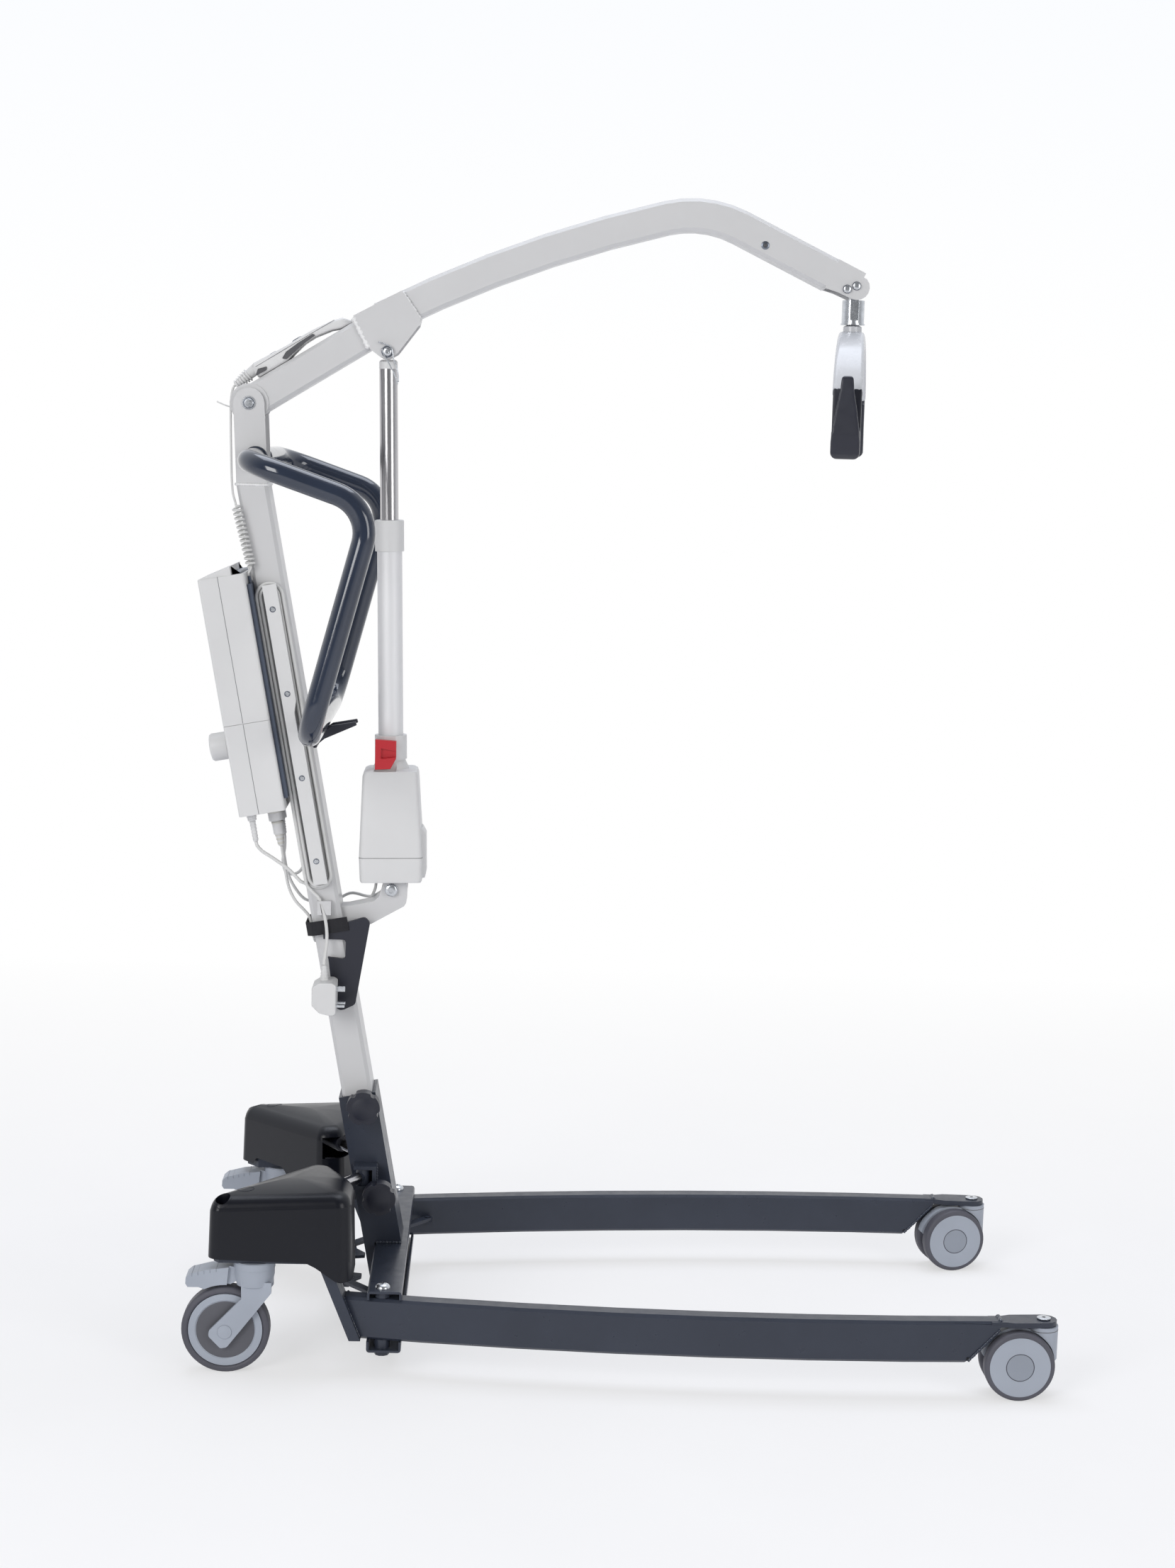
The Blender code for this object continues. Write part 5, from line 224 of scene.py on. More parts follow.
BOX_LID = 0.0125
BOX_RECESS = -0.0475         # front edge of the lid's slope
BOX_WALL = 0.003
PLATE_SPAN = (0.815, 1.128)  # along the mast
SOCKET_FORWARD = -0.0253
SOCKET_SIDE = -0.0440
SOCKET_HEIGHT = 0.0105
STOP_ALONG = 0.8975
STOP_BUTTON_R = 0.0205
STOP_BUTTON_LENGTH = 0.032
STOP_TRAVEL = 0.005
STOP_STEM_R = 0.0080
LEAD_R = 0.0025
CABLE_R = 0.0022
HOLDER_BAR_THICKNESS = 0.009
HOLDER_FORWARD = 0.0017
HOLDER_STANDOFF = 0.0125
HANK_CENTRES = (0.692, 1.105)
HANK_OUTER = 0.0202          # radius of the outermost fold
HANK_STEP = 0.00275          # change of radius in half a turn
HANK_LAYER = 0.0055
HANK_TAIL = 0.008            # straight end beyond the last fold's centre
FOLD_STEPS = 11
CURL_R = 0.0056
CURL_LEAD_R = 0.0017
CURLS = 14
CURL_POINTS = 8
PLATE_Y_THICKNESS = 0.006
HANDSET_LOW = BOOM_DEPTH / 2 + 0.0004
RELIEF_AXIS = (-0.0287, 0.0, -0.0239)
RELIEF_LENGTH = 0.0374
BUTTON_ALONG = {"up": 0.104, "down": 0.062}
BUTTON_RISE = 0.0440
BUTTON_R = 0.0080
BUTTON_TRAVEL = 0.001


def join(bm):
    return ("UNION", bm)


def cut(bm):
    return ("DIFFERENCE", bm)


AXES = {
    "XZ": (Vector((1, 0, 0)), Vector((0, 0, 1)), Vector((0, 1, 0))),
    "XY": (Vector((1, 0, 0)), Vector((0, 1, 0)), Vector((0, 0, 1))),
    "YZ": (Vector((0, 1, 0)), Vector((0, 0, 1)), Vector((1, 0, 0))),
}


def prism(outline, low, high, plane="XZ"):
    """A flat outline extruded square to its plane, from low to high."""
    first, second, normal = AXES[plane]
    bm = bmesh.new()
    rings = []
    for level in (low, high):
        rings.append([bm.verts.new(first * p[0] + second * p[1] + normal * level) for p in outline])
    count = len(outline)
    bm.faces.new(rings[0])
    bm.faces.new(list(reversed(rings[1])))
    for index in range(count):
        after = (index + 1) % count
        bm.faces.new((rings[0][index], rings[1][index], rings[1][after], rings[0][after]))
    bmesh.ops.recalc_face_normals(bm, faces=bm.faces)
    return bm


def box(low, high):
    outline = [(low[0], low[1]), (high[0], low[1]), (high[0], high[1]), (low[0], high[1])]
    return prism(outline, low[2], high[2], "XY")


def fillet(points, radius, steps=4):
    """Rounds the corners of an outline. radius is one value or one for each corner."""
    steps *= FINER
    count = len(points)
    radii = radius if isinstance(radius, (list, tuple)) else [radius] * count
    outline = []
    for index, point in enumerate(points):
        here = Vector(point)
        before = (Vector(points[index - 1]) - here)
        after = (Vector(points[(index + 1) % count]) - here)
        reach = radii[index]
        if reach <= 0:
            outline.append(tuple(here))
            continue
        half = before.angle(after) / 2
        tangent = min(reach / math.tan(half), before.length * 0.49, after.length * 0.49)
        reach = tangent * math.tan(half)
        centre = here + (before.normalized() + after.normalized()).normalized() * (reach / math.sin(half))
        start = here + before.normalized() * tangent - centre
        finish = here + after.normalized() * tangent - centre
        sweep = start.angle_signed(finish)
        for step in range(steps + 1):
            turn = Matrix.Rotation(-sweep * step / steps, 2)
            outline.append(tuple(centre + turn @ start))
    return outline


def turned(profile, centre, axis, segments=24):
    """A closed (radius, height) outline spun about an axis. A radius of 0 lies on the axis."""
    segments *= FINER
    bm = bmesh.new()
    turn = Vector((0, 0, 1)).rotation_difference(Vector(axis).normalized()).to_matrix().to_4x4()
    rings = []
    for radius, height in profile:
        if radius < 1e-9:
            rings.append([bm.verts.new((0, 0, height))])
            continue
        ring = []
        for index in range(segments):
            angle = 2 * math.pi * index / segments
            ring.append(bm.verts.new((radius * math.cos(angle), radius * math.sin(angle), height)))
        rings.append(ring)
    on_axis = len(rings[0]) == 1 and len(rings[-1]) == 1
    pairs = list(zip(rings, rings[1:]))
    if not on_axis:
        pairs.append((rings[-1], rings[0]))
    for lower, upper in pairs:
        for index in range(segments):
            after = (index + 1) % segments
            corners = [lower[index % len(lower)], lower[after % len(lower)],
                       upper[after % len(upper)], upper[index % len(upper)]]
            unique = list(dict.fromkeys(corners))
            if len(unique) > 2:
                bm.faces.new(unique)
    bm.transform(Matrix.Translation(Vector(centre)) @ turn)
    bmesh.ops.recalc_face_normals(bm, faces=bm.faces)
    return bm


def rod(start, finish, radius, segments=20, end_radius=None):
    """A round bar or cone between two points."""
    start, finish = Vector(start), Vector(finish)
    length = (finish - start).length
    last = radius if end_radius is None else end_radius
    return turned([(0, 0), (radius, 0), (last, length), (0, length)], start, finish - start, segments)


def loft(rings):
    """Skins closed rings of equal point counts, with flat caps."""
    bm = bmesh.new()
    loops = [[bm.verts.new(point) for point in ring] for ring in rings]
    count = len(rings[0])
    for lower, upper in zip(loops, loops[1:]):
        for index in range(count):
            after = (index + 1) % count
            bm.faces.new((lower[index], lower[after], upper[after], upper[index]))
    bm.faces.new(list(reversed(loops[0])))
    bm.faces.new(loops[-1])
    bmesh.ops.recalc_face_normals(bm, faces=bm.faces)
    return bm


def rounded_ring(centre, across, up, half_across, half_up, radius, steps=2):
    """A rectangle with round corners, as points round a centre."""
    corners = [(-half_across, -half_up), (half_across, -half_up),
               (half_across, half_up), (-half_across, half_up)]
    outline = fillet(corners, radius, steps)
    return [Vector(centre) + Vector(across) * a + Vector(up) * b for a, b in outline]


def smooth_route(points, step):
    """Points a step apart on a smooth curve through the route's own points."""
    route = [Vector(point) for point in points]
    padded = [route[0] * 2 - route[1]] + route + [route[-1] * 2 - route[-2]]
    fine = []
    for index in range(1, len(padded) - 2):
        a, b, c, d = padded[index - 1:index + 3]
        for part in range(24):
            t = part / 24
            fine.append(0.5 * ((2 * b) + (c - a) * t + (2 * a - 5 * b + 4 * c - d) * t ** 2
                               + (3 * b - a - 3 * c + d) * t ** 3))
    fine.append(route[-1])
    return spaced(fine, step)


def spaced(fine, step):
    """Even spacing along a dense run of points, keeping both ends."""
    lengths = [0.0]
    for before, after in zip(fine, fine[1:]):
        lengths.append(lengths[-1] + (after - before).length)
    count = max(2, round(lengths[-1] / step))
    result = []
    index = 0
    for number in range(count + 1):
        target = lengths[-1] * number / count
        while index < len(lengths) - 2 and lengths[index + 1] < target:
            index += 1
        span = lengths[index + 1] - lengths[index]
        share = 0 if span < 1e-12 else (target - lengths[index]) / span
        result.append(fine[index].lerp(fine[index + 1], share))
    return result


def rounded_corners(points, radius, steps=6):
    """A bent tube's centre line: straight runs joined by arcs."""
    line = [Vector(points[0])]
    for before, here, after in zip(points, points[1:], points[2:]):
        before, here, after = Vector(before), Vector(here), Vector(after)
        back, ahead = (before - here).normalized(), (after - here).normalized()
        half = back.angle(ahead) / 2
        tangent = radius / math.tan(half)
        centre = here + (back + ahead).normalized() * (radius / math.sin(half))
        start = here + back * tangent - centre
        turn_axis = ahead.cross(back)
        sweep = math.pi - 2 * half
        for step in range(steps + 1):
            line.append(centre + Matrix.Rotation(sweep * step / steps, 3, turn_axis) @ start)
    line.append(Vector(points[-1]))
    return line


def mast_point(along, forward=0.0, side=0.0):
    """A point given by its distance along the tilted mast and ahead of its centre line."""
    return Vector((MAST_FOOT_X - along * math.sin(MAST_TILT) + forward * math.cos(MAST_TILT), side,
                   along * math.cos(MAST_TILT) + forward * math.sin(MAST_TILT)))


def mast_x(height, forward):
    """X on the line that runs beside the mast's centre line, at a height."""
    return MAST_FOOT_X - height * math.tan(MAST_TILT) + forward / math.cos(MAST_TILT)


def mast_outline(pairs):
    points = [mast_point(along, forward) for along, forward in pairs]
    return [(point.x, point.z) for point in points]


def actuator_point(along, across=0.0, side=0.0):
    return Vector((ACTUATOR_FOOT[0] - along * math.sin(ACTUATOR_LEAN) + across * math.cos(ACTUATOR_LEAN),
                   side,
                   ACTUATOR_FOOT[1] + along * math.cos(ACTUATOR_LEAN) + across * math.sin(ACTUATOR_LEAN)))


def boom_point(along, rise=0.0, side=0.0):
    """A point on the rear run of the boom: along it from the pivot, and square to it."""
    return Vector((BOOM_PIVOT[0] + along * math.cos(BOOM_REAR_ANGLE) - rise * math.sin(BOOM_REAR_ANGLE),
                   side,
                   BOOM_PIVOT[1] + along * math.sin(BOOM_REAR_ANGLE) + rise * math.cos(BOOM_REAR_ANGLE)))


def leg_place(run, side, offset=0.0):
    """A point on the leg's bowed centre line in plan, by its run ahead of the pivot."""
    heading = math.asin(max(-1, math.sin(LEG_START_ANGLE) - run / LEG_BOW_RADIUS))
    out = PIVOT_Y + LEG_BOW_RADIUS * (math.cos(heading) - math.cos(LEG_START_ANGLE))
    return run - offset * math.sin(heading), side * (out + offset * math.cos(heading))


LEG_TOP = LEG_BOTTOM + LEG_HEIGHT
ARM_DECK_TOP = ARM_DECK_BOTTOM + ARM_DECK_THICKNESS
UPPER_TOP = LEG_TOP + PIVOT_PLAY + UPPER_CHANNEL_HEIGHT
SOCKET_HALF_X = MAST_DEPTH / 2 + SOCKET_CLEARANCE + SOCKET_WALL_X
SOCKET_HALF_Y = MAST_WIDTH / 2 + SOCKET_CLEARANCE + SOCKET_WALL_Y
NEAR_FACE = -MAST_WIDTH / 2 - GAP
HANK_INNER_Y = NEAR_FACE - LEAD_R - GAP
HANK_OUTER_Y = HANK_INNER_Y - HANK_LAYER
CLIP_LINE = (mast_point(0.6570, -0.0050, -0.0440), mast_point(0.6300, -0.0014, -0.0464))


def arc(centre, radius, start, finish, steps):
    """Points along an arc, angles in degrees."""
    steps *= FINER
    points = []
    for step in range(steps + 1):
        angle = math.radians(start + (finish - start) * step / steps)
        points.append((centre[0] + radius * math.cos(angle), centre[1] + radius * math.sin(angle)))
    return points


def turn_about(bm, place, angle):
    """Turns a solid about the upright line through a place."""
    centre = Vector((place[0], place[1], 0))
    bm.transform(Matrix.Translation(centre) @ Matrix.Rotation(angle, 4, "Z") @ Matrix.Translation(-centre))
    return bm


def sided(side, low, high):
    """The two Y limits of something that lies low to high away from the middle plane."""
    return sorted((side * low, side * high))


def tube_mesh(points, radius, sides):
    """A round tube along a path, with rings that don't twist."""
    path = [Vector(point) for point in points]
    across = (path[1] - path[0]).orthogonal()
    rings = []
    for index, point in enumerate(path):
        before = path[max(index - 1, 0)]
        after = path[min(index + 1, len(path) - 1)]
        heading = (after - before).normalized()
        across = (across - heading * across.dot(heading)).normalized()
        upward = heading.cross(across)
        ring = []
        for step in range(sides):
            angle = 2 * math.pi * step / sides
            ring.append(point + across * (radius * math.cos(angle)) + upward * (radius * math.sin(angle)))
        rings.append(ring)
    return loft(rings)


FRONT_STEM_Y = leg_place(FRONT_CASTOR_X, 1)[1]
FRONT_STEM_X = leg_place(FRONT_CASTOR_X, 1)[0]
PLATE_BOTTOM = LEG_TOP - PLATE_THICKNESS


def arm_face(height, back=0.0):
    """X of the arm's sloping front face at a height, or of a line behind it."""
    return ARM_FOOT_X - (height - LEG_BOTTOM) / math.tan(ARM_ANGLE) - back / math.sin(ARM_ANGLE)


def strut_point(along, side, height=STRUT_Z):
    return Vector((STRUT_PIN[0] - along * math.cos(STRUT_ANGLE),
                   side * (STRUT_PIN[1] + along * math.sin(STRUT_ANGLE)), height))


COVER_PLAN = [(-0.2470, 0.2700), (-0.2470, 0.2360), (-0.1120, 0.0820), (-0.0780, 0.0960),
              (-0.0420, 0.1780), (-0.0420, 0.2700)]
COVER_PLAN_RADII = [0.020, 0.018, 0.020, 0.018, 0.040, 0.022]
COVER_DRAFT = 0.004
COVER_SLOPE = 0.045
COVER_BASE = 0.125
COVER_SHOULDER = 0.020


def inset_plan(points, distance):
    """Moves each side of a convex outline inwards by a distance."""
    centre = sum((Vector(p) for p in points), Vector((0, 0))) / len(points)
    lines = []
    for index, point in enumerate(points):
        start, finish = Vector(point), Vector(points[(index + 1) % len(points)])
        normal = Vector((-(finish - start).y, (finish - start).x)).normalized()
        if normal.dot(centre - start) < 0:
            normal = -normal
        lines.append((start + normal * distance, finish - start))
    corners = []
    for index in range(len(points)):
        (a, d), (b, e) = lines[index - 1], lines[index]
        share = (b - a).cross(e) / d.cross(e)
        corners.append(a + d * share)
    return [tuple(corner) for corner in corners]


def cover_ring(side, inset, height, wall, slope):
    plan = inset_plan(COVER_PLAN, inset + wall)
    radii = [max(radius - inset * 0.3 - wall, 0.004) for radius in COVER_PLAN_RADII]
    outline = fillet(plan, radii, 2)
    return [Vector((x, side * y, height + slope * (x - COVER_PLAN[0][0]))) for x, y in outline]


REAR_AXLE = (REAR_CASTOR_X - REAR_TRAIL, REAR_WHEEL_R)
REAR_TYRE_HALF = REAR_TYRE_WIDTH / 2
FORK_INNER = REAR_TYRE_HALF + FORK_PLAY


def make_rear_fork(name, side):
    """Swivelling fork with its stem through the arm, its nut on top and the wheel's axle."""
    y = side * REAR_CASTOR_Y
    stem_top = ARM_DECK_TOP + GAP + STEM_NUT_HEIGHT
    profile = [(0, FORK_CROWN_BOTTOM), (NECK_R - 0.003, FORK_CROWN_BOTTOM), (NECK_R, NECK_JOINT - 0.0085),
               (NECK_R, NECK_TOP), (STEM_R, NECK_TOP), (STEM_R, ARM_DECK_TOP + GAP),
               (STEM_NUT_R, ARM_DECK_TOP + GAP), (STEM_NUT_R - 0.002, stem_top), (0, stem_top)]
    crown = turned(profile, (REAR_CASTOR_X, y, 0), (0, 0, 1), 14)
    axle_x, axle_z = REAR_AXLE
    arm = [(-0.1560, 0.1350), (-0.1560, 0.1200), (-0.2180, 0.0400), (-0.2270, 0.0385), (-0.2440, 0.0560),
           (-0.2430, 0.0640), (-0.1980, 0.1110), (-0.1985, 0.1350)]
    arm = fillet(arm, [0, 0, 0.006, 0.004, 0.006, 0.004, 0, 0], 1)
    steps = []
    for hand in (-1, 1):
        inner, outer = sorted((hand * FORK_INNER, hand * (FORK_INNER + FORK_ARM)))
        steps.append(join(prism(arm, y + inner, y + outer)))
    axle = rod((axle_x, y - FORK_INNER - 0.002, axle_z), (axle_x, y + FORK_INNER + 0.002, axle_z), AXLE_R, 10)
    steps.append(join(axle))
    spacer = REAR_RIM_WIDTH / 2 - REAR_DISC_RECESS + GAP
    for hand in (-1, 1):
        steps.append(join(rod((axle_x, y + hand * spacer, axle_z),
                              (axle_x, y + hand * (FORK_INNER + 0.001), axle_z), 0.0085, 10)))
        face = FORK_INNER + FORK_ARM
        steps.append(join(rod((axle_x, y + hand * (face - 0.001), axle_z),
                              (axle_x, y + hand * (face + 0.0006), axle_z), AXLE_CAP_R, 12)))
    slot = box((-0.2300, y - BRAKE_SLOT, FORK_CROWN_BOTTOM - 0.01), (-0.1925, y + BRAKE_SLOT, 0.1570))
    pin = rod((BRAKE_PIN[0], y - BRAKE_SLOT - 0.003, BRAKE_PIN[1]),
              (BRAKE_PIN[0], y + BRAKE_SLOT + 0.003, BRAKE_PIN[1]), BRAKE_PIN_R, 10)
    steps.extend([cut(slot), join(pin)])
    node(name, crown, "castor_grey", steps)


def make_rear_wheel(label, side):
    y = side * REAR_CASTOR_Y
    centre = (REAR_AXLE[0], y, REAR_AXLE[1])
    half = REAR_RIM_WIDTH / 2
    disc = half - REAR_DISC_RECESS
    bore = AXLE_R + BORE_CLEARANCE
    lip = 0.001
    profile = [(bore, -disc), (REAR_DISC_R, -disc), (REAR_DISC_R + lip, -half), (REAR_RIM_R, -half),
               (REAR_RIM_R, half), (REAR_DISC_R + lip, half), (REAR_DISC_R, disc), (bore, disc)]
    node(f"{label}_rear_wheel", turned(profile, centre, (0, 1, 0), 18), "castor_grey")
    tyre = tyre_profile(REAR_WHEEL_R, REAR_RIM_R + GAP, REAR_TYRE_HALF, 0.0065)
    node(f"{label}_rear_tyre", turned(tyre, centre, (0, 1, 0), 18), "tyre_grey")


def make_brake_pedal(name, side):
    y = side * REAR_CASTOR_Y
    axle = Vector(REAR_AXLE)
    reach = REAR_WHEEL_R + BRAKE_GAP
    under = arc(axle, reach, 84, 116, 5)
    tip = [(-0.2585, 0.1262), (-0.2740, 0.1262), (-0.2770, 0.1310), (-0.2765, 0.1400), (-0.2700, 0.1455),
           (-0.2440, 0.1522), (-0.2150, 0.1555), (-0.2040, 0.1540)]
    root_bottom = (-0.1985, 0.1385)
    outline = [root_bottom] + under + tip + [(-0.1975, 0.1500)]
    lever = prism(outline, y - BRAKE_SLOT + GAP, y + BRAKE_SLOT - GAP)
    pad = [point for point in under if point[0] < -0.2165] + tip[:-2] + [(-0.2165, 0.1553)]
    wide = prism(pad, y - BRAKE_PAD_HALF, y + BRAKE_PAD_HALF)
    bore = rod((BRAKE_PIN[0], y - 0.03, BRAKE_PIN[1]), (BRAKE_PIN[0], y + 0.03, BRAKE_PIN[1]),
               BRAKE_PIN_R + BORE_CLEARANCE, 12)
    node(name, lever, "castor_grey", [join(wide), cut(bore)])


FRONT_WHEEL_OUTER = FRONT_WHEEL_SPLIT + FRONT_WHEEL_WIDTH - 0.001
FRONT_NECK_TOP = PLATE_BOTTOM - GAP


def make_front_castor(label, side):
    stem = (FRONT_STEM_X, side * FRONT_STEM_Y)
    yaw = FRONT_YAW[label]
    axle_x = stem[0] - FRONT_TRAIL
    y = stem[1]
    top = LEG_TOP + GAP
    profile = [(0, FRONT_NECK_BOTTOM), (FRONT_NECK_R - 0.002, FRONT_NECK_BOTTOM),
               (FRONT_NECK_R, FRONT_NECK_BOTTOM + 0.003), (FRONT_NECK_R, FRONT_NECK_TOP),
               (STEM_R, FRONT_NECK_TOP),
               (STEM_R, top), (CAP_R, top), (CAP_R, top + CAP_HEIGHT), (0, top + CAP_HEIGHT)]
    neck = turned(profile, (*stem, 0), (0, 0, 1), 16)
    room = FRONT_WHEEL_R + FRONT_WHEEL_PLAY
    web_half = FRONT_WHEEL_SPLIT - 0.001
    steps = []
    for hand in (-1, 1):
        inner, outer = y + hand * web_half, y + hand * (FRONT_NECK_R + 0.01)
        steps.append(cut(rod((axle_x, inner, FRONT_WHEEL_R), (axle_x, outer, FRONT_WHEEL_R), room, 20)))
    fender = arc((axle_x, FRONT_WHEEL_R), FRONT_WHEEL_R + 0.0012, 25, 168, 8)
    hollow = arc((axle_x, FRONT_WHEEL_R), 0.030, 200, 318, 4)
    web = fender + hollow + [(stem[0] + 0.012, FRONT_NECK_BOTTOM + 0.002)]
    steps.append(join(prism(web, y - web_half, y + web_half)))
    axle_half = FRONT_WHEEL_OUTER - 0.006
    steps.append(join(rod((axle_x, y - axle_half, FRONT_WHEEL_R), (axle_x, y + axle_half, FRONT_WHEEL_R),
                          FRONT_AXLE_R, 10)))
    turn_about(neck, stem, yaw)
    for _, tool in steps:
        turn_about(tool, stem, yaw)
    node(f"{label}_front_castor", neck, "castor_grey", steps)
    centre = (axle_x, y, FRONT_WHEEL_R)
    for hand in (-1, 1):
        place = "outer" if hand == side else "inner"
        wheel = turned(front_wheel_profile(axle_half + GAP), centre, (0, hand, 0), 20)
        node(f"{label}_front_{place}_wheel", turn_about(wheel, stem, yaw), "castor_grey")


def make_knob(name):
    x, z, stand = KNOBS[name.split("_")[0]]
    notch_turn = 90 if name.startswith("upper") else 72
    outline = []
    for number in range(KNOB_NOTCHES):
        middle = notch_turn + 360 * number / KNOB_NOTCHES
        outline += arc((x, z), KNOB_R, middle - 26, middle + 26, 2)
        place = middle + 180 / KNOB_NOTCHES
        cx = x + KNOB_R * 1.06 * math.cos(math.radians(place))
        cz = z + KNOB_R * 1.06 * math.sin(math.radians(place))
        outline += arc((cx, cz), KNOB_NOTCH_R * 0.72, place - 118, place - 242, 2)
    back = -stand
    front = back - KNOB_DEPTH
    head = prism(outline, front + 0.003, back)
    dome = turned([(0, 0), (KNOB_R * 0.80, 0), (KNOB_R * 0.62, 0.0022), (0, 0.0032)],
                  (x, front + 0.0032, z), (0, -1, 0), 10)
    hub = rod((x, back - 0.001, z), (x, -SOCKET_HALF_Y - GAP, z), KNOB_HUB_R, 12)
    tip = -MAST_WIDTH / 2 - GAP
    screw = rod((x, -SOCKET_HALF_Y - 0.002, z), (x, tip, z), KNOB_SCREW_R, 10)
    node(name, head, "black", [join(dome), join(hub), join(screw)])


def cross_bolt(place, shank, head, half, head_height):
    """A bolt across the machine with a head on the near side and a nut on the far side."""
    x, z = place
    profile = [(0, -half - head_height), (head * 0.8, -half - head_height), (head, -half - head_height * 0.5),
               (head, -half), (shank, -half), (shank, half), (head * 1.1, half),
               (head * 1.1, half + head_height), (0, half + head_height)]
    return turned(profile, (x, 0, z), (0, 1, 0), 8)


def make_pivot_bolt():
    bolt = cross_bolt(BOOM_PIVOT, BOOM_BOLT_R, 0.0068, MAST_WIDTH / 2 + GAP, 0.004)
    node("boom_pivot_bolt", bolt, "zinc")


def box_ring(along, back, front, corner, inset=0.0):
    """A section of the box square to the mast."""
    across = Vector((math.cos(MAST_TILT), 0, math.sin(MAST_TILT)))
    middle = (back + front) / 2
    return rounded_ring(mast_point(along, middle), across, (0, 1, 0), (front - back) / 2,
                        BOX_HALF_Y - inset, corner, 1 if inset else 2)


def box_loft(low, high, wall=0.0, corner=0.004):
    back = BOX_NEAR - BOX_DEPTH
    return loft([box_ring(along, back + wall, BOX_NEAR - wall, corner, wall) for along in (low, high)])


DOWN_MAST = (math.sin(MAST_TILT), 0.0, -math.cos(MAST_TILT))
BOX_BACK = BOX_NEAR - BOX_DEPTH
GLANDS = {
    "mains": (-0.0825, -0.037, [(0.0066, 0.0), (0.0066, 0.012), (0.0042, 0.0125), (0.0036, 0.0430)]),
    "motor": (-0.0492, -0.015, [(0.0120, 0.0), (0.0120, 0.020), (0.0085, 0.0205), (0.0083, 0.040),
                                (0.0066, 0.0410), (0.0040, 0.0585)]),
    "signal": (-0.0492, 0.0085, [(0.0065, 0.0), (0.0065, 0.020), (0.0045, 0.0205), (0.0032, 0.0480)]),
    "handset": (-0.0470, 0.0300, [(0.0080, 0.0), (0.0080, 0.024), (0.0045, 0.0245), (0.0032, 0.0480)]),
}


def gland_end(label, beyond=0.0):
    """A point below the end of a gland, where its lead starts."""
    forward, side, profile = GLANDS[label]
    return mast_point(BOX_BOTTOM - profile[-1][1] - GAP - beyond, forward, side)


def make_control_box():
    top = BOX_SEAM - GAP
    hollow = box_loft(BOX_BOTTOM + BOX_WALL, top - BOX_WALL, BOX_WALL, 0.002)
    seat = mast_point(STOP_ALONG, BOX_BACK - 0.001)
    inside = mast_point(STOP_ALONG, BOX_BACK + 0.010)
    steps = [cut(hollow), cut(rod(seat, inside, STOP_STEM_R + 0.0005, 20))]
    for forward, side, radii in GLANDS.values():
        profile = [(0, -0.002), (radii[0][0], -0.002)] + radii[1:] + [(0, radii[-1][1])]
        steps.append(join(turned(profile, mast_point(BOX_BOTTOM, forward, side), DOWN_MAST, 8)))
    node("control_box", box_loft(BOX_BOTTOM, top), "box_grey", steps)


def make_battery():
    back = BOX_BACK
    top = BOX_TOP
    lid = prism(mast_outline([(top - 0.002, back + 0.0015), (top - 0.002, BOX_RECESS),
                              (top + BOX_LID, BOX_RECESS), (top + 0.001, back + 0.0015)]),
                -BOX_HALF_Y + 0.002, BOX_HALF_Y - 0.002)
    grip = prism(mast_outline([(top - 0.012, BOX_RECESS), (top + 0.02, BOX_RECESS),
                               (top + 0.02, BOX_NEAR - 0.006),
                               (top - 0.012, BOX_NEAR - 0.006)]), -BOX_HALF_Y + 0.020, BOX_HALF_Y - 0.020)
    core = box_loft(BOX_SEAM - 0.002, top - 0.016, 0.004, 0.002)
    node("battery_pack", box_loft(BOX_SEAM, top), "box_grey", [join(lid), cut(grip), cut(core)])


def make_stop_button():
    face = mast_point(STOP_ALONG, BOX_BACK - STOP_TRAVEL - GAP)
    backward = Vector((-math.cos(MAST_TILT), 0, -math.sin(MAST_TILT)))
    length = STOP_BUTTON_LENGTH - STOP_TRAVEL
    stem_end = -STOP_TRAVEL - 0.003
    profile = [(0, stem_end), (STOP_STEM_R, stem_end), (STOP_STEM_R, 0.0), (STOP_BUTTON_R - 0.003, 0.0),
               (STOP_BUTTON_R, 0.003), (STOP_BUTTON_R, length - 0.004),
               (STOP_BUTTON_R - 0.002, length - 0.001), (STOP_BUTTON_R - 0.006, length), (0, length)]
    node("stop_button", turned(profile, face, backward, 14), "box_grey")


def actuator_ring(along, half_x, half_y, corner, shift=0.0):
    across = Vector((math.cos(ACTUATOR_LEAN), 0, math.sin(ACTUATOR_LEAN)))
    return rounded_ring(actuator_point(along, shift), across, (0, 1, 0), half_x, half_y, corner, 1)


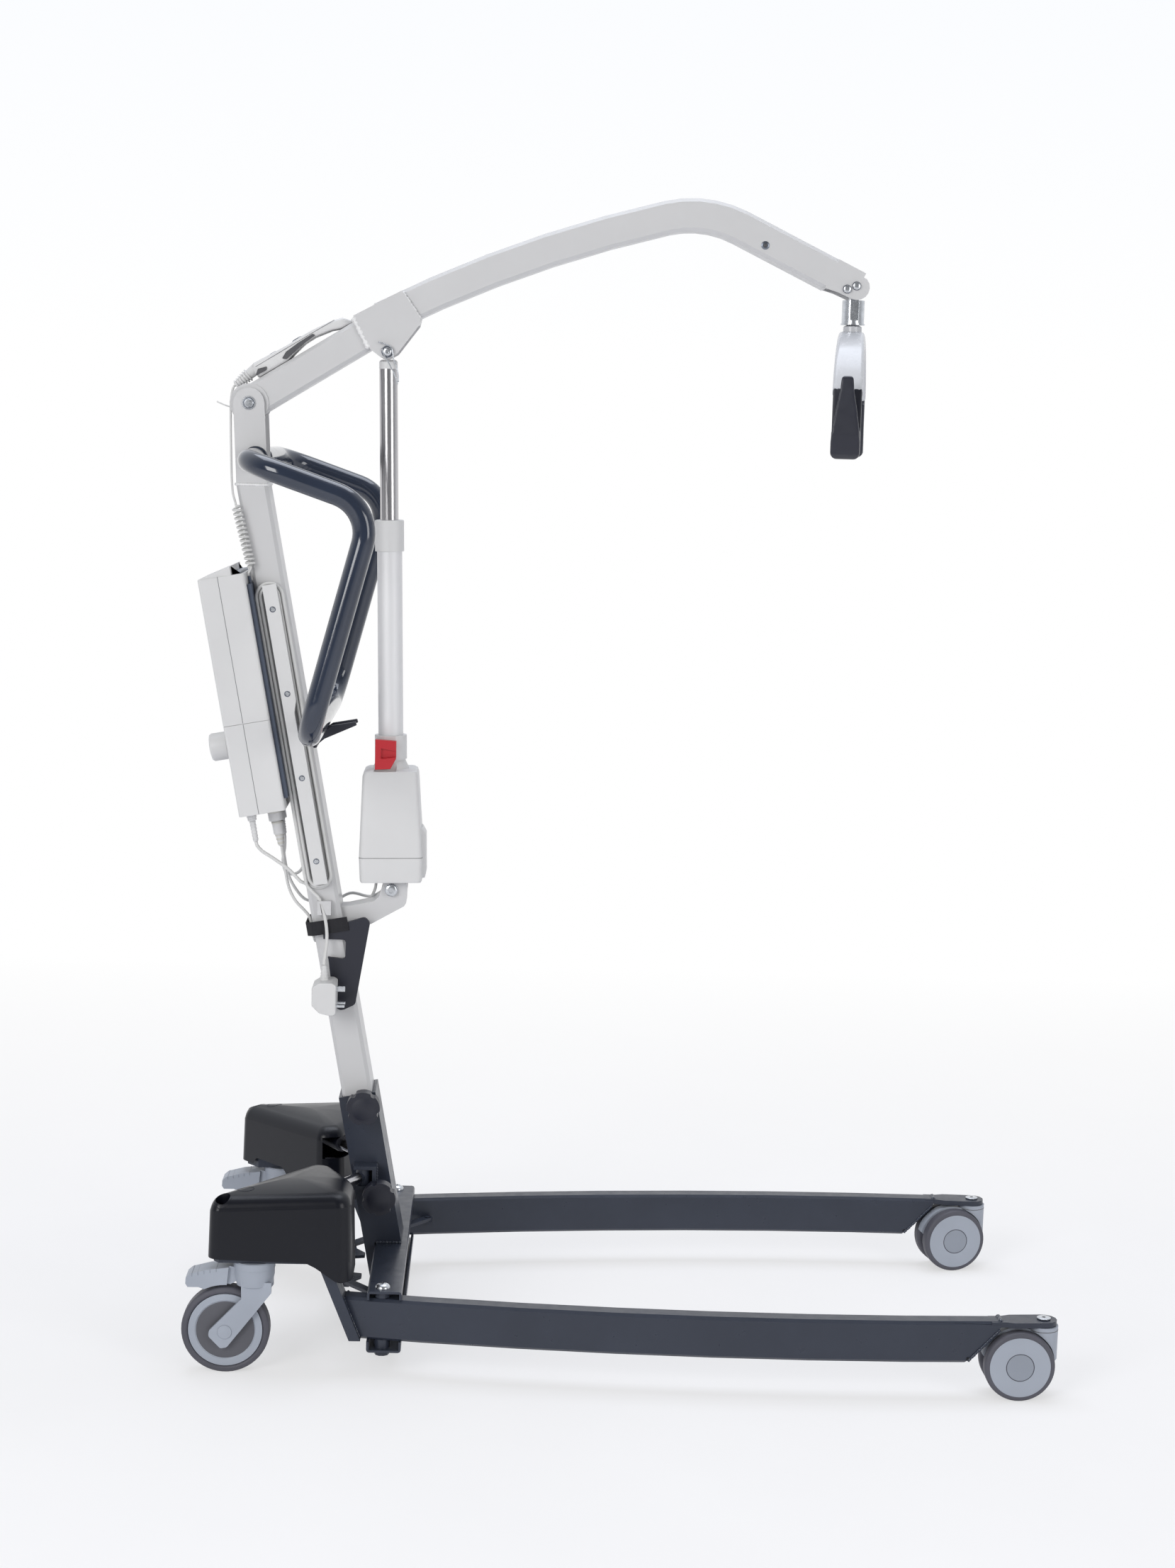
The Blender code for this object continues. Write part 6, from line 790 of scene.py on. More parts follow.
def make_actuator():
    axis = actuator_point(1) - actuator_point(0)
    rings = [actuator_ring(FOOT_CLEAR, 0.0440, 0.0385, 0.006),
             actuator_ring(FOOT_CLEAR + 0.003, 0.0455, 0.0400, 0.007),
             actuator_ring(0.0500, 0.0465, 0.0405, 0.007), actuator_ring(0.1700, 0.0405, 0.0375, 0.007),
             actuator_ring(0.1765, 0.0385, 0.0355, 0.007), actuator_ring(0.1790, 0.0340, 0.0310, 0.006)]
    body = loft(rings)
    bulge = loft([actuator_ring(0.0180, 0.012, 0.022, 0.005, 0.0375),
                  actuator_ring(0.0260, 0.014, 0.026, 0.006, 0.0375),
                  actuator_ring(0.0820, 0.014, 0.026, 0.006, 0.0375),
                  actuator_ring(0.0920, 0.010, 0.022, 0.005, 0.0365)])
    neck = turned([(0, 0.170), (0.0270, 0.170), (0.0260, 0.1810), (0.0215, 0.1905), (0.0215, RING_START),
                   (RING_R, RING_START), (RING_R, RING_END), (0, RING_END)], actuator_point(0), axis, 16)
    eye = rod(actuator_point(0, 0, -FOOT_EYE_WIDTH / 2), actuator_point(0, 0, FOOT_EYE_WIDTH / 2), FOOT_EYE_R,
              14)
    strut = prism([(actuator_point(0, -FOOT_EYE_R * 0.9).x, ACTUATOR_FOOT[1] + 0.002),
                   (actuator_point(0, FOOT_EYE_R * 0.9).x, ACTUATOR_FOOT[1] + 0.002),
                   (actuator_point(0.016, 0.014).x, ACTUATOR_FOOT[1] + 0.016),
                   (actuator_point(0.016, -0.014).x, ACTUATOR_FOOT[1] + 0.016)],
                  -FOOT_EYE_WIDTH / 2, FOOT_EYE_WIDTH / 2)
    eye_hole = rod(actuator_point(0, 0, -0.03), actuator_point(0, 0, 0.03), FOOT_BOLT_R + BORE_CLEARANCE, 12)
    seat = rod(actuator_point(ACTUATOR_TUBE_START - GAP), actuator_point(RING_END + 0.01),
               ACTUATOR_TUBE_R + GAP, 16)
    motor_room = loft([actuator_ring(0.022, 0.0330, 0.0290, 0), actuator_ring(0.160, 0.0290, 0.0260, 0)])
    vent = rod(actuator_point(FOOT_CLEAR - 0.01, 0.030), actuator_point(0.030, 0.030), 0.003, 6)
    catch_room = box((-0.0345 - GAP, -0.034, 0.8330), (-0.0022, -CATCH_BACK + GAP, 0.8900 + CATCH_TRAVEL))
    node("actuator_housing", body, "box_grey",
         [join(bulge), join(neck), join(eye), join(strut), cut(eye_hole), cut(seat), cut(motor_room),
          cut(vent), cut(catch_room)])
    inner = ROD_R + ROD_PLAY
    tube = turned([(0, ACTUATOR_TUBE_START), (ACTUATOR_TUBE_R, ACTUATOR_TUBE_START),
                   (ACTUATOR_TUBE_R, ACTUATOR_TUBE_END - COLLAR_LENGTH),
                   (COLLAR_R, ACTUATOR_TUBE_END - COLLAR_LENGTH), (COLLAR_R, ACTUATOR_TUBE_END - 0.001),
                   (COLLAR_R - 0.001, ACTUATOR_TUBE_END), (inner, ACTUATOR_TUBE_END),
                   (inner, ACTUATOR_TUBE_START + 0.006), (0, ACTUATOR_TUBE_START + 0.006)],
                  actuator_point(0), axis, 16)
    node("actuator_tube", tube, "aluminium")
    shaft = turned([(0, ROD_BOTTOM), (ROD_R, ROD_BOTTOM), (ROD_R, ROD_TOP - 0.012),
                    (ROD_R - 0.0006, ROD_TOP - 0.012),
                    (ROD_R - 0.0006, ROD_TOP - 0.002), (ROD_R - 0.003, ROD_TOP), (0, ROD_TOP)],
                   actuator_point(0), axis, 16)
    node("actuator_rod", shaft, "chrome")
    catch = [(-0.0336, 0.8365), (-0.0336, 0.8810), (-0.0030, 0.8790), (-0.0030, 0.8530), (-0.0110, 0.8380)]
    grip = prism(catch, -0.0330, -CATCH_BACK)
    scoop = prism([(-0.0250, 0.8530), (-0.0250, 0.8680), (0.0, 0.8640), (0.0, 0.8560)], -0.036, -0.0275)
    node("release_catch", grip, "red", [cut(scoop)])


def make_hanger():
    x, z = HANGER_PIVOT
    top, bottom = z - HANGER_TOP, z - HANGER_BOTTOM
    rim = HANGER_R + 0.0012
    profile = [(SWIVEL_R + BORE_CLEARANCE, bottom), (rim, bottom), (rim, bottom + 0.002),
               (HANGER_R, bottom + 0.002),
               (HANGER_R, top), (0, top), (0, bottom + 0.026), (SWIVEL_HEAD_R + 0.0006, bottom + 0.026),
               (SWIVEL_HEAD_R + 0.0006, bottom + 0.0145), (SWIVEL_R + BORE_CLEARANCE, bottom + 0.0145)]
    sleeve = turned(profile, (x, 0, 0), (0, 0, 1), 14)
    eye_half = HANGER_EYE_WIDTH / 2
    eye = arc((x, z), HANGER_EYE_R, -20, 200, 7)
    eye += [(x - HANGER_NECK, top - 0.001), (x + HANGER_NECK, top - 0.001)]
    groove = box((x - 0.006, -HANGER_R - 0.002, bottom + 0.0065),
                 (x + 0.006, -HANGER_R + 0.0035, top + 0.001))
    hole = rod((x, -0.05, z), (x, 0.05, z), TIP_BOLT_R + BORE_CLEARANCE, 12)
    node("hanger", sleeve, "zinc", [join(prism(eye, -eye_half, eye_half)), cut(groove), cut(hole)])


def spreader_point(reach, drop, x=0.0):
    """A point of the bar: reach from the swivel, drop below its middle, before the bar's yaw."""
    return Vector((HANGER_PIVOT[0] + x, reach, HANGER_PIVOT[1] - HANGER_BOTTOM - SPREADER_DROP - drop))


def yawed(bm):
    return turn_about(bm, (HANGER_PIVOT[0], 0), SPREADER_YAW)


def end_heading(side):
    """Way along the bar at one of its ends, towards the far side."""
    reach, drop = (last - before for before, last in zip(*SPREADER_LINE[-2:]))
    return Vector((0, reach, -side * drop)).normalized()


def make_spreader():
    """The bar: an arch whose ends turn down, with a headed swivel stud in the hanger."""
    half = [spreader_point(reach, drop) for reach, drop in SPREADER_LINE]
    mirrored = [Vector((point.x, -point.y, point.z)) for point in half]
    centre = smooth_route(list(reversed(mirrored[1:])) + half, SPREADER_STEP)
    rings = []
    for index, point in enumerate(centre):
        before = centre[max(index - 1, 0)]
        after = centre[min(index + 1, len(centre) - 1)]
        heading = (after - before).normalized()
        if index in (0, len(centre) - 1):
            heading = end_heading(1 if index else -1)
        up = Vector((1, 0, 0)).cross(heading).normalized()
        flare = SPREADER_WIDTH / 2 + SPREADER_FLARE * abs(point.y) / SPREADER_LINE[-1][0]
        rings.append(rounded_ring(point, (1, 0, 0), up, flare, SPREADER_THICKNESS / 2, 0.006, 1))
    rim = HANGER_PIVOT[1] - HANGER_BOTTOM
    seat = rim - SPREADER_DROP
    stud = turned([(0, seat), (0.0135, seat), (0.0135, rim - 0.0025), (SWIVEL_R + 0.003, rim - GAP),
                   (SWIVEL_R, rim - GAP), (SWIVEL_R, rim + SWIVEL_SHANK), (SWIVEL_HEAD_R, rim + SWIVEL_SHANK),
                   (SWIVEL_HEAD_R, rim + SWIVEL_TOP), (0, rim + SWIVEL_TOP)],
                  (HANGER_PIVOT[0], 0, 0), (0, 0, 1), 10)
    node("spreader_bar", yawed(loft(rings)), "paint_white", [join(yawed(stud))])


HANDSET_STATIONS = [(0.0290, HANDSET_LOW + 0.0014, 0.0440, 0.0195), (0.0330, HANDSET_LOW, 0.0460, 0.0225),
                    (0.0783, HANDSET_LOW, 0.0436, 0.0240), (0.0900, 0.0275, 0.0432, 0.0240),
                    (0.1100, 0.0325, 0.0437, 0.0235), (0.1282, 0.0330, 0.0436, 0.0230),
                    (0.1540, 0.0290, 0.0413, 0.0225), (0.1680, HANDSET_LOW + 0.0004, 0.0393, 0.0220),
                    (0.1771, HANDSET_LOW, 0.0366, 0.0200), (0.1850, HANDSET_LOW, 0.0275, 0.0150)]
RELIEF_PLACE = boom_point(0.0310, 0.0380)


def make_handset():
    up = Vector((-math.sin(BOOM_REAR_ANGLE), 0, math.cos(BOOM_REAR_ANGLE)))
    rings = []
    for along, low, high, half in HANDSET_STATIONS:
        corner = min((high - low) * 0.35, 0.006)
        rings.append(rounded_ring(boom_point(along, (low + high) / 2), up, (0, 1, 0), (high - low) / 2, half,
                                  corner, 1))
    steps = []
    relief = turned([(0, -0.004), (0.0085, -0.004), (0.0075, 0.012), (0.0045, RELIEF_LENGTH),
                     (0, RELIEF_LENGTH)],
                    RELIEF_PLACE, RELIEF_AXIS, 8)
    steps.append(join(relief))
    for along in BUTTON_ALONG.values():
        floor, ceiling = BUTTON_RISE - 0.006, BUTTON_RISE + 0.01
        steps.append(cut(rod(boom_point(along, floor), boom_point(along, ceiling), BUTTON_R + 0.0004, 12)))
    node("handset", loft(rings), "box_grey", steps)
    for name, along in BUTTON_ALONG.items():
        base = BUTTON_RISE - 0.006 + BUTTON_TRAVEL + GAP
        top = BUTTON_RISE + 0.0016
        profile = [(0, base), (BUTTON_R, base), (BUTTON_R, top - 0.0008), (BUTTON_R - 0.0012, top), (0, top)]
        button = turned(profile, boom_point(along, 0), up, 12)
        node(f"handset_{name}_button", button, "plate_blue")


def hank_fold(number):
    """One fold of the hank: even ones go round the lower post, odd ones round the upper."""
    lower = number % 2 == 0
    centre = HANK_CENTRES[0] if lower else HANK_CENTRES[1]
    depth = HANK_INNER_Y if number < HANK_FOLDS / 2 else HANK_OUTER_Y
    points = []
    for step in range(FOLD_STEPS + 1):
        share = step / FOLD_STEPS
        turns = number + share
        radius = HANK_OUTER - HANK_STEP * min(turns, HANK_FOLDS - turns)
        angle = math.pi * (share + (1 if lower else 0))
        points.append(mast_point(centre + radius * math.sin(angle), radius * math.cos(angle), depth))
    return points


HANK_FOLDS = 6
HANK_FIRST = 3               # points of the first fold that the incoming lead takes the place of


def hank_points():
    """Spirals in through one layer, climbs along a run, and spirals out again through the other."""
    points = []
    for number in range(HANK_FOLDS):
        points += hank_fold(number)[HANK_FIRST if number == 0 else 0:]
    first = points[0] + (points[0] - points[1]).normalized() * 2 * LEAD_R
    last = mast_point(HANK_CENTRES[0] + HANK_TAIL, -HANK_OUTER, HANK_OUTER_Y)
    return [first] + points + [last]


def curl_points():
    """The handset lead's curls, from its socket on the box's plate up to the straight lead."""
    start = mast_point(PLATE_SPAN[1] + SOCKET_HEIGHT + GAP, SOCKET_FORWARD, SOCKET_SIDE)
    low, high = CURL_LINE
    axis = (high - low).normalized()
    across = Vector((0, 1, 0))
    forward = across.cross(axis).normalized()
    ramp = CURL_POINTS // 2
    count = CURLS * CURL_POINTS
    points = [start, start + axis * 2 * CURL_LEAD_R]
    for step in range(count + 1):
        radius = CURL_R * min(1, (step + 1) / ramp, (count - step + 1) / ramp)
        angle = 2 * math.pi * step / CURL_POINTS + CURL_TURN
        centre = low.lerp(high, step / count)
        points.append(centre + across * radius * math.cos(angle) + forward * radius * math.sin(angle))
    points += [high + axis * 0.003, high + axis * (0.003 + 2 * CURL_LEAD_R)]
    return points


CURL_LINE = (mast_point(1.1500, -0.0200, -0.0440), Vector((-0.2375, -0.0440, 1.2150)))
CURL_TURN = math.pi


def beyond(points, step):
    """A point past the end of a route, straight on."""
    return points[-1] + (points[-1] - points[-2]).normalized() * step


PLUG_MIDDLE_Y = -0.067
PLUG_RELIEF_START = Vector((-0.1003, PLUG_MIDDLE_Y, 0.5290))
PLUG_RELIEF_END = Vector((-0.1010, PLUG_MIDDLE_Y + 0.0010, 0.5517))


def make_cables():
    """Two leads from the box round the mast to the actuator, and one up to the plate's socket."""
    stub = 2 * CABLE_R
    motor = [gland_end("motor"), gland_end("motor", stub), mast_point(0.7030, -0.0500, -0.0150),
             mast_point(0.6763, -0.0490, -0.0150), mast_point(0.6560, -0.0430, -0.0160),
             mast_point(0.6400, -0.0325, -0.0170), mast_point(0.6290, -0.0264, -0.0180),
             mast_point(0.6144, -0.0256, -0.0180), mast_point(0.5990, -0.0258, -0.0120),
             mast_point(0.5880, -0.0262, 0.0050), mast_point(0.5880, -0.0262, 0.0280),
             mast_point(0.5895, -0.0262, 0.0350), mast_point(0.5915, -0.0215, 0.0405),
             mast_point(0.5940, -0.0100, 0.0415), mast_point(0.5980, 0.0050, 0.0418),
             Vector((-0.0700, 0.0400, 0.6080)), Vector((-0.0450, 0.0360, 0.6270)),
             Vector((-0.0335, 0.0300, 0.6480)), actuator_point(FOOT_CLEAR - GAP - stub, -0.0240, 0.0280),
             actuator_point(FOOT_CLEAR - GAP, -0.0240, 0.0280)]
    signal = [gland_end("signal"), gland_end("signal", stub), mast_point(0.7155, -0.0504, 0.0085),
              mast_point(0.6920, -0.0497, 0.0120), mast_point(0.6695, -0.0440, 0.0180),
              mast_point(0.6480, -0.0330, 0.0300), mast_point(0.6400, -0.0150, 0.0420),
              mast_point(0.6350, 0.0050, 0.0425), Vector((-0.0700, 0.0420, 0.6400)),
              Vector((-0.0400, 0.0400, 0.6360)), Vector((-0.0190, 0.0330, 0.6500)),
              actuator_point(FOOT_CLEAR - GAP - stub, -0.0110, 0.0300),
              actuator_point(FOOT_CLEAR - GAP, -0.0110, 0.0300)]
    box, plate = BOX_BOTTOM, PLATE_SPAN[0]
    handset = [gland_end("handset"), gland_end("handset", stub), mast_point(box - 0.0685, -0.0500, 0.0302),
               mast_point(box - 0.0865, -0.0560, 0.0310), mast_point(plate - 0.1190, -0.0560, 0.0330),
               mast_point(plate - 0.1265, -0.0500, 0.0360), mast_point(plate - 0.1280, -0.0410, 0.0400),
               mast_point(plate - 0.1220, -0.0310, 0.0450), mast_point(plate - 0.1050, -0.0257, 0.0490),
               mast_point(plate - 0.0650, -0.0254, 0.0500), mast_point(plate - 0.0250, -0.0254, 0.0500),
               mast_point(plate - GAP, -0.0254, 0.0500)]
    free_lead("motor_cable", motor, CABLE_R)
    free_lead("signal_cable", signal, CABLE_R)
    free_lead("handset_cable", handset, CABLE_R)


# Camera: the photograph's own place, direction and angle of view

PICTURE_HEIGHT = 2212
FOCAL_PIXELS = 3703
SENSOR = 36.0
CAMERA_PLACE = Vector((-0.1847, -3.83855, 1.339))
CAMERA_PITCH = math.radians(7.72)
CAMERA_ROLL = math.radians(1.58)
CAMERA_HEADING = math.radians(1.95)


def make_camera():
    data = bpy.data.cameras.new("camera")
    data.sensor_width = SENSOR
    data.lens = SENSOR * FOCAL_PIXELS / PICTURE_HEIGHT
    data.clip_start, data.clip_end = 0.1, 60
    forward = Vector((math.sin(CAMERA_HEADING) * math.cos(CAMERA_PITCH),
                      math.cos(CAMERA_HEADING) * math.cos(CAMERA_PITCH), -math.sin(CAMERA_PITCH)))
    level = Vector((math.cos(CAMERA_HEADING), -math.sin(CAMERA_HEADING), 0))
    down = forward.cross(level)
    right = level * math.cos(CAMERA_ROLL) - down * math.sin(CAMERA_ROLL)
    below = level * math.sin(CAMERA_ROLL) + down * math.cos(CAMERA_ROLL)
    camera = bpy.data.objects.new("camera", data)
    bpy.context.collection.objects.link(camera)
    turn = Matrix((right, -below, -forward)).transposed().to_4x4()
    camera.matrix_world = Matrix.Translation(CAMERA_PLACE) @ turn
    bpy.context.scene.camera = camera


# Materials

COAT_ROUGHNESS = 0.08
LEAST_ROUGHNESS = 0.03
GLOSS_PATCHES = 6            # times as many patches of gloss as patches of tone


def link(tree, start, end):
    tree.links.new(start, end)


def noise(tree, vector, scale, detail=3.0, roughness=0.55):
    texture = tree.nodes.new("ShaderNodeTexNoise")
    texture.inputs["Scale"].default_value = scale
    texture.inputs["Detail"].default_value = detail
    texture.inputs["Roughness"].default_value = roughness
    link(tree, vector, texture.inputs["Vector"])
    return texture.outputs["Fac"]


def spread_of(tree, value, low, high, start=0.3, finish=0.7):
    """A noise value spread over a range."""
    ramp = tree.nodes.new("ShaderNodeMapRange")
    ramp.inputs["From Min"].default_value = start
    ramp.inputs["From Max"].default_value = finish
    ramp.inputs["To Min"].default_value = low
    ramp.inputs["To Max"].default_value = high
    link(tree, value, ramp.inputs["Value"])
    return ramp.outputs["Result"]


def mixed(tree, factor, first, second):
    """A colour between two, each a colour or a socket."""
    mix = tree.nodes.new("ShaderNodeMix")
    mix.data_type = "RGBA"
    link(tree, factor, mix.inputs["Factor"])
    for name, colour in (("A", first), ("B", second)):
        socket = [entry for entry in mix.inputs if entry.name == name and entry.type == "RGBA"][0]
        if isinstance(colour, tuple):
            socket.default_value = (*colour, 1.0)
        else:
            link(tree, colour, socket)
    return [entry for entry in mix.outputs if entry.type == "RGBA"][0]


def scaled(colour, share):
    return tuple(min(1.0, part * share) for part in colour)


def finish_of(name, colour, roughness, metallic=0.0, spread=0.06, blotch=11, gloss=0.06, grain=280,
              depth=0.000018, stretch=(1, 1, 1), coat=0.0, weave=False, shine=0.5):
    """A material with patches of tone and gloss, and a fine grain or a woven relief."""
    material = bpy.data.materials.new(name)
    material.use_nodes = True
    material.diffuse_color = (*colour, 1.0)
    tree = material.node_tree
    shader = tree.nodes["Principled BSDF"]
    shader.inputs["Metallic"].default_value = metallic
    shader.inputs["Specular IOR Level"].default_value = shine
    shader.inputs["Coat Weight"].default_value = coat
    shader.inputs["Coat Roughness"].default_value = COAT_ROUGHNESS
    place = tree.nodes.new("ShaderNodeTexCoord")
    mapping = tree.nodes.new("ShaderNodeMapping")
    mapping.inputs["Scale"].default_value = stretch
    link(tree, place.outputs["Object"], mapping.inputs["Vector"])
    vector = mapping.outputs["Vector"]
    patches = spread_of(tree, noise(tree, vector, blotch, 4), 0, 1)
    tone = mixed(tree, patches, scaled(colour, 1 - spread), scaled(colour, 1 + spread))
    level = spread_of(tree, noise(tree, vector, blotch * GLOSS_PATCHES, 5),
                      max(LEAST_ROUGHNESS, roughness - gloss), roughness + gloss)
    link(tree, tone, shader.inputs["Base Color"])
    link(tree, level, shader.inputs["Roughness"])
    relief = tree.nodes.new("ShaderNodeBump")
    relief.inputs["Distance"].default_value = depth
    relief.inputs["Strength"].default_value = 1.0
    height = noise(tree, vector, grain, 2)
    if weave:
        height = woven(tree, place.outputs["Object"])
    link(tree, height, relief.inputs["Height"])
    link(tree, relief.outputs["Normal"], shader.inputs["Normal"])
    return material


def woven(tree, vector):
    """Ribs along the webbing crossed by the weft."""
    bands = []
    for direction, scale in (("Z", 190), ("X", 120)):
        wave = tree.nodes.new("ShaderNodeTexWave")
        wave.bands_direction = direction
        wave.inputs["Scale"].default_value = scale
        wave.inputs["Distortion"].default_value = 0.6
        link(tree, vector, wave.inputs["Vector"])
        bands.append(wave.outputs["Fac"])
    product = tree.nodes.new("ShaderNodeMath")
    product.operation = "MULTIPLY"
    link(tree, bands[0], product.inputs[0])
    link(tree, bands[1], product.inputs[1])
    return product.outputs["Value"]


FINISHES = {
    "frame_grey": finish_of("frame_grey", (0.029, 0.035, 0.052), 0.33, depth=0.000012, grain=208,
                            spread=0.08, shine=0.40),
    "paint_white": finish_of("paint_white", (0.56, 0.56, 0.565), 0.34, depth=0.000012, grain=192,
                             spread=0.015),
    "gloss_white": finish_of("gloss_white", (0.55, 0.56, 0.585), 0.24, depth=0.000006, grain=80,
                             spread=0.02),
    # Lighter than the white paint: a painted highlight on the lumps of the weld beads.
    "weld_highlight_white": finish_of("weld_highlight_white", (0.74, 0.74, 0.74), 0.30, depth=0.00006, grain=168,
                            spread=0.04),
    # The covers' own satin black, also used for the discs painted as drain hole shade on the legs.
    "cover_black": finish_of("cover_black", (0.0040, 0.0048, 0.0090), 0.30, depth=0.0000048, grain=520,
                             spread=0.05, shine=0.30, gloss=0.02),
    "handle_blue": finish_of("handle_blue", (0.016, 0.024, 0.045), 0.13, depth=0.000006, grain=104,
                             coat=0.5, spread=0.12, gloss=0.04),
    "zinc": finish_of("zinc", (0.58, 0.60, 0.63), 0.27, 1.0, grain=360, depth=0.000018, spread=0.12,
                      blotch=120),
    "chrome": finish_of("chrome", (0.50, 0.49, 0.50), 0.22, 1.0, grain=240, depth=0.0000024, spread=0.04,
                        gloss=0.04, stretch=(1, 1, 0.05)),
    "aluminium": finish_of("aluminium", (0.70, 0.70, 0.71), 0.58, 0.40, grain=600, depth=0.0000036,
                           spread=0.02, gloss=0.02, stretch=(1, 1, 0.02)),
    "castor_grey": finish_of("castor_grey", (0.330, 0.360, 0.415), 0.42, grain=480, depth=0.000018,
                             spread=0.05),
    "tyre_grey": finish_of("tyre_grey", (0.080, 0.080, 0.098), 0.55, grain=640, depth=0.000024,
                           spread=0.10, shine=0.4),
    "hub_grey": finish_of("hub_grey", (0.085, 0.086, 0.100), 0.50, grain=600, depth=0.000024,
                          spread=0.08),
    "box_grey": finish_of("box_grey", (0.63, 0.63, 0.63), 0.46, grain=600, depth=0.000018, spread=0.02),
    "plate_blue": finish_of("plate_blue", (0.055, 0.070, 0.105), 0.48, grain=520, depth=0.000024,
                            spread=0.08),
    "black": finish_of("black", (0.0125, 0.0140, 0.0250), 0.42, grain=480, depth=0.000012, spread=0.08),
    "seam_grey": finish_of("seam_grey", (0.20, 0.20, 0.21), 0.60, grain=360, depth=0.000012),
    # The real caps and latch, and strips painted as the shade of the brake pedal's grooves.
    "cap_grey_and_groove_shade": finish_of("cap_grey_and_groove_shade", (0.255, 0.280, 0.325), 0.40, grain=480, depth=0.000018,
                          spread=0.05),
    "steel": finish_of("steel", (0.20, 0.22, 0.26), 0.32, 1.0, grain=360, depth=0.000018, spread=0.12,
                       blotch=120),
    # The handset's real dark inserts, and dark discs painted as the shade in key recesses.
    "insert_and_recess_shade_grey": finish_of("insert_and_recess_shade_grey", (0.075, 0.075, 0.082), 0.55, grain=520, depth=0.000024),
    "red": finish_of("red", (0.52, 0.018, 0.028), 0.36, grain=480, depth=0.000018, spread=0.06),
    "lead_grey": finish_of("lead_grey", (0.62, 0.62, 0.61), 0.46, grain=440, depth=0.000012, spread=0.04),
    "connector_beige": finish_of("connector_beige", (0.56, 0.55, 0.51), 0.46, grain=520, depth=0.000018),
    "webbing": finish_of("webbing", (0.014, 0.014, 0.018), 0.86, depth=0.00012, spread=0.25, weave=True),
}


# Pieces

DEFAULT_EDGE = 0.0007
SAME_PLACE = 1e-6                # points closer than this are one
FLAT_FOLD = math.radians(0.4)    # faces that meet at less than this are one plane
SHARP_FOLD = math.radians(32)    # a fold of more than this is an edge, and is rounded


def place_mesh(name, bm):
    bm.transform(Matrix.Translation(SHIFT))
    bmesh.ops.recalc_face_normals(bm, faces=bm.faces)
    mesh = bpy.data.meshes.new(name)
    bm.to_mesh(mesh)
    bm.free()
    piece = bpy.data.objects.new(name, mesh)
    bpy.context.collection.objects.link(piece)
    return piece


def soften(piece, width, segments=2, flatten=False):
    """Rounds the hard edges and shades the rest smooth."""
    bm = bmesh.new()
    bm.from_mesh(piece.data)
    bmesh.ops.remove_doubles(bm, verts=bm.verts, dist=SAME_PLACE)
    if flatten:
        bmesh.ops.dissolve_limit(bm, angle_limit=FLAT_FOLD, verts=bm.verts, edges=bm.edges)
    bm.to_mesh(piece.data)
    bm.free()
    piece.data.shade_smooth()
    if width > 0:
        edges = piece.modifiers.new("edges", "BEVEL")
        edges.width = width
        edges.segments = segments
        edges.limit_method = "ANGLE"
        edges.angle_limit = SHARP_FOLD
    normals = piece.modifiers.new("normals", "WEIGHTED_NORMAL")
    normals.keep_sharp = False


ROUNDED = {"near_sling_hook": (0.0011, 10), "far_sling_hook": (0.0011, 10)}


def melt(piece, voxel, passes):
    """Rounds every edge of a moulded piece: an even mesh, smoothed."""
    mesh = piece.modifiers.new("even", "REMESH")
    mesh.mode = "VOXEL"
    mesh.voxel_size = voxel
    mesh.use_smooth_shade = True
    smooth = piece.modifiers.new("smooth", "SMOOTH")
    smooth.factor = 0.5
    smooth.iterations = passes


def dress(piece, finish, body, edge=DEFAULT_EDGE, segments=2, flatten=False):
    if edge is not None:
        soften(piece, edge, segments, flatten)
    piece.data.materials.clear()
    piece.data.materials.append(FINISHES[finish])
    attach(piece, body)
    return piece


LOOKS = {
    "spreader_bar": "gloss_white", "near_front_outer_wheel": "tyre_grey",
    "near_front_inner_wheel": "tyre_grey", "far_front_outer_wheel": "tyre_grey",
    "far_front_inner_wheel": "tyre_grey",
}
EDGE_OF = {
    "near_sling_hook": 0.0036, "far_sling_hook": 0.0036, "near_castor_cover": 0.0006,
    "far_castor_cover": 0.0006, "upper_knob": 0.0022, "lower_knob": 0.0022, "handset": 0.0010,
    "control_box": 0.0010, "battery_pack": 0.0014, "near_rear_fork": 0.0010, "far_rear_fork": 0.0010,
    "near_brake_pedal": 0.0016, "far_brake_pedal": 0.0016, "actuator_housing": 0.0010, "stop_button": 0.0,
    "near_rear_tyre": 0.0030, "far_rear_tyre": 0.0030, "near_front_castor": 0.0008,
    "far_front_castor": 0.0008, "mains_plug": 0.0016, "actuator_rod": 0.0003, "release_catch": 0.0008,
}


def carved(name, bm, steps):
    """A placed solid after its unions and cuts, made in order."""
    solid = place_mesh(name, bm)
    tools = []
    for number, (operation, tool_mesh) in enumerate(steps):
        tool = place_mesh(f"{name}_tool_{number}", tool_mesh)
        tools.append(tool)
        modifier = solid.modifiers.new(f"step_{number}", "BOOLEAN")
        modifier.operation = operation
        modifier.solver = "EXACT"
        modifier.object = tool
    bpy.context.view_layer.update()
    graph = bpy.context.evaluated_depsgraph_get()
    mesh = bpy.data.meshes.new_from_object(solid.evaluated_get(graph))
    solid.modifiers.clear()
    solid.data = mesh
    for tool in tools:
        bpy.data.objects.remove(tool, do_unlink=True)
    return solid


def node(name, bm, colour, steps=()):
    """The fine form of one CAD node."""
    solid = carved(f"{name}_form", bm, steps)
    edge = EDGE_OF.get(name, DEFAULT_EDGE)
    if name in ROUNDED:
        melt(solid, *ROUNDED[name])
        edge = None
    dress(solid, LOOKS.get(name, colour), CARRIERS[name], edge)
    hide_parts(name)
    return solid


def worked(name, base, steps, finish, body, edge=DEFAULT_EDGE):
    """An added piece that is worked with cuts."""
    return dress(carved(name, base, steps), finish, body, edge)


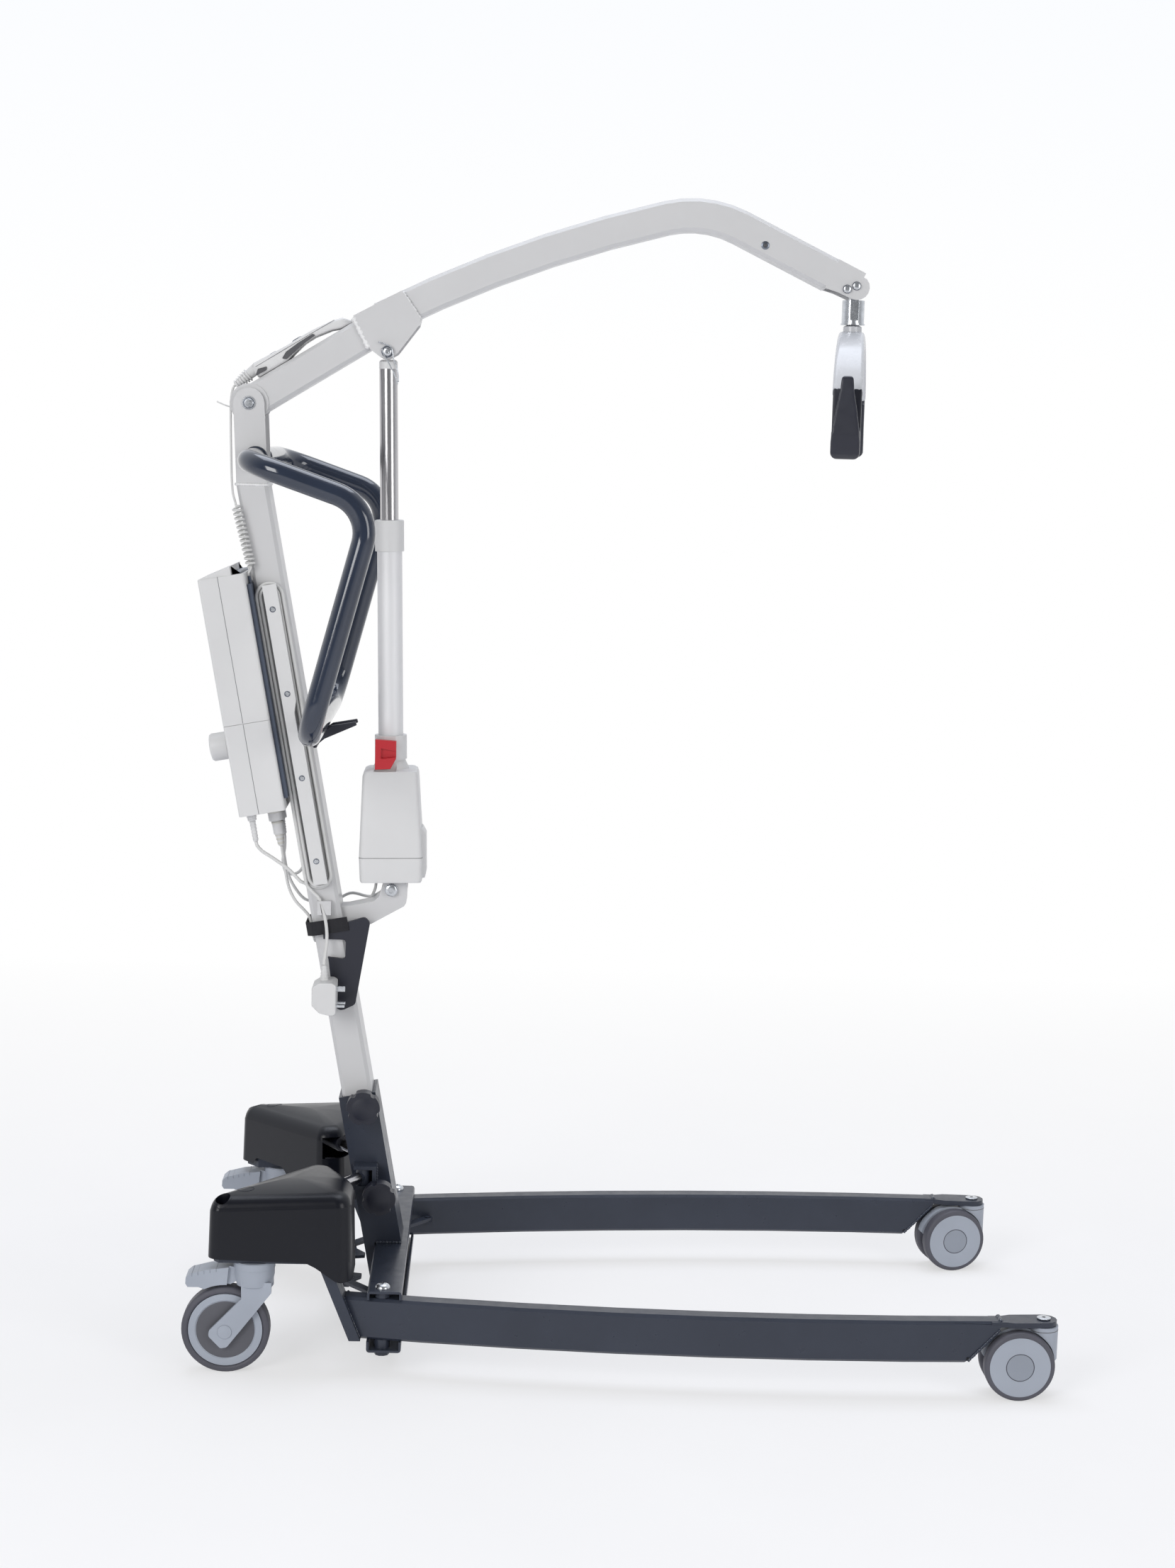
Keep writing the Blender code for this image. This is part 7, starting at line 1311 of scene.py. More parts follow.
def copied(name, finish, edge=DEFAULT_EDGE, segments=2):
    """A CAD node whose shape is right, with its edges rounded."""
    source = frame["nodes"][name].data
    mesh = bpy.data.meshes.new(f"{name}_form")
    mesh.from_pydata([vertex.co[:] for vertex in source.vertices], [],
                     [face.vertices[:] for face in source.polygons])
    piece = bpy.data.objects.new(f"{name}_form", mesh)
    bpy.context.collection.objects.link(piece)
    dress(piece, finish, CARRIERS[name], edge, segments, True)
    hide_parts(name)
    return piece


def extra(name, bm, finish, body, edge=0.0004):
    """A small piece that the CAD model has no node for."""
    return dress(place_mesh(name, bm), finish, body, edge)


# Cords

def as_curve(name, points, radius, finish):
    curve = bpy.data.curves.new(name, "CURVE")
    curve.dimensions = "3D"
    curve.bevel_depth = radius
    curve.bevel_resolution = 5
    curve.use_fill_caps = True
    spline = curve.splines.new("POLY")
    spline.points.add(len(points) - 1)
    for spot, point in zip(spline.points, points):
        spot.co = (*(Vector(point) + SHIFT), 1.0)
    spline.use_smooth = True
    piece = bpy.data.objects.new(name, curve)
    bpy.context.collection.objects.link(piece)
    curve.materials.append(FINISHES[finish])
    return piece


def as_tube(name, points, radius, finish, sides=14):
    piece = place_mesh(name, tube_mesh(points, radius, sides))
    piece.data.shade_smooth()
    piece.data.materials.append(FINISHES[finish])
    return piece


MAINS_STEP = 0.006


def make_mains(plug_pieces):
    """The mains lead in one run: out of the box, wound on the holder, through the clip, down to the plug."""
    hank = hank_points()
    start = list(reversed(hank))
    stub = 2 * LEAD_R
    out_of_box = [gland_end("mains"), gland_end("mains", stub), mast_point(0.7400, -0.0765, -0.0370),
                  mast_point(0.7300, -0.0655, -0.0374), mast_point(0.7190, -0.0540, -0.0378),
                  mast_point(0.7070, -0.0425, HANK_INNER_Y), beyond(start, GAP + 2.5 * stub)]
    relief = [PLUG_RELIEF_START, PLUG_RELIEF_END]
    to_plug = [mast_point(0.6800, -0.0193, HANK_OUTER_Y), mast_point(0.6690, -0.0128, HANK_OUTER_Y),
               CLIP_LINE[0], CLIP_LINE[1], mast_point(0.6100, -0.0018, -0.0490),
               mast_point(0.5920, -0.0045, -0.0535), mast_point(0.5800, -0.0080, -0.0600),
               beyond(relief, GAP + stub), beyond(relief, GAP)]
    points = smooth_route(out_of_box, MAINS_STEP) + hank + smooth_route([hank[-1]] + to_plug, MAINS_STEP)[1:]
    lead = as_curve("mains_cord", points, LEAD_R, "lead_grey")
    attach(lead, "mast")
    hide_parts("mains_lead", "mains_hank", "plug_lead")


def make_handset_cord():
    """The handset's cord: curls beside the mast, then straight up to the handset."""
    curls = curl_points()
    relief = [RELIEF_PLACE, RELIEF_PLACE + Vector(RELIEF_AXIS).normalized() * RELIEF_LENGTH]
    stub = 2 * CURL_LEAD_R
    route = [beyond(relief, GAP), beyond(relief, GAP + stub), Vector((-0.2498, 0.0, 1.3740)),
             Vector((-0.2508, -0.002, 1.3570)), Vector((-0.2500, -0.008, 1.3300)),
             Vector((-0.2480, -0.020, 1.2950)),
             Vector((-0.2455, -0.034, 1.2600)), beyond(curls, GAP + 4 * stub)]
    points = smooth_route(curls + list(reversed(route)), 0.0014)
    cord = as_tube("handset_cord", points, CURL_LEAD_R, "lead_grey", 12)
    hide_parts("curly_cord", "handset_lead")
    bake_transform(cord)


def free_lead(name, route, radius):
    """One of the leads between the box and the actuator or the plate's socket."""
    points = [Vector(route[0])] + smooth_route(route[1:-1], 2 * radius) + [Vector(route[-1])]
    lead = as_tube(f"{name}_form", points, radius, "lead_grey")
    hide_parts(name)
    if name == "handset_cable":
        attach(lead, "mast")
    else:
        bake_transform(lead)


# Fasteners and weld beads

def washer(name, place, direction, radius, bore, height, finish, body):
    profile = [(bore, 0), (radius, 0), (radius, height), (bore, height)]
    return extra(name, turned(profile, place, direction, 12), finish, body, 0.0003)


def seat(place, direction):
    """The matrix that stands a form on a place, its height along a direction."""
    turn = Vector((0, 0, 1)).rotation_difference(Vector(direction).normalized())
    return Matrix.Translation(Vector(place)) @ turn.to_matrix().to_4x4()


def button_head(name, place, direction, radius, height, finish, body, recess=0.45, sides=6):
    """A domed head with a polygonal key recess."""
    profile = [(0, -0.0005), (radius, -0.0005), (radius, height * 0.25)]
    for step in range(1, 6):
        angle = math.radians(18 * step)
        profile.append((max(radius * math.cos(angle) ** 0.8, 0), height * (0.25 + 0.75 * math.sin(angle))))
    profile[-1] = (0, height)
    head = turned(profile, place, direction, 12)
    key = bmesh.new()
    rings = []
    for level in (height * 0.35, height * 2):
        rings.append([key.verts.new((radius * recess * math.cos(2 * math.pi * part / sides),
                                     radius * recess * math.sin(2 * math.pi * part / sides), level))
                      for part in range(sides)])
    key.faces.new(list(reversed(rings[0])))
    key.faces.new(rings[1])
    for part in range(sides):
        after = (part + 1) % sides
        key.faces.new((rings[0][part], rings[0][after], rings[1][after], rings[1][part]))
    key.transform(seat(place, direction))
    return worked(name, head, [cut(key)], finish, body, 0.0002)


def cross_head(name, place, direction, radius, height, finish, body):
    """A domed screw head with a cross recess."""
    profile = [(0, -0.0005), (radius, -0.0005), (radius, height * 0.3), (radius * 0.72, height * 0.85),
               (0, height)]
    steps = []
    for wide, tall in ((0.62, 0.16), (0.16, 0.62)):
        slot = box((-radius * wide, -radius * tall, height * 0.3), (radius * wide, radius * tall, height * 2))
        slot.transform(seat(place, direction))
        steps.append(cut(slot))
    return worked(name, turned(profile, place, direction, 10), steps, finish, body, 0.0002)


def bead(name, points, radius, finish, body):
    """A weld bead: a lumpy tube along a line."""
    path = spaced([Vector(point) for point in points], radius * 0.5)
    across = (path[1] - path[0]).orthogonal().normalized()
    rings = []
    for index, point in enumerate(path):
        before, after = path[max(index - 1, 0)], path[min(index + 1, len(path) - 1)]
        heading = (after - before).normalized()
        across = (across - heading * across.dot(heading)).normalized()
        upward = heading.cross(across)
        swell = 1 + 0.16 * math.sin(index * 1.7) + 0.10 * math.sin(index * 0.61 + 1.0)
        if index in (0, len(path) - 1):
            swell = 0.5
        rings.append([point + (across * math.cos(angle) + upward * math.sin(angle)) * radius * swell
                      for angle in (2 * math.pi * part / 10 for part in range(10))])
    return extra(name, loft(rings), finish, body, 0)


# The whole lift

make_camera()


def make_plug_pieces():
    """Moulded body with a tapered relief; the pins are metal."""
    half = 0.025
    outline = [(-0.1170, 0.5230), (-0.1060, 0.5300), (-0.0880, 0.5300), (-0.0820, 0.5270), (-0.0820, 0.4830),
               (-0.0880, 0.4810), (-0.1060, 0.4850), (-0.1170, 0.4960)]
    base = prism(fillet(outline, 0.004, 2), PLUG_MIDDLE_Y - half, PLUG_MIDDLE_Y + half)
    node("mains_plug", base, "box_grey")
    pieces = [bpy.data.objects["mains_plug_form"]]
    axis = PLUG_RELIEF_END - PLUG_RELIEF_START
    length = axis.length
    profile = [(0, -0.001), (0.0064, -0.001)]
    for rib in range(5):
        low = length * rib / 5
        wide = 0.0062 - 0.0022 * rib / 5
        profile += [(wide, low), (wide, low + length * 0.12), (wide - 0.0007, low + length * 0.14),
                    (wide - 0.0007, low + length * 0.19)]
    profile += [(0.0036, length), (0, length)]
    pieces.append(extra("plug_relief", turned(profile, PLUG_RELIEF_START, axis, 10), "box_grey", "mast", 0))
    for number, (reach, height, wide, tall) in enumerate(((0.0, 0.5170, 0.0040, 0.0080),
                                                          (-0.0110, 0.4940, 0.0063, 0.0040),
                                                          (0.0110, 0.4940, 0.0063, 0.0040))):
        y = PLUG_MIDDLE_Y + reach
        pin = box((-0.0835, y - wide / 2, height - tall / 2), (-0.0698, y + wide / 2, height + tall / 2))
        pieces.append(extra(f"plug_pin_{number}", pin, "zinc", "mast", 0.0005))
    return pieces


def cords():
    make_mains(make_plug_pieces())
    make_handset_cord()
    make_cables()


def base_pieces():
    for name in ("upper_crossbar", "lower_crossbar", "mast_socket", "near_leg", "far_leg", "spreader_yoke",
                 "near_link", "far_link"):
        copied(name, "frame_grey", 0.0009)
    for label, side in SIDES.items():
        copied(f"{label}_strut_cylinder", "black")
        make_cover(f"{label}_castor_cover", side)
        make_rear_fork(f"{label}_rear_fork", side)
        make_rear_wheel(label, side)
        make_brake_pedal(f"{label}_brake_pedal", side)
        make_front_castor(label, side)
        front_discs(label, side)
        rear_details(label, side)
        leg_details(label, side)
    for label in KNOBS:
        make_knob(f"{label}_knob")


def front_discs(label, side):
    """The pale disc and centre cap on each front wheel, and the cap on the stem."""
    stem = (FRONT_STEM_X, side * FRONT_STEM_Y)
    yaw = FRONT_YAW[label]
    centre = (stem[0] - FRONT_TRAIL, stem[1], FRONT_WHEEL_R)
    face = FRONT_WHEEL_OUTER
    disc_form = [(0.0200, face - 0.002), (0.0430, face - 0.002), (0.0430, face + 0.0003),
                 (0.0415, face + 0.0009), (0.0204, face + 0.0009), (0.0200, face + 0.0003)]
    cap_form = [(0, face - 0.002), (0.0190, face - 0.002), (0.0190, face + 0.0005), (0.0178, face + 0.0012),
                (0, face + 0.0014)]
    for hand in (-1, 1):
        place = "outer" if hand == side else "inner"
        for name, form, finish in (("disc", disc_form, "castor_grey"), ("cap", cap_form, "cap_grey_and_groove_shade")):
            piece = turn_about(turned(form, centre, (0, hand, 0), 32), stem, yaw)
            extra(f"{label}_front_{place}_{name}", piece, finish, f"{label}_front_wheels", 0.0002)
    top = LEG_TOP + GAP + CAP_HEIGHT
    ring = [(0, -0.0006), (CAP_R + 0.0004, -0.0006), (CAP_R + 0.0004, 0.0002), (CAP_R - 0.0008, 0.0008),
            (0, 0.0008)]
    extra(f"{label}_front_stem_cap", turned(ring, (*stem, top), (0, 0, 1), 14), "zinc",
          f"{label}_front_castor", 0)
    # A dark disc in the middle of the stem cap: painted shade of its key recess.
    key = turned([(0, 0.0004), (0.0024, 0.0004), (0.0024, 0.0010), (0, 0.0010)], (*stem, top), (0, 0, 1), 6)
    extra(f"{label}_front_stem_key_shade", key, "insert_and_recess_shade_grey", f"{label}_front_castor", 0)
    groove = [(0.010, 0), (FRONT_NECK_R + 0.0002, 0), (FRONT_NECK_R + 0.0002, 0.0009), (0.010, 0.0009)]
    extra(f"{label}_front_neck_line", turned(groove, (*stem, FRONT_NECK_TOP - 0.0062), (0, 0, 1), 16),
          "seam_grey", f"{label}_front_castor", 0)


def rear_details(label, side):
    y = side * REAR_CASTOR_Y
    axle_x, axle_z = REAR_AXLE
    inner = REAR_RIM_WIDTH / 2 - REAR_DISC_RECESS
    for hand, place in ((-1, "near"), (1, "far")):
        centre = (axle_x, y + hand * inner, axle_z)
        disc = [(0.0088, -0.0006), (REAR_DISC_R - 0.0006, -0.0006), (REAR_DISC_R - 0.0006, 0.0004),
                (REAR_DISC_R - 0.0020, 0.0009), (0.0120, 0.0011), (0.0088, 0.0007)]
        extra(f"{label}_hub_{place}_disc", turned(disc, centre, (0, hand, 0), 24), "hub_grey",
              f"{label}_rear_wheel", 0.0002)
        face = y + hand * (FORK_INNER + FORK_ARM)
        cap = [(0, -0.0004), (AXLE_CAP_R, -0.0004), (AXLE_CAP_R, 0.0009), (AXLE_CAP_R - 0.0006, 0.0014),
               (0.004, 0.0017), (0, 0.0018)]
        extra(f"{label}_axle_{place}_cap", turned(cap, (axle_x, face, axle_z), (0, hand, 0), 14),
              "castor_grey", f"{label}_rear_fork", 0)
    collar = [(NECK_R - 0.004, 0), (NECK_R + 0.0004, 0), (NECK_R + 0.0007, 0.0012), (NECK_R + 0.0007, 0.0100),
              (NECK_R - 0.004, 0.0100)]
    extra(f"{label}_neck_ring", turned(collar, (REAR_CASTOR_X, y, NECK_JOINT + 0.0008), (0, 0, 1), 18),
          "castor_grey", f"{label}_rear_fork", 0.0003)
    line = [(NECK_R - 0.004, 0), (NECK_R + 0.0003, 0), (NECK_R + 0.0003, 0.0009), (NECK_R - 0.004, 0.0009)]
    extra(f"{label}_neck_line", turned(line, (REAR_CASTOR_X, y, NECK_TOP - 0.0058), (0, 0, 1), 18),
          "seam_grey", f"{label}_rear_fork", 0)
    # Five thin strips darker than the pedal on its pad: painted shade of the pad's grooves.
    for number in range(5):
        share = number / 4
        x = -0.2685 + 0.0340 * share
        z = 0.1461 + 0.0072 * share
        rib = box((x, y - BRAKE_PAD_HALF - 0.0004, z - 0.0045),
                  (x + 0.0012, y + BRAKE_PAD_HALF + 0.0004, z + 0.0004))
        extra(f"{label}_pedal_groove_shade_{number}", rib, "cap_grey_and_groove_shade", f"{label}_brake", 0.0003)


def leg_details(label, side):
    body = f"{label}_leg"
    dome = [(0, -0.0004), (PIVOT_HEAD_R + 0.0004, -0.0004), (PIVOT_HEAD_R + 0.0004, 0.0006)]
    for step in range(1, 7):
        angle = math.radians(15 * step)
        dome.append((max((PIVOT_HEAD_R + 0.0004) * math.cos(angle), 0), 0.0006 + 0.0064 * math.sin(angle)))
    dome[-1] = (0, 0.0070)
    cross = [cut(box((-0.0042, side * PIVOT_Y - 0.0008, UPPER_TOP + 0.0045),
                     (0.0042, side * PIVOT_Y + 0.0008, UPPER_TOP + 0.01))),
             cut(box((-0.0008, side * PIVOT_Y - 0.0042, UPPER_TOP + 0.0045),
                     (0.0008, side * PIVOT_Y + 0.0042, UPPER_TOP + 0.01)))]
    worked(f"{label}_pivot_dome", turned(dome, (0, side * PIVOT_Y, UPPER_TOP), (0, 0, 1), 14), cross, "zinc",
           "base", 0.0002)
    inner, outer = leg_place(LEG_REACH, side, -0.0118), leg_place(LEG_REACH, side, 0.0118)
    z = LEG_TOP - 0.0010
    bead(f"{label}_leg_top_bead", [(inner[0], inner[1], z), (outer[0], outer[1], z)], 0.0032, "handle_blue",
         body)
    for hand, offset in (("inner", -0.0150), ("outer", 0.0150)):
        low = leg_place(LEG_REACH - LEG_BEVEL_RUN + 0.003, side, offset)
        high = leg_place(LEG_REACH - 0.002, side, offset)
        bead(f"{label}_leg_{hand}_bead", [(low[0], low[1], LEG_BOTTOM + 0.003),
                                          (high[0], high[1], LEG_TOP - 0.011)],
             0.0021, "handle_blue", body)
        foot = leg_place(arm_face(LEG_BOTTOM) + 0.001, side, offset)
        top = leg_place(arm_face(LEG_TOP) + 0.001, side, offset)
        bead(f"{label}_arm_{hand}_bead", [(foot[0], foot[1], LEG_BOTTOM + 0.003), (top[0], top[1], LEG_TOP)],
             0.0021, "handle_blue", body)
    # A flat dark disc at each lower end of the sloped leg end: painted shade of a drain hole.
    for hand, offset in (("inner", -0.0152), ("outer", 0.0152)):
        near_end = leg_place(LEG_REACH - LEG_BEVEL_RUN + 0.0035, side, offset)
        plug = turned([(0, -0.0006), (0.0026, -0.0006), (0.0026, 0.0002), (0, 0.0002)],
                      (near_end[0], near_end[1], LEG_BOTTOM + 0.0062), (0, 1, 0), 10)
        extra(f"{label}_leg_{hand}_drain_hole_shade", plug, "cover_black", body, 0)
    start = strut_point(0.014, side)
    finish = strut_point(STRUT_ROD_REACH, side)
    extra(f"{label}_strut_sleeve", rod(start, finish, STRUT_ROD_R + 0.0002, 14), "chrome", "base", 0)
    seat = UPPER_TOP + 0.0012
    y = side * (SOCKET_HALF_Y + 0.0006)
    bead(f"{label}_socket_bead", [(-0.0200, y, seat), (mast_x(seat, SOCKET_HALF_X), y, seat)], 0.0026,
         "frame_grey", "base")
    bead(f"{label}_bracket_bead", [(STRUT_PIN[0] + 0.0195, side * (SOCKET_HALF_Y + 0.001), STRUT_Z - 0.0165),
                                   (STRUT_PIN[0] + 0.0195, side * (SOCKET_HALF_Y + 0.001), STRUT_Z + 0.0165)],
         0.0022, "frame_grey", "base")


def mast_pieces():
    copied("mast", "paint_white", 0.0014, 3)
    copied("bar_rest_hook", "black", 0.0010)
    copied("box_back_plate", "plate_blue", 0.0010)
    copied("cable_holder", "box_grey", 0.0012)
    copied("transport_plate", "black", 0.0008)
    copied("holding_strap", "webbing", 0.0003)
    handle()
    make_control_box()
    make_battery()
    make_stop_button()
    make_pivot_bolt()
    for name, side in SIDES.items():
        face = side * (MAST_WIDTH / 2 + GAP)
        washer(f"boom_pivot_{name}_washer", (BOOM_PIVOT[0], face, BOOM_PIVOT[1]), (0, side, 0), 0.0098,
               0.0045, 0.0011, "zinc", "mast")
        button_head(f"boom_pivot_{name}_head", (BOOM_PIVOT[0], face + side * 0.0012, BOOM_PIVOT[1]),
                    (0, side, 0), 0.0070, 0.0024, "zinc", "mast")
        washer(f"boom_pivot_{name}_ring", (BOOM_PIVOT[0], face + side * 0.0011, BOOM_PIVOT[1]), (0, side, 0),
               0.0078, 0.006, 0.0003, "steel", "mast")
    bar_face = NEAR_FACE - HOLDER_STANDOFF - HOLDER_BAR_THICKNESS
    for number, height in enumerate((1.0686, 0.9471, 0.8249, 0.7032)):
        place = (mast_x(height, HOLDER_FORWARD - 0.0005), bar_face, height)
        washer(f"holder_ring_{number}", place, (0, -1, 0), 0.0044, 0.0028, 0.0005, "steel", "mast")
        cross_head(f"holder_screw_{number}", place, (0, -1, 0), 0.0034, 0.0013, "zinc", "mast")
    foot = (ACTUATOR_FOOT[0], -ARM_BRACKET_WIDTH / 2, ACTUATOR_FOOT[1])
    washer("foot_bolt_washer", foot, (0, -1, 0), 0.0098, 0.004, 0.0014, "zinc", "mast")
    button_head("foot_bolt_head", (foot[0], foot[1] - 0.0062, foot[2]), (0, -1, 0), 0.0086, 0.0024, "zinc",
                "mast", 0.5)
    drop = HEAD_BOTTOM
    corners = []
    for along_x, y in ((-1, -1), (1, -1), (1, 1), (-1, 1), (-1, -1)):
        corners.append((mast_x(drop, along_x * (MAST_DEPTH / 2)), y * MAST_WIDTH / 2, drop))
    # The bead's lighter colour is a painted highlight.
    bead("mast_head_bead", corners, 0.0019, "weld_highlight_white", "mast")
    button_head("plate_screw", (-0.0791, NEAR_FACE - PLATE_Y_THICKNESS, 0.4880), (0, -1, 0), 0.0045, 0.0018,
                "black", "mast", 0.4)
    tail = [Vector((-0.2475, -0.020, 1.3547)), Vector((-0.2560, -0.0205, 1.3570)),
            Vector((-0.2687, -0.021, 1.3622))]
    extra("lead_tie_tail", tube_mesh(smooth_route(tail, 0.002), 0.0011, 8), "lead_grey", "mast", 0)
    connectors()
    seams()


def handle():
    """The push handle: one bent tube, with its ends in the mast's head."""
    entry = MAST_WIDTH / 2 + GAP
    low = mast_point(HANDLE_CROSSING, MAST_DEPTH / 2 + HANDLE_R + GAP)
    side_line = [(HANDLE_ENTRY[0], entry, HANDLE_ENTRY[1]), (HANDLE_ENTRY[0], entry + 0.02, HANDLE_ENTRY[1]),
                 (HANDLE_TOP[0], HANDLE_Y, HANDLE_TOP[1]), (HANDLE_ELBOW[0], HANDLE_Y, HANDLE_ELBOW[1]),
                 (low.x, HANDLE_Y, low.z)]
    far = [Vector(point) for point in side_line]
    near = [Vector((point.x, -point.y, point.z)) for point in far]
    corners = far + list(reversed(near))
    path = [corners[0], corners[1]]
    for before, here, after in zip(corners[1:], corners[2:], corners[3:-1]):
        path += rounded_corners([before, here, after], HANDLE_BEND, 12)[1:-1]
    path += [corners[-2], corners[-1]]
    tube = place_mesh("push_handle_form", tube_mesh(path, HANDLE_R, 40))
    dress(tube, "handle_blue", "mast", 0)
    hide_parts("push_handle")
    for label, side in SIDES.items():
        ring = [(HANDLE_R - 0.001, 0), (HANDLE_R + 0.0022, 0), (HANDLE_R + 0.0010, 0.0016),
                (HANDLE_R - 0.001, 0.0022)]
        extra(f"{label}_handle_weld", turned(ring, (HANDLE_ENTRY[0], side * entry, HANDLE_ENTRY[1]),
                                             (0, side, 0), 16),
              "handle_blue", "mast", 0)


def connectors():
    """Ribbed boots on the plugs below the box."""
    for label, (forward, side, profile) in GLANDS.items():
        (wide, _), (_, deep) = profile[0], profile[1]
        last_r, last = profile[-1]
        ribs = []
        start = deep + 0.001
        mid_r = profile[2][0]
        count = 6
        for rib in range(count):
            low = start + (last - start) * rib / count
            radius = mid_r + (last_r - mid_r) * rib / count + 0.0004
            ribs += [(radius, low), (radius, low + (last - start) / count * 0.55),
                     (radius - 0.0014, low + (last - start) / count * 0.62),
                     (radius - 0.0014, low + (last - start) / count * 0.95)]
        outline = [(0, start)] + ribs + [(0, last)]
        finish = "connector_beige" if label == "motor" else "box_grey"
        extra(f"{label}_boot", turned(outline, mast_point(BOX_BOTTOM, forward, side), DOWN_MAST, 10), finish,
              "mast", 0)
        grip = [(wide - 0.002, 0.0), (wide + 0.0006, 0.0), (wide + 0.0006, 0.0045), (wide + 0.0001, 0.0052),
                (wide - 0.002, 0.0052)]
        extra(f"{label}_plug_ring", turned(grip, mast_point(BOX_BOTTOM - 0.003, forward, side), DOWN_MAST,
                                           12),
              finish, "mast", 0.0002)


def actuator_pieces():
    make_actuator()
    axis = actuator_point(1) - actuator_point(0)
    collar = [(COLLAR_R - 0.002, ACTUATOR_TUBE_END - COLLAR_LENGTH - 0.0004),
              (COLLAR_R + 0.0004, ACTUATOR_TUBE_END - COLLAR_LENGTH - 0.0004),
              (COLLAR_R + 0.0004, ACTUATOR_TUBE_END),
              (COLLAR_R - 0.0015, ACTUATOR_TUBE_END + 0.0010), (ROD_R + 0.0005, ACTUATOR_TUBE_END + 0.0010),
              (ROD_R + 0.0005, ACTUATOR_TUBE_END - 0.002), (COLLAR_R - 0.002, ACTUATOR_TUBE_END - 0.002)]
    extra("tube_collar", turned(collar, actuator_point(0), axis, 24), "box_grey", "actuator", 0.0005)
    top = [(ROD_R - 0.001, ROD_TOP - 0.0130), (ROD_R + 0.0001, ROD_TOP - 0.0130),
           (ROD_R + 0.0001, ROD_TOP - 0.0030),
           (ROD_R - 0.0020, ROD_TOP - 0.0005), (ROD_R - 0.004, ROD_TOP - 0.0005)]
    extra("rod_end_cap", turned(top, actuator_point(0), axis, 20), "box_grey", "rod", 0.0003)


def boom_pieces():
    copied("boom", "paint_white", 0.0014, 3)
    half = BOOM_WIDTH / 2
    for label, side in SIDES.items():
        for end, line, thick in (("rear", [(-0.0748, 1.4865), (-0.0515, 1.4428)], 0.0040),
                                 ("front", [(-0.0060, 1.5240), (0.0205, 1.4865)], 0.0028)):
            points = [(x_, side * (half + 0.0024), z_) for x_, z_ in line]
            # The beads' lighter colour is a painted highlight.
            bead(f"{label}_sleeve_{end}_bead", points, thick, "weld_highlight_white", "boom")
        for name, place in (("hanger_bolt", HANGER_PIVOT), ("stop_bolt", STOP_BOLT)):
            button_head(f"{label}_{name}_head", (place[0], side * (half + 0.0034), place[1]), (0, side, 0),
                        0.0054, 0.0018, "zinc", "boom")
            washer(f"{label}_{name}_ring", (place[0], side * (half - 0.0002), place[1]), (0, side, 0), 0.0064,
                   0.004, 0.0006, "steel", "boom")
    for label, side in SIDES.items():
        place = (0.5108, side * half, 1.6044)
        button_head(f"{label}_boom_screw", place, (0, side, 0), 0.0060, 0.0014, "steel", "boom", 0.5)
        # A dark disc at the bottom of the head's key recess: painted shade.
        key = turned([(0, 0.0002), (0.0026, 0.0002), (0.0026, 0.0008), (0, 0.0008)], place, (0, side, 0), 6)
        extra(f"{label}_boom_screw_key_shade", key, "insert_and_recess_shade_grey", "boom", 0)
    pin = (BOOM_PIN[0], -SLEEVE_HALF - 0.0038, BOOM_PIN[1])
    button_head("rod_pin_head", pin, (0, -1, 0), 0.0058, 0.0018, "zinc", "boom", 0.5)
    washer("rod_pin_washer", (BOOM_PIN[0], -SLEEVE_HALF, BOOM_PIN[1]), (0, -1, 0), 0.0085, 0.005, 0.0008,
           "steel", "boom")
    loop = [(-0.0382, 1.4523), (-0.0300, 1.4500), (-0.0200, 1.4455), (-0.0178, 1.4380), (-0.0160, 1.4280),
            (-0.0123, 1.4197), (-0.0095, 1.4080), (-0.0087, 1.3967)]
    leg = [(-0.0330, 1.4440), (-0.0300, 1.4345), (-0.0230, 1.4230), (-0.0143, 1.4063), (-0.0100, 1.3935)]
    for name, line, y_ in (("loop", loop, -SLEEVE_HALF - 0.0048), ("leg", leg, -SLEEVE_HALF - 0.0026)):
        points = [Vector((x_, y_, z_)) for x_, z_ in line]
        extra(f"retaining_clip_{name}", tube_mesh(smooth_route(points, 0.0015), 0.0010, 12), "zinc", "boom",
              0)
    handset_details()
    make_handset()
    make_hanger()
    make_spreader()
    make_hooks()


def handset_details():
    """Dark inserts, the line between the two halves and the ribs of the strain relief."""
    inserts = {"lower": [(0.0270, 0.0284), (0.0354, 0.0353), (0.0488, 0.0316), (0.0447, 0.0274)],
               "upper": [(0.0725, 0.0302), (0.0826, 0.0356), (0.1050, 0.0378), (0.1284, 0.0382),
                         (0.1314, 0.0344), (0.1120, 0.0330), (0.0973, 0.0300), (0.0778, 0.0261)]}
    for label, side in SIDES.items():
        for name, outline in inserts.items():
            shape = [(boom_point(a, b).x, boom_point(a, b).z) for a, b in outline]
            extra(f"{label}_{name}_insert", prism(fillet(shape, 0.0012, 2), *sided(side, 0.0180, 0.0246)),
                  "insert_and_recess_shade_grey", "boom", 0.0003)
        line = [Vector((boom_point(a, 0.0395).x, side * half, boom_point(a, 0.0395).z))
                for a, half in ((0.034, 0.0226), (0.078, 0.0241), (0.128, 0.0231), (0.165, 0.0221))]
        extra(f"{label}_handset_line", tube_mesh(line, 0.0004, 8), "seam_grey", "boom", 0)
    axis = Vector(RELIEF_AXIS).normalized()
    for number in range(6):
        low = 0.0130 + number * 0.0042
        wide = 0.0097 - number * 0.00062
        ring = [(0.0025, 0), (wide, 0), (wide, 0.0022), (0.0025, 0.0022)]
        extra(f"relief_rib_{number}", turned(ring, RELIEF_PLACE + axis * low, axis, 10), "box_grey", "boom",
              0.0004)


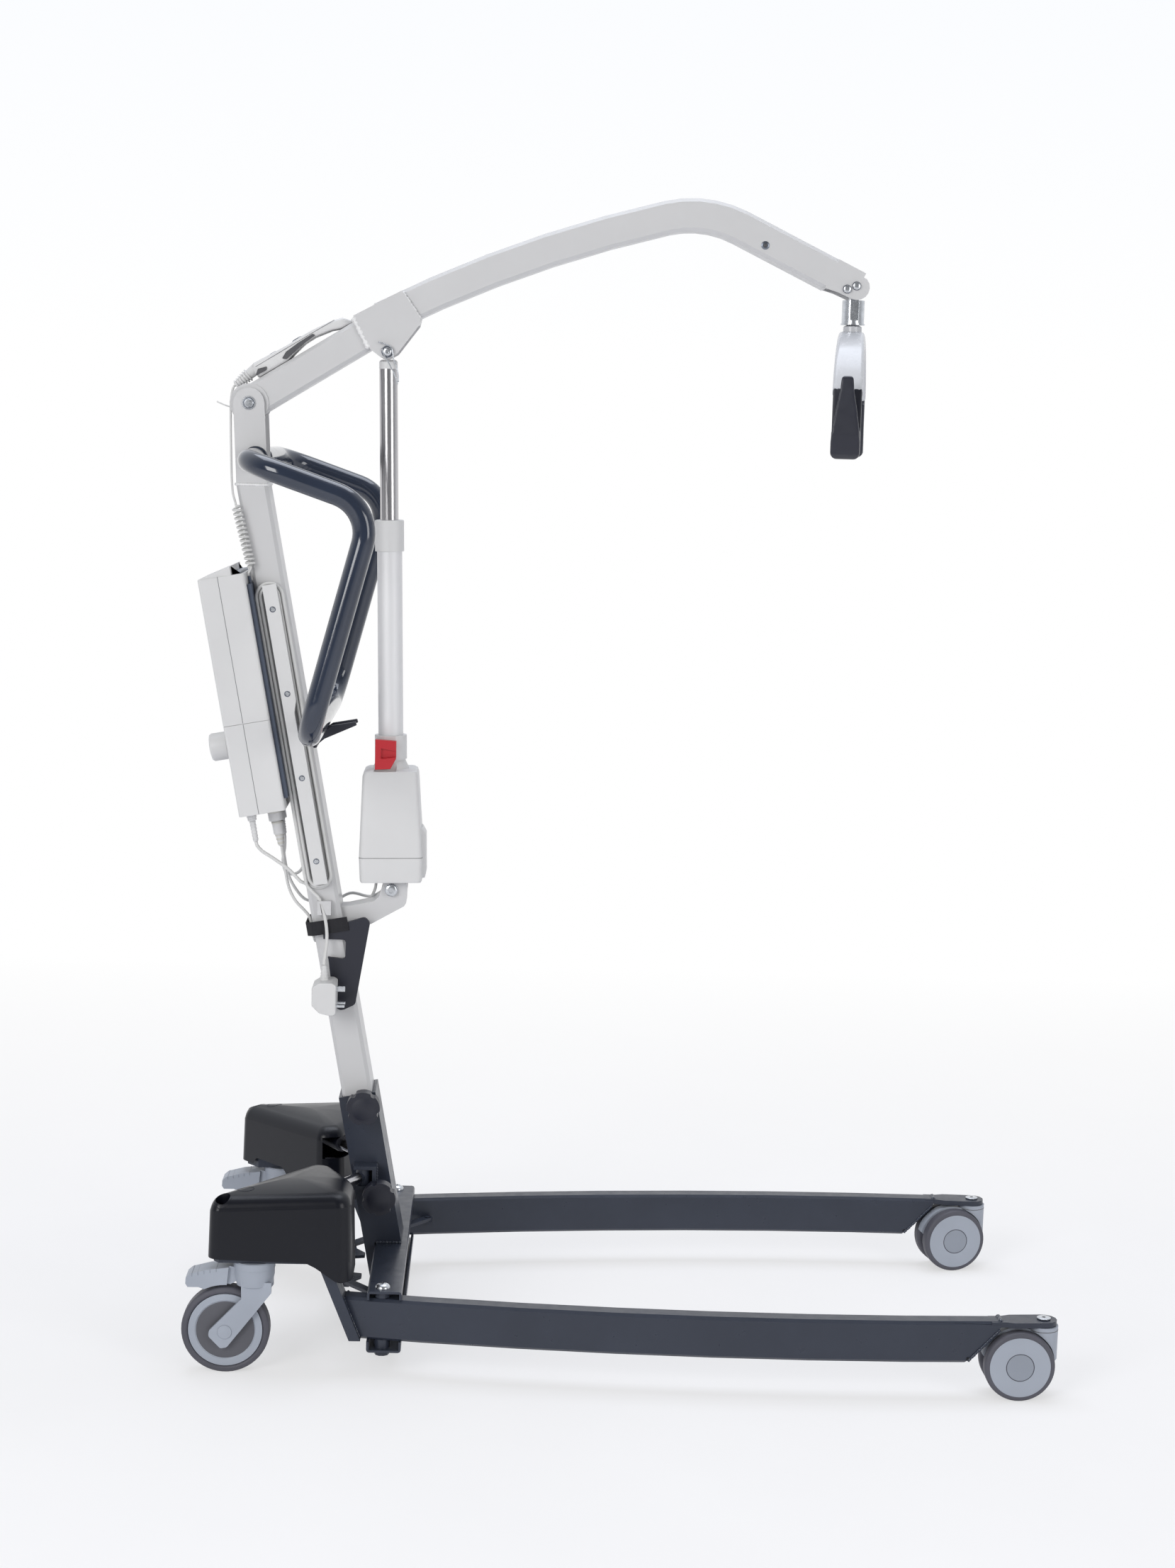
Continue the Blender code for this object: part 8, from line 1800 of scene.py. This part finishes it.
def seams():
    """Joint lines of the box, the battery and the actuator's housing."""
    forward = BOX_BACK + 0.43 * BOX_DEPTH
    for label, side in SIDES.items():
        y = side * (BOX_HALF_Y + 0.0001)
        for name, low, high, body in (("box", BOX_BOTTOM + 0.0005, BOX_SEAM - 0.001, "mast"),
                                      ("battery", BOX_SEAM + 0.001, BOX_TOP + 0.001, "battery")):
            line = [mast_point(along, forward, y) for along in (low, (low + high) / 2, high)]
            extra(f"{label}_{name}_seam", tube_mesh(line, 0.0004, 8), "seam_grey", body, 0)
    latch = prism(fillet(mast_outline([(BOX_TOP - 0.010, BOX_RECESS + 0.0006),
                                       (BOX_TOP + 0.0035, BOX_RECESS + 0.0006),
                                       (BOX_TOP + 0.0035, BOX_NEAR - 0.0068),
                                       (BOX_TOP - 0.010, BOX_NEAR - 0.0068)]),
                         0.002, 2), -BOX_HALF_Y + 0.0206, BOX_HALF_Y - 0.0206)
    extra("battery_latch", latch, "cap_grey_and_groove_shade", "battery", 0.0005)
    rings = [actuator_ring(0.0498, 0.0467, 0.0407, 0.007), actuator_ring(0.0505, 0.0467, 0.0407, 0.007)]
    extra("housing_seam", loft(rings), "seam_grey", "actuator", 0)


def tyre_profile(radius, inner, half, shoulder):
    """Ring section with rounded shoulders."""
    points = [(inner, -half)]
    for step in range(6):
        angle = math.radians(18 * step)
        points.append((radius - shoulder * (1 - math.sin(angle)),
                       -half + shoulder * (1 - math.cos(angle)) * 0.8))
    points += [(wide, -place) for wide, place in reversed(points)]
    return points


def front_wheel_profile(bore_depth):
    """One of the twin wheels with a rounded tread, from its inner face outwards."""
    bore = FRONT_AXLE_R + BORE_CLEARANCE
    inner, face = FRONT_WHEEL_SPLIT, FRONT_WHEEL_OUTER
    shoulder = FRONT_TREAD_SHOULDER
    high = FRONT_WHEEL_R - shoulder
    rise = [(high + shoulder * math.sin(math.radians(18 * step)),
             shoulder * (1 - math.cos(math.radians(18 * step))))
            for step in range(6)]
    return ([(bore, inner)] + [(wide, inner + place) for wide, place in rise]
            + [(wide, face - place) for wide, place in reversed(rise)]
            + [(0, face), (0, bore_depth), (bore, bore_depth)])


def cover_shape(side, wall):
    """The cover's outside, or its inside when a wall is given: a wide round shoulder and a crowned top."""
    top = COVER_TOP_REAR - wall - 0.0010
    rings = [cover_ring(side, 0, COVER_BASE - (0.01 if wall else 0), wall, 0),
             cover_ring(side, COVER_DRAFT * 0.8, top - COVER_SHOULDER, wall, COVER_SLOPE)]
    for step in range(1, 11):
        angle = math.radians(7.7 * step)
        inset = COVER_DRAFT + 0.0175 * (1 - math.cos(angle)) / (1 - math.cos(math.radians(77)))
        drop = COVER_SHOULDER * (1 - math.sin(angle) / math.sin(math.radians(77)))
        rings.append(cover_ring(side, inset, top - drop, wall, COVER_SLOPE))
    edge = rings[-1]
    middle = sum(edge, Vector()) / len(edge)
    for share in (0.88, 0.74, 0.58, 0.40, 0.22, 0.08):
        lift = Vector((0, 0, 0.0065 * (1 - share * share)))
        rings.append([middle + (point - middle) * share + lift for point in edge])
    return loft(rings)


def make_cover(name, side):
    """A hollow shell with a boss under its hole, a mouth for the strut and a notch for the pedal."""
    across = sided(side, 0.04, 0.30)
    below = fillet([(-0.26, 0.10), (-0.26, COVER_BOTTOM), (-0.108, COVER_BOTTOM - 0.004), (-0.094, 0.160),
                    (-0.0655, COVER_NOSE_BOTTOM + 0.002), (-0.058, COVER_NOSE_BOTTOM),
                    (-0.03, COVER_NOSE_BOTTOM + 0.002), (-0.03, 0.10)], [0, 0, 0.010, 0.008, 0.006, 0, 0, 0],
                   2)
    notch = fillet([(-0.232, 0.16), (-0.222, 0.1815), (-0.176, 0.1815), (-0.160, 0.16)], [0, 0.006, 0.006, 0],
                   2)
    low, high = STRUT_Z - STRUT_MOUTH, STRUT_Z + STRUT_MOUTH
    mouth = [(-0.0350, side * 0.070), (-0.0700, side * 0.128), (-0.1215, side * 0.128),
             (-0.1040, side * 0.070)]
    x, y = COVER_HOLE[0], side * COVER_HOLE[1]
    floor = ARM_DECK_TOP + GAP
    boss = rod((x, y, floor), (x, y, COVER_TOP_REAR + 0.004), COVER_HOLE_R + COVER_BOSS_WALL, 20)
    hole = rod((x, y, floor + 0.003), (x, y, COVER_TOP_REAR + 0.02), COVER_HOLE_R, 20)
    screw = rod((x, y, floor - 0.01), (x, y, floor + 0.01), 0.003, 12)
    cover = node(name, cover_shape(side, 0), "cover_black",
                 steps=[cut(cover_shape(side, COVER_WALL)), cut(prism(below, *across)),
                        cut(prism(notch, *sided(side, 0.10, 0.236))), cut(prism(mouth, low, high, "XY")),
                        join(boss), ("INTERSECT", cover_shape(side, -0.0002)), cut(hole), cut(screw)])
    badge(name, cover, side)


def badge(name, cover, side):
    """A bare oval outline on the cover's top."""
    surface = BVHTree.FromPolygons([cover.matrix_world @ vertex.co for vertex in cover.data.vertices],
                                   [polygon.vertices[:] for polygon in cover.data.polygons])
    middle = Vector((-0.196, side * 0.232, 0))
    points = []
    for part in range(33):
        angle = 2 * math.pi * part / 32
        spot = middle + Vector((0.0116 * math.cos(angle), 0.0074 * math.sin(angle), 0.4))
        hit = surface.ray_cast(spot + SHIFT, Vector((0, 0, -1)))[0]
        points.append(hit - SHIFT)
    bead(f"{name}_badge", points, 0.0005, "black", f"{name.split('_')[0]}_leg")


def make_hooks():
    """A moulded hook on each end of the bar: a narrow round tongue that widens down to a rounded foot."""
    half = HOOK_WIDTH / 2
    x = HANGER_PIVOT[0]
    end = spreader_point(*SPREADER_LINE[-1])
    inner, outer = HOOK_THROAT
    heading = end_heading(1)
    slope = -heading.y / heading.z
    seat = end.z - GAP / heading.y
    outline = [(end.y - 0.0155, seat - 0.0155 * slope), (end.y + 0.0110, seat + 0.0110 * slope),
               (inner, 1.3650),
               (inner, 1.3520), (inner + 0.006, 1.3430), (outer - 0.006, 1.3430), (outer, 1.3520),
               (outer - 0.003, 1.4100), (outer + 0.001, 1.4200), (outer + 0.006, 1.4180),
               (outer + 0.016, 1.3400), (outer + 0.012, 1.3140), (outer, HOOK_BOTTOM),
               (inner - 0.010, HOOK_BOTTOM), (inner - 0.024, 1.3200), (inner - 0.027, 1.3500)]
    outline = fillet(outline, [0, 0, 0.008, 0, 0.006, 0.006, 0, 0, 0.002, 0.004, 0.02, 0.01, 0.01, 0.01,
                               0.012, 0], 2)
    for label, side in SIDES.items():
        shape = [(side * reach, height) for reach, height in outline]
        steps = []
        for hand in (-1, 1):
            rim = [(0.0015 + 0.0070 * math.sin(math.radians(a)), 1.4135 + 0.0070 * math.cos(math.radians(a)))
                   for a in range(0, 91, 15)]
            wedge = [(-0.001, 1.4350), (-0.001, 1.4205), *rim, (0.0095, 1.4000), (0.0150, 1.3700),
                     (0.0186, 1.3450), (0.0200, 1.3300), (0.0350, 1.3300), (0.0350, 1.4350)]
            steps.append(cut(yawed(prism([(x + hand * reach, height) for reach, height in wedge],
                                         *sided(side, outer - 0.0045, outer + 0.03)))))
            foot = [(half - 0.0090 + 0.0092 * math.sin(math.radians(a)),
                     HOOK_BOTTOM + 0.0090 - 0.0092 * math.cos(math.radians(a)))
                    for a in range(0, 91, 15)]
            corner = [(half - 0.0090, HOOK_BOTTOM - 0.004), *foot, (half + 0.004, HOOK_BOTTOM + 0.0090),
                      (half + 0.004, HOOK_BOTTOM - 0.004)]
            steps.append(cut(yawed(prism([(x + hand * reach, height) for reach, height in corner],
                                         *sided(side, inner - 0.05, outer + 0.05)))))
        node(f"{label}_sling_hook", yawed(prism(shape, x - half, x + half, "YZ")), "black", steps=steps)


# Stage

def background(tree, colour, strength):
    node_ = tree.nodes.new("ShaderNodeBackground")
    node_.inputs["Color"].default_value = (*colour, 1.0)
    node_.inputs["Strength"].default_value = strength
    return node_


def make_world():
    """White to the camera; reflections see a bright side behind the lift and a dim room before it."""
    world = bpy.data.worlds.new("studio")
    bpy.context.scene.world = world
    world.use_nodes = True
    tree = world.node_tree
    tree.nodes.clear()
    output = tree.nodes.new("ShaderNodeOutputWorld")
    room = background(tree, (1.0, 1.0, 1.0), 0.42)
    seen = background(tree, (1.0, 1.0, 1.0), 1.0)
    mirrored = background(tree, (0.95, 0.97, 1.0), 1.0)
    place = tree.nodes.new("ShaderNodeTexCoord")
    parts = tree.nodes.new("ShaderNodeSeparateXYZ")
    link(tree, place.outputs["Generated"], parts.inputs["Vector"])
    link(tree, spread_of(tree, parts.outputs["Y"], 0.24, 1.0, -0.55, 0.25), mirrored.inputs["Strength"])
    path = tree.nodes.new("ShaderNodeLightPath")
    first = tree.nodes.new("ShaderNodeMixShader")
    link(tree, path.outputs["Is Glossy Ray"], first.inputs[0])
    link(tree, room.outputs[0], first.inputs[1])
    link(tree, mirrored.outputs[0], first.inputs[2])
    second = tree.nodes.new("ShaderNodeMixShader")
    link(tree, largest(tree, path.outputs["Is Camera Ray"], path.outputs["Is Transmission Ray"]),
         second.inputs[0])
    link(tree, first.outputs[0], second.inputs[1])
    link(tree, seen.outputs[0], second.inputs[2])
    link(tree, second.outputs[0], output.inputs["Surface"])


def largest(tree, first, second):
    pick = tree.nodes.new("ShaderNodeMath")
    pick.operation = "MAXIMUM"
    link(tree, first, pick.inputs[0])
    link(tree, second, pick.inputs[1])
    return pick.outputs["Value"]


FLOOR_FRONT = -9.0
FLOOR_HALF_WIDTH = 12.0
SWEEP_START = 4.0            # the floor is flat up to here, then it curves up
SWEEP_R = 3.0
WALL_TOP = 9.0


def make_floor():
    """A pale floor that sweeps up into a backdrop."""
    profile = [(FLOOR_FRONT, 0.0), (SWEEP_START, 0.0)]
    profile += [(SWEEP_START + SWEEP_R * math.sin(math.radians(angle)),
                 SWEEP_R - SWEEP_R * math.cos(math.radians(angle))) for angle in range(6, 91, 6)]
    profile.append((SWEEP_START + SWEEP_R, WALL_TOP))
    mesh = bpy.data.meshes.new("floor")
    points = [(x, y, z) for x in (-FLOOR_HALF_WIDTH, FLOOR_HALF_WIDTH) for y, z in profile]
    count = len(profile)
    mesh.from_pydata(points, [], [(i, i + 1, count + i + 1, count + i) for i in range(count - 1)])
    mesh.shade_smooth()
    floor = bpy.data.objects.new("floor", mesh)
    bpy.context.collection.objects.link(floor)
    material = bpy.data.materials.new("floor")
    material.use_nodes = True
    tree = material.node_tree
    shader = tree.nodes["Principled BSDF"]
    shader.inputs["Roughness"].default_value = 0.7
    shader.inputs["Specular IOR Level"].default_value = 0.2
    place = tree.nodes.new("ShaderNodeTexCoord")
    patches = spread_of(tree, noise(tree, place.outputs["Object"], 3), 0, 1)
    tone = mixed(tree, patches, (0.85, 0.85, 0.88), (0.88, 0.88, 0.91))
    link(tree, tone, shader.inputs["Base Color"])
    glow = tree.nodes.new("ShaderNodeEmission")
    glow.inputs["Strength"].default_value = 1.0
    parts = tree.nodes.new("ShaderNodeSeparateXYZ")
    link(tree, place.outputs["Object"], parts.inputs["Vector"])
    height = spread_of(tree, parts.outputs["Z"], 0, 1, 1.6, 4.5)
    link(tree, mixed(tree, height, (1.0, 1.0, 1.0), (0.93, 0.957, 1.0)), glow.inputs["Color"])
    path = tree.nodes.new("ShaderNodeLightPath")
    seen = largest(tree, path.outputs["Is Camera Ray"], path.outputs["Is Glossy Ray"])
    share = tree.nodes.new("ShaderNodeMath")
    share.operation = "MULTIPLY"
    link(tree, seen, share.inputs[0])
    link(tree, spread_of(tree, parts.outputs["Y"], 0.56, 1.0, 0.3, 2.6), share.inputs[1])
    mix = tree.nodes.new("ShaderNodeMixShader")
    link(tree, share.outputs["Value"], mix.inputs[0])
    link(tree, shader.outputs[0], mix.inputs[1])
    link(tree, glow.outputs[0], mix.inputs[2])
    link(tree, mix.outputs[0], tree.nodes["Material Output"].inputs["Surface"])
    mesh.materials.append(material)


def make_lamp(name, place, target, size, power, colour=(1.0, 1.0, 1.0)):
    data = bpy.data.lights.new(name, "AREA")
    data.shape = "RECTANGLE"
    data.size, data.size_y = size
    data.energy = power
    data.color = colour
    lamp = bpy.data.objects.new(name, data)
    bpy.context.collection.objects.link(lamp)
    lamp.location = place
    lamp.rotation_mode = "QUATERNION"
    lamp.rotation_quaternion = (Vector(target) - Vector(place)).to_track_quat("-Z", "Y")


def make_stage():
    make_world()
    make_floor()
    make_lamp("key", (-3.0, -4.4, 2.6), (0, 0, 0.8), (2.2, 2.6), 130)
    make_lamp("fill", (3.4, -3.8, 1.8), (0, 0, 0.8), (1.8, 2.4), 60)
    make_lamp("top", (0.0, 0.8, 4.4), (0, 0, 0.5), (3.4, 2.4), 80, (0.84, 0.89, 1.0))


cords()
base_pieces()
mast_pieces()
actuator_pieces()
boom_pieces()
make_stage()
bpy.context.scene.view_settings.view_transform = "Standard"
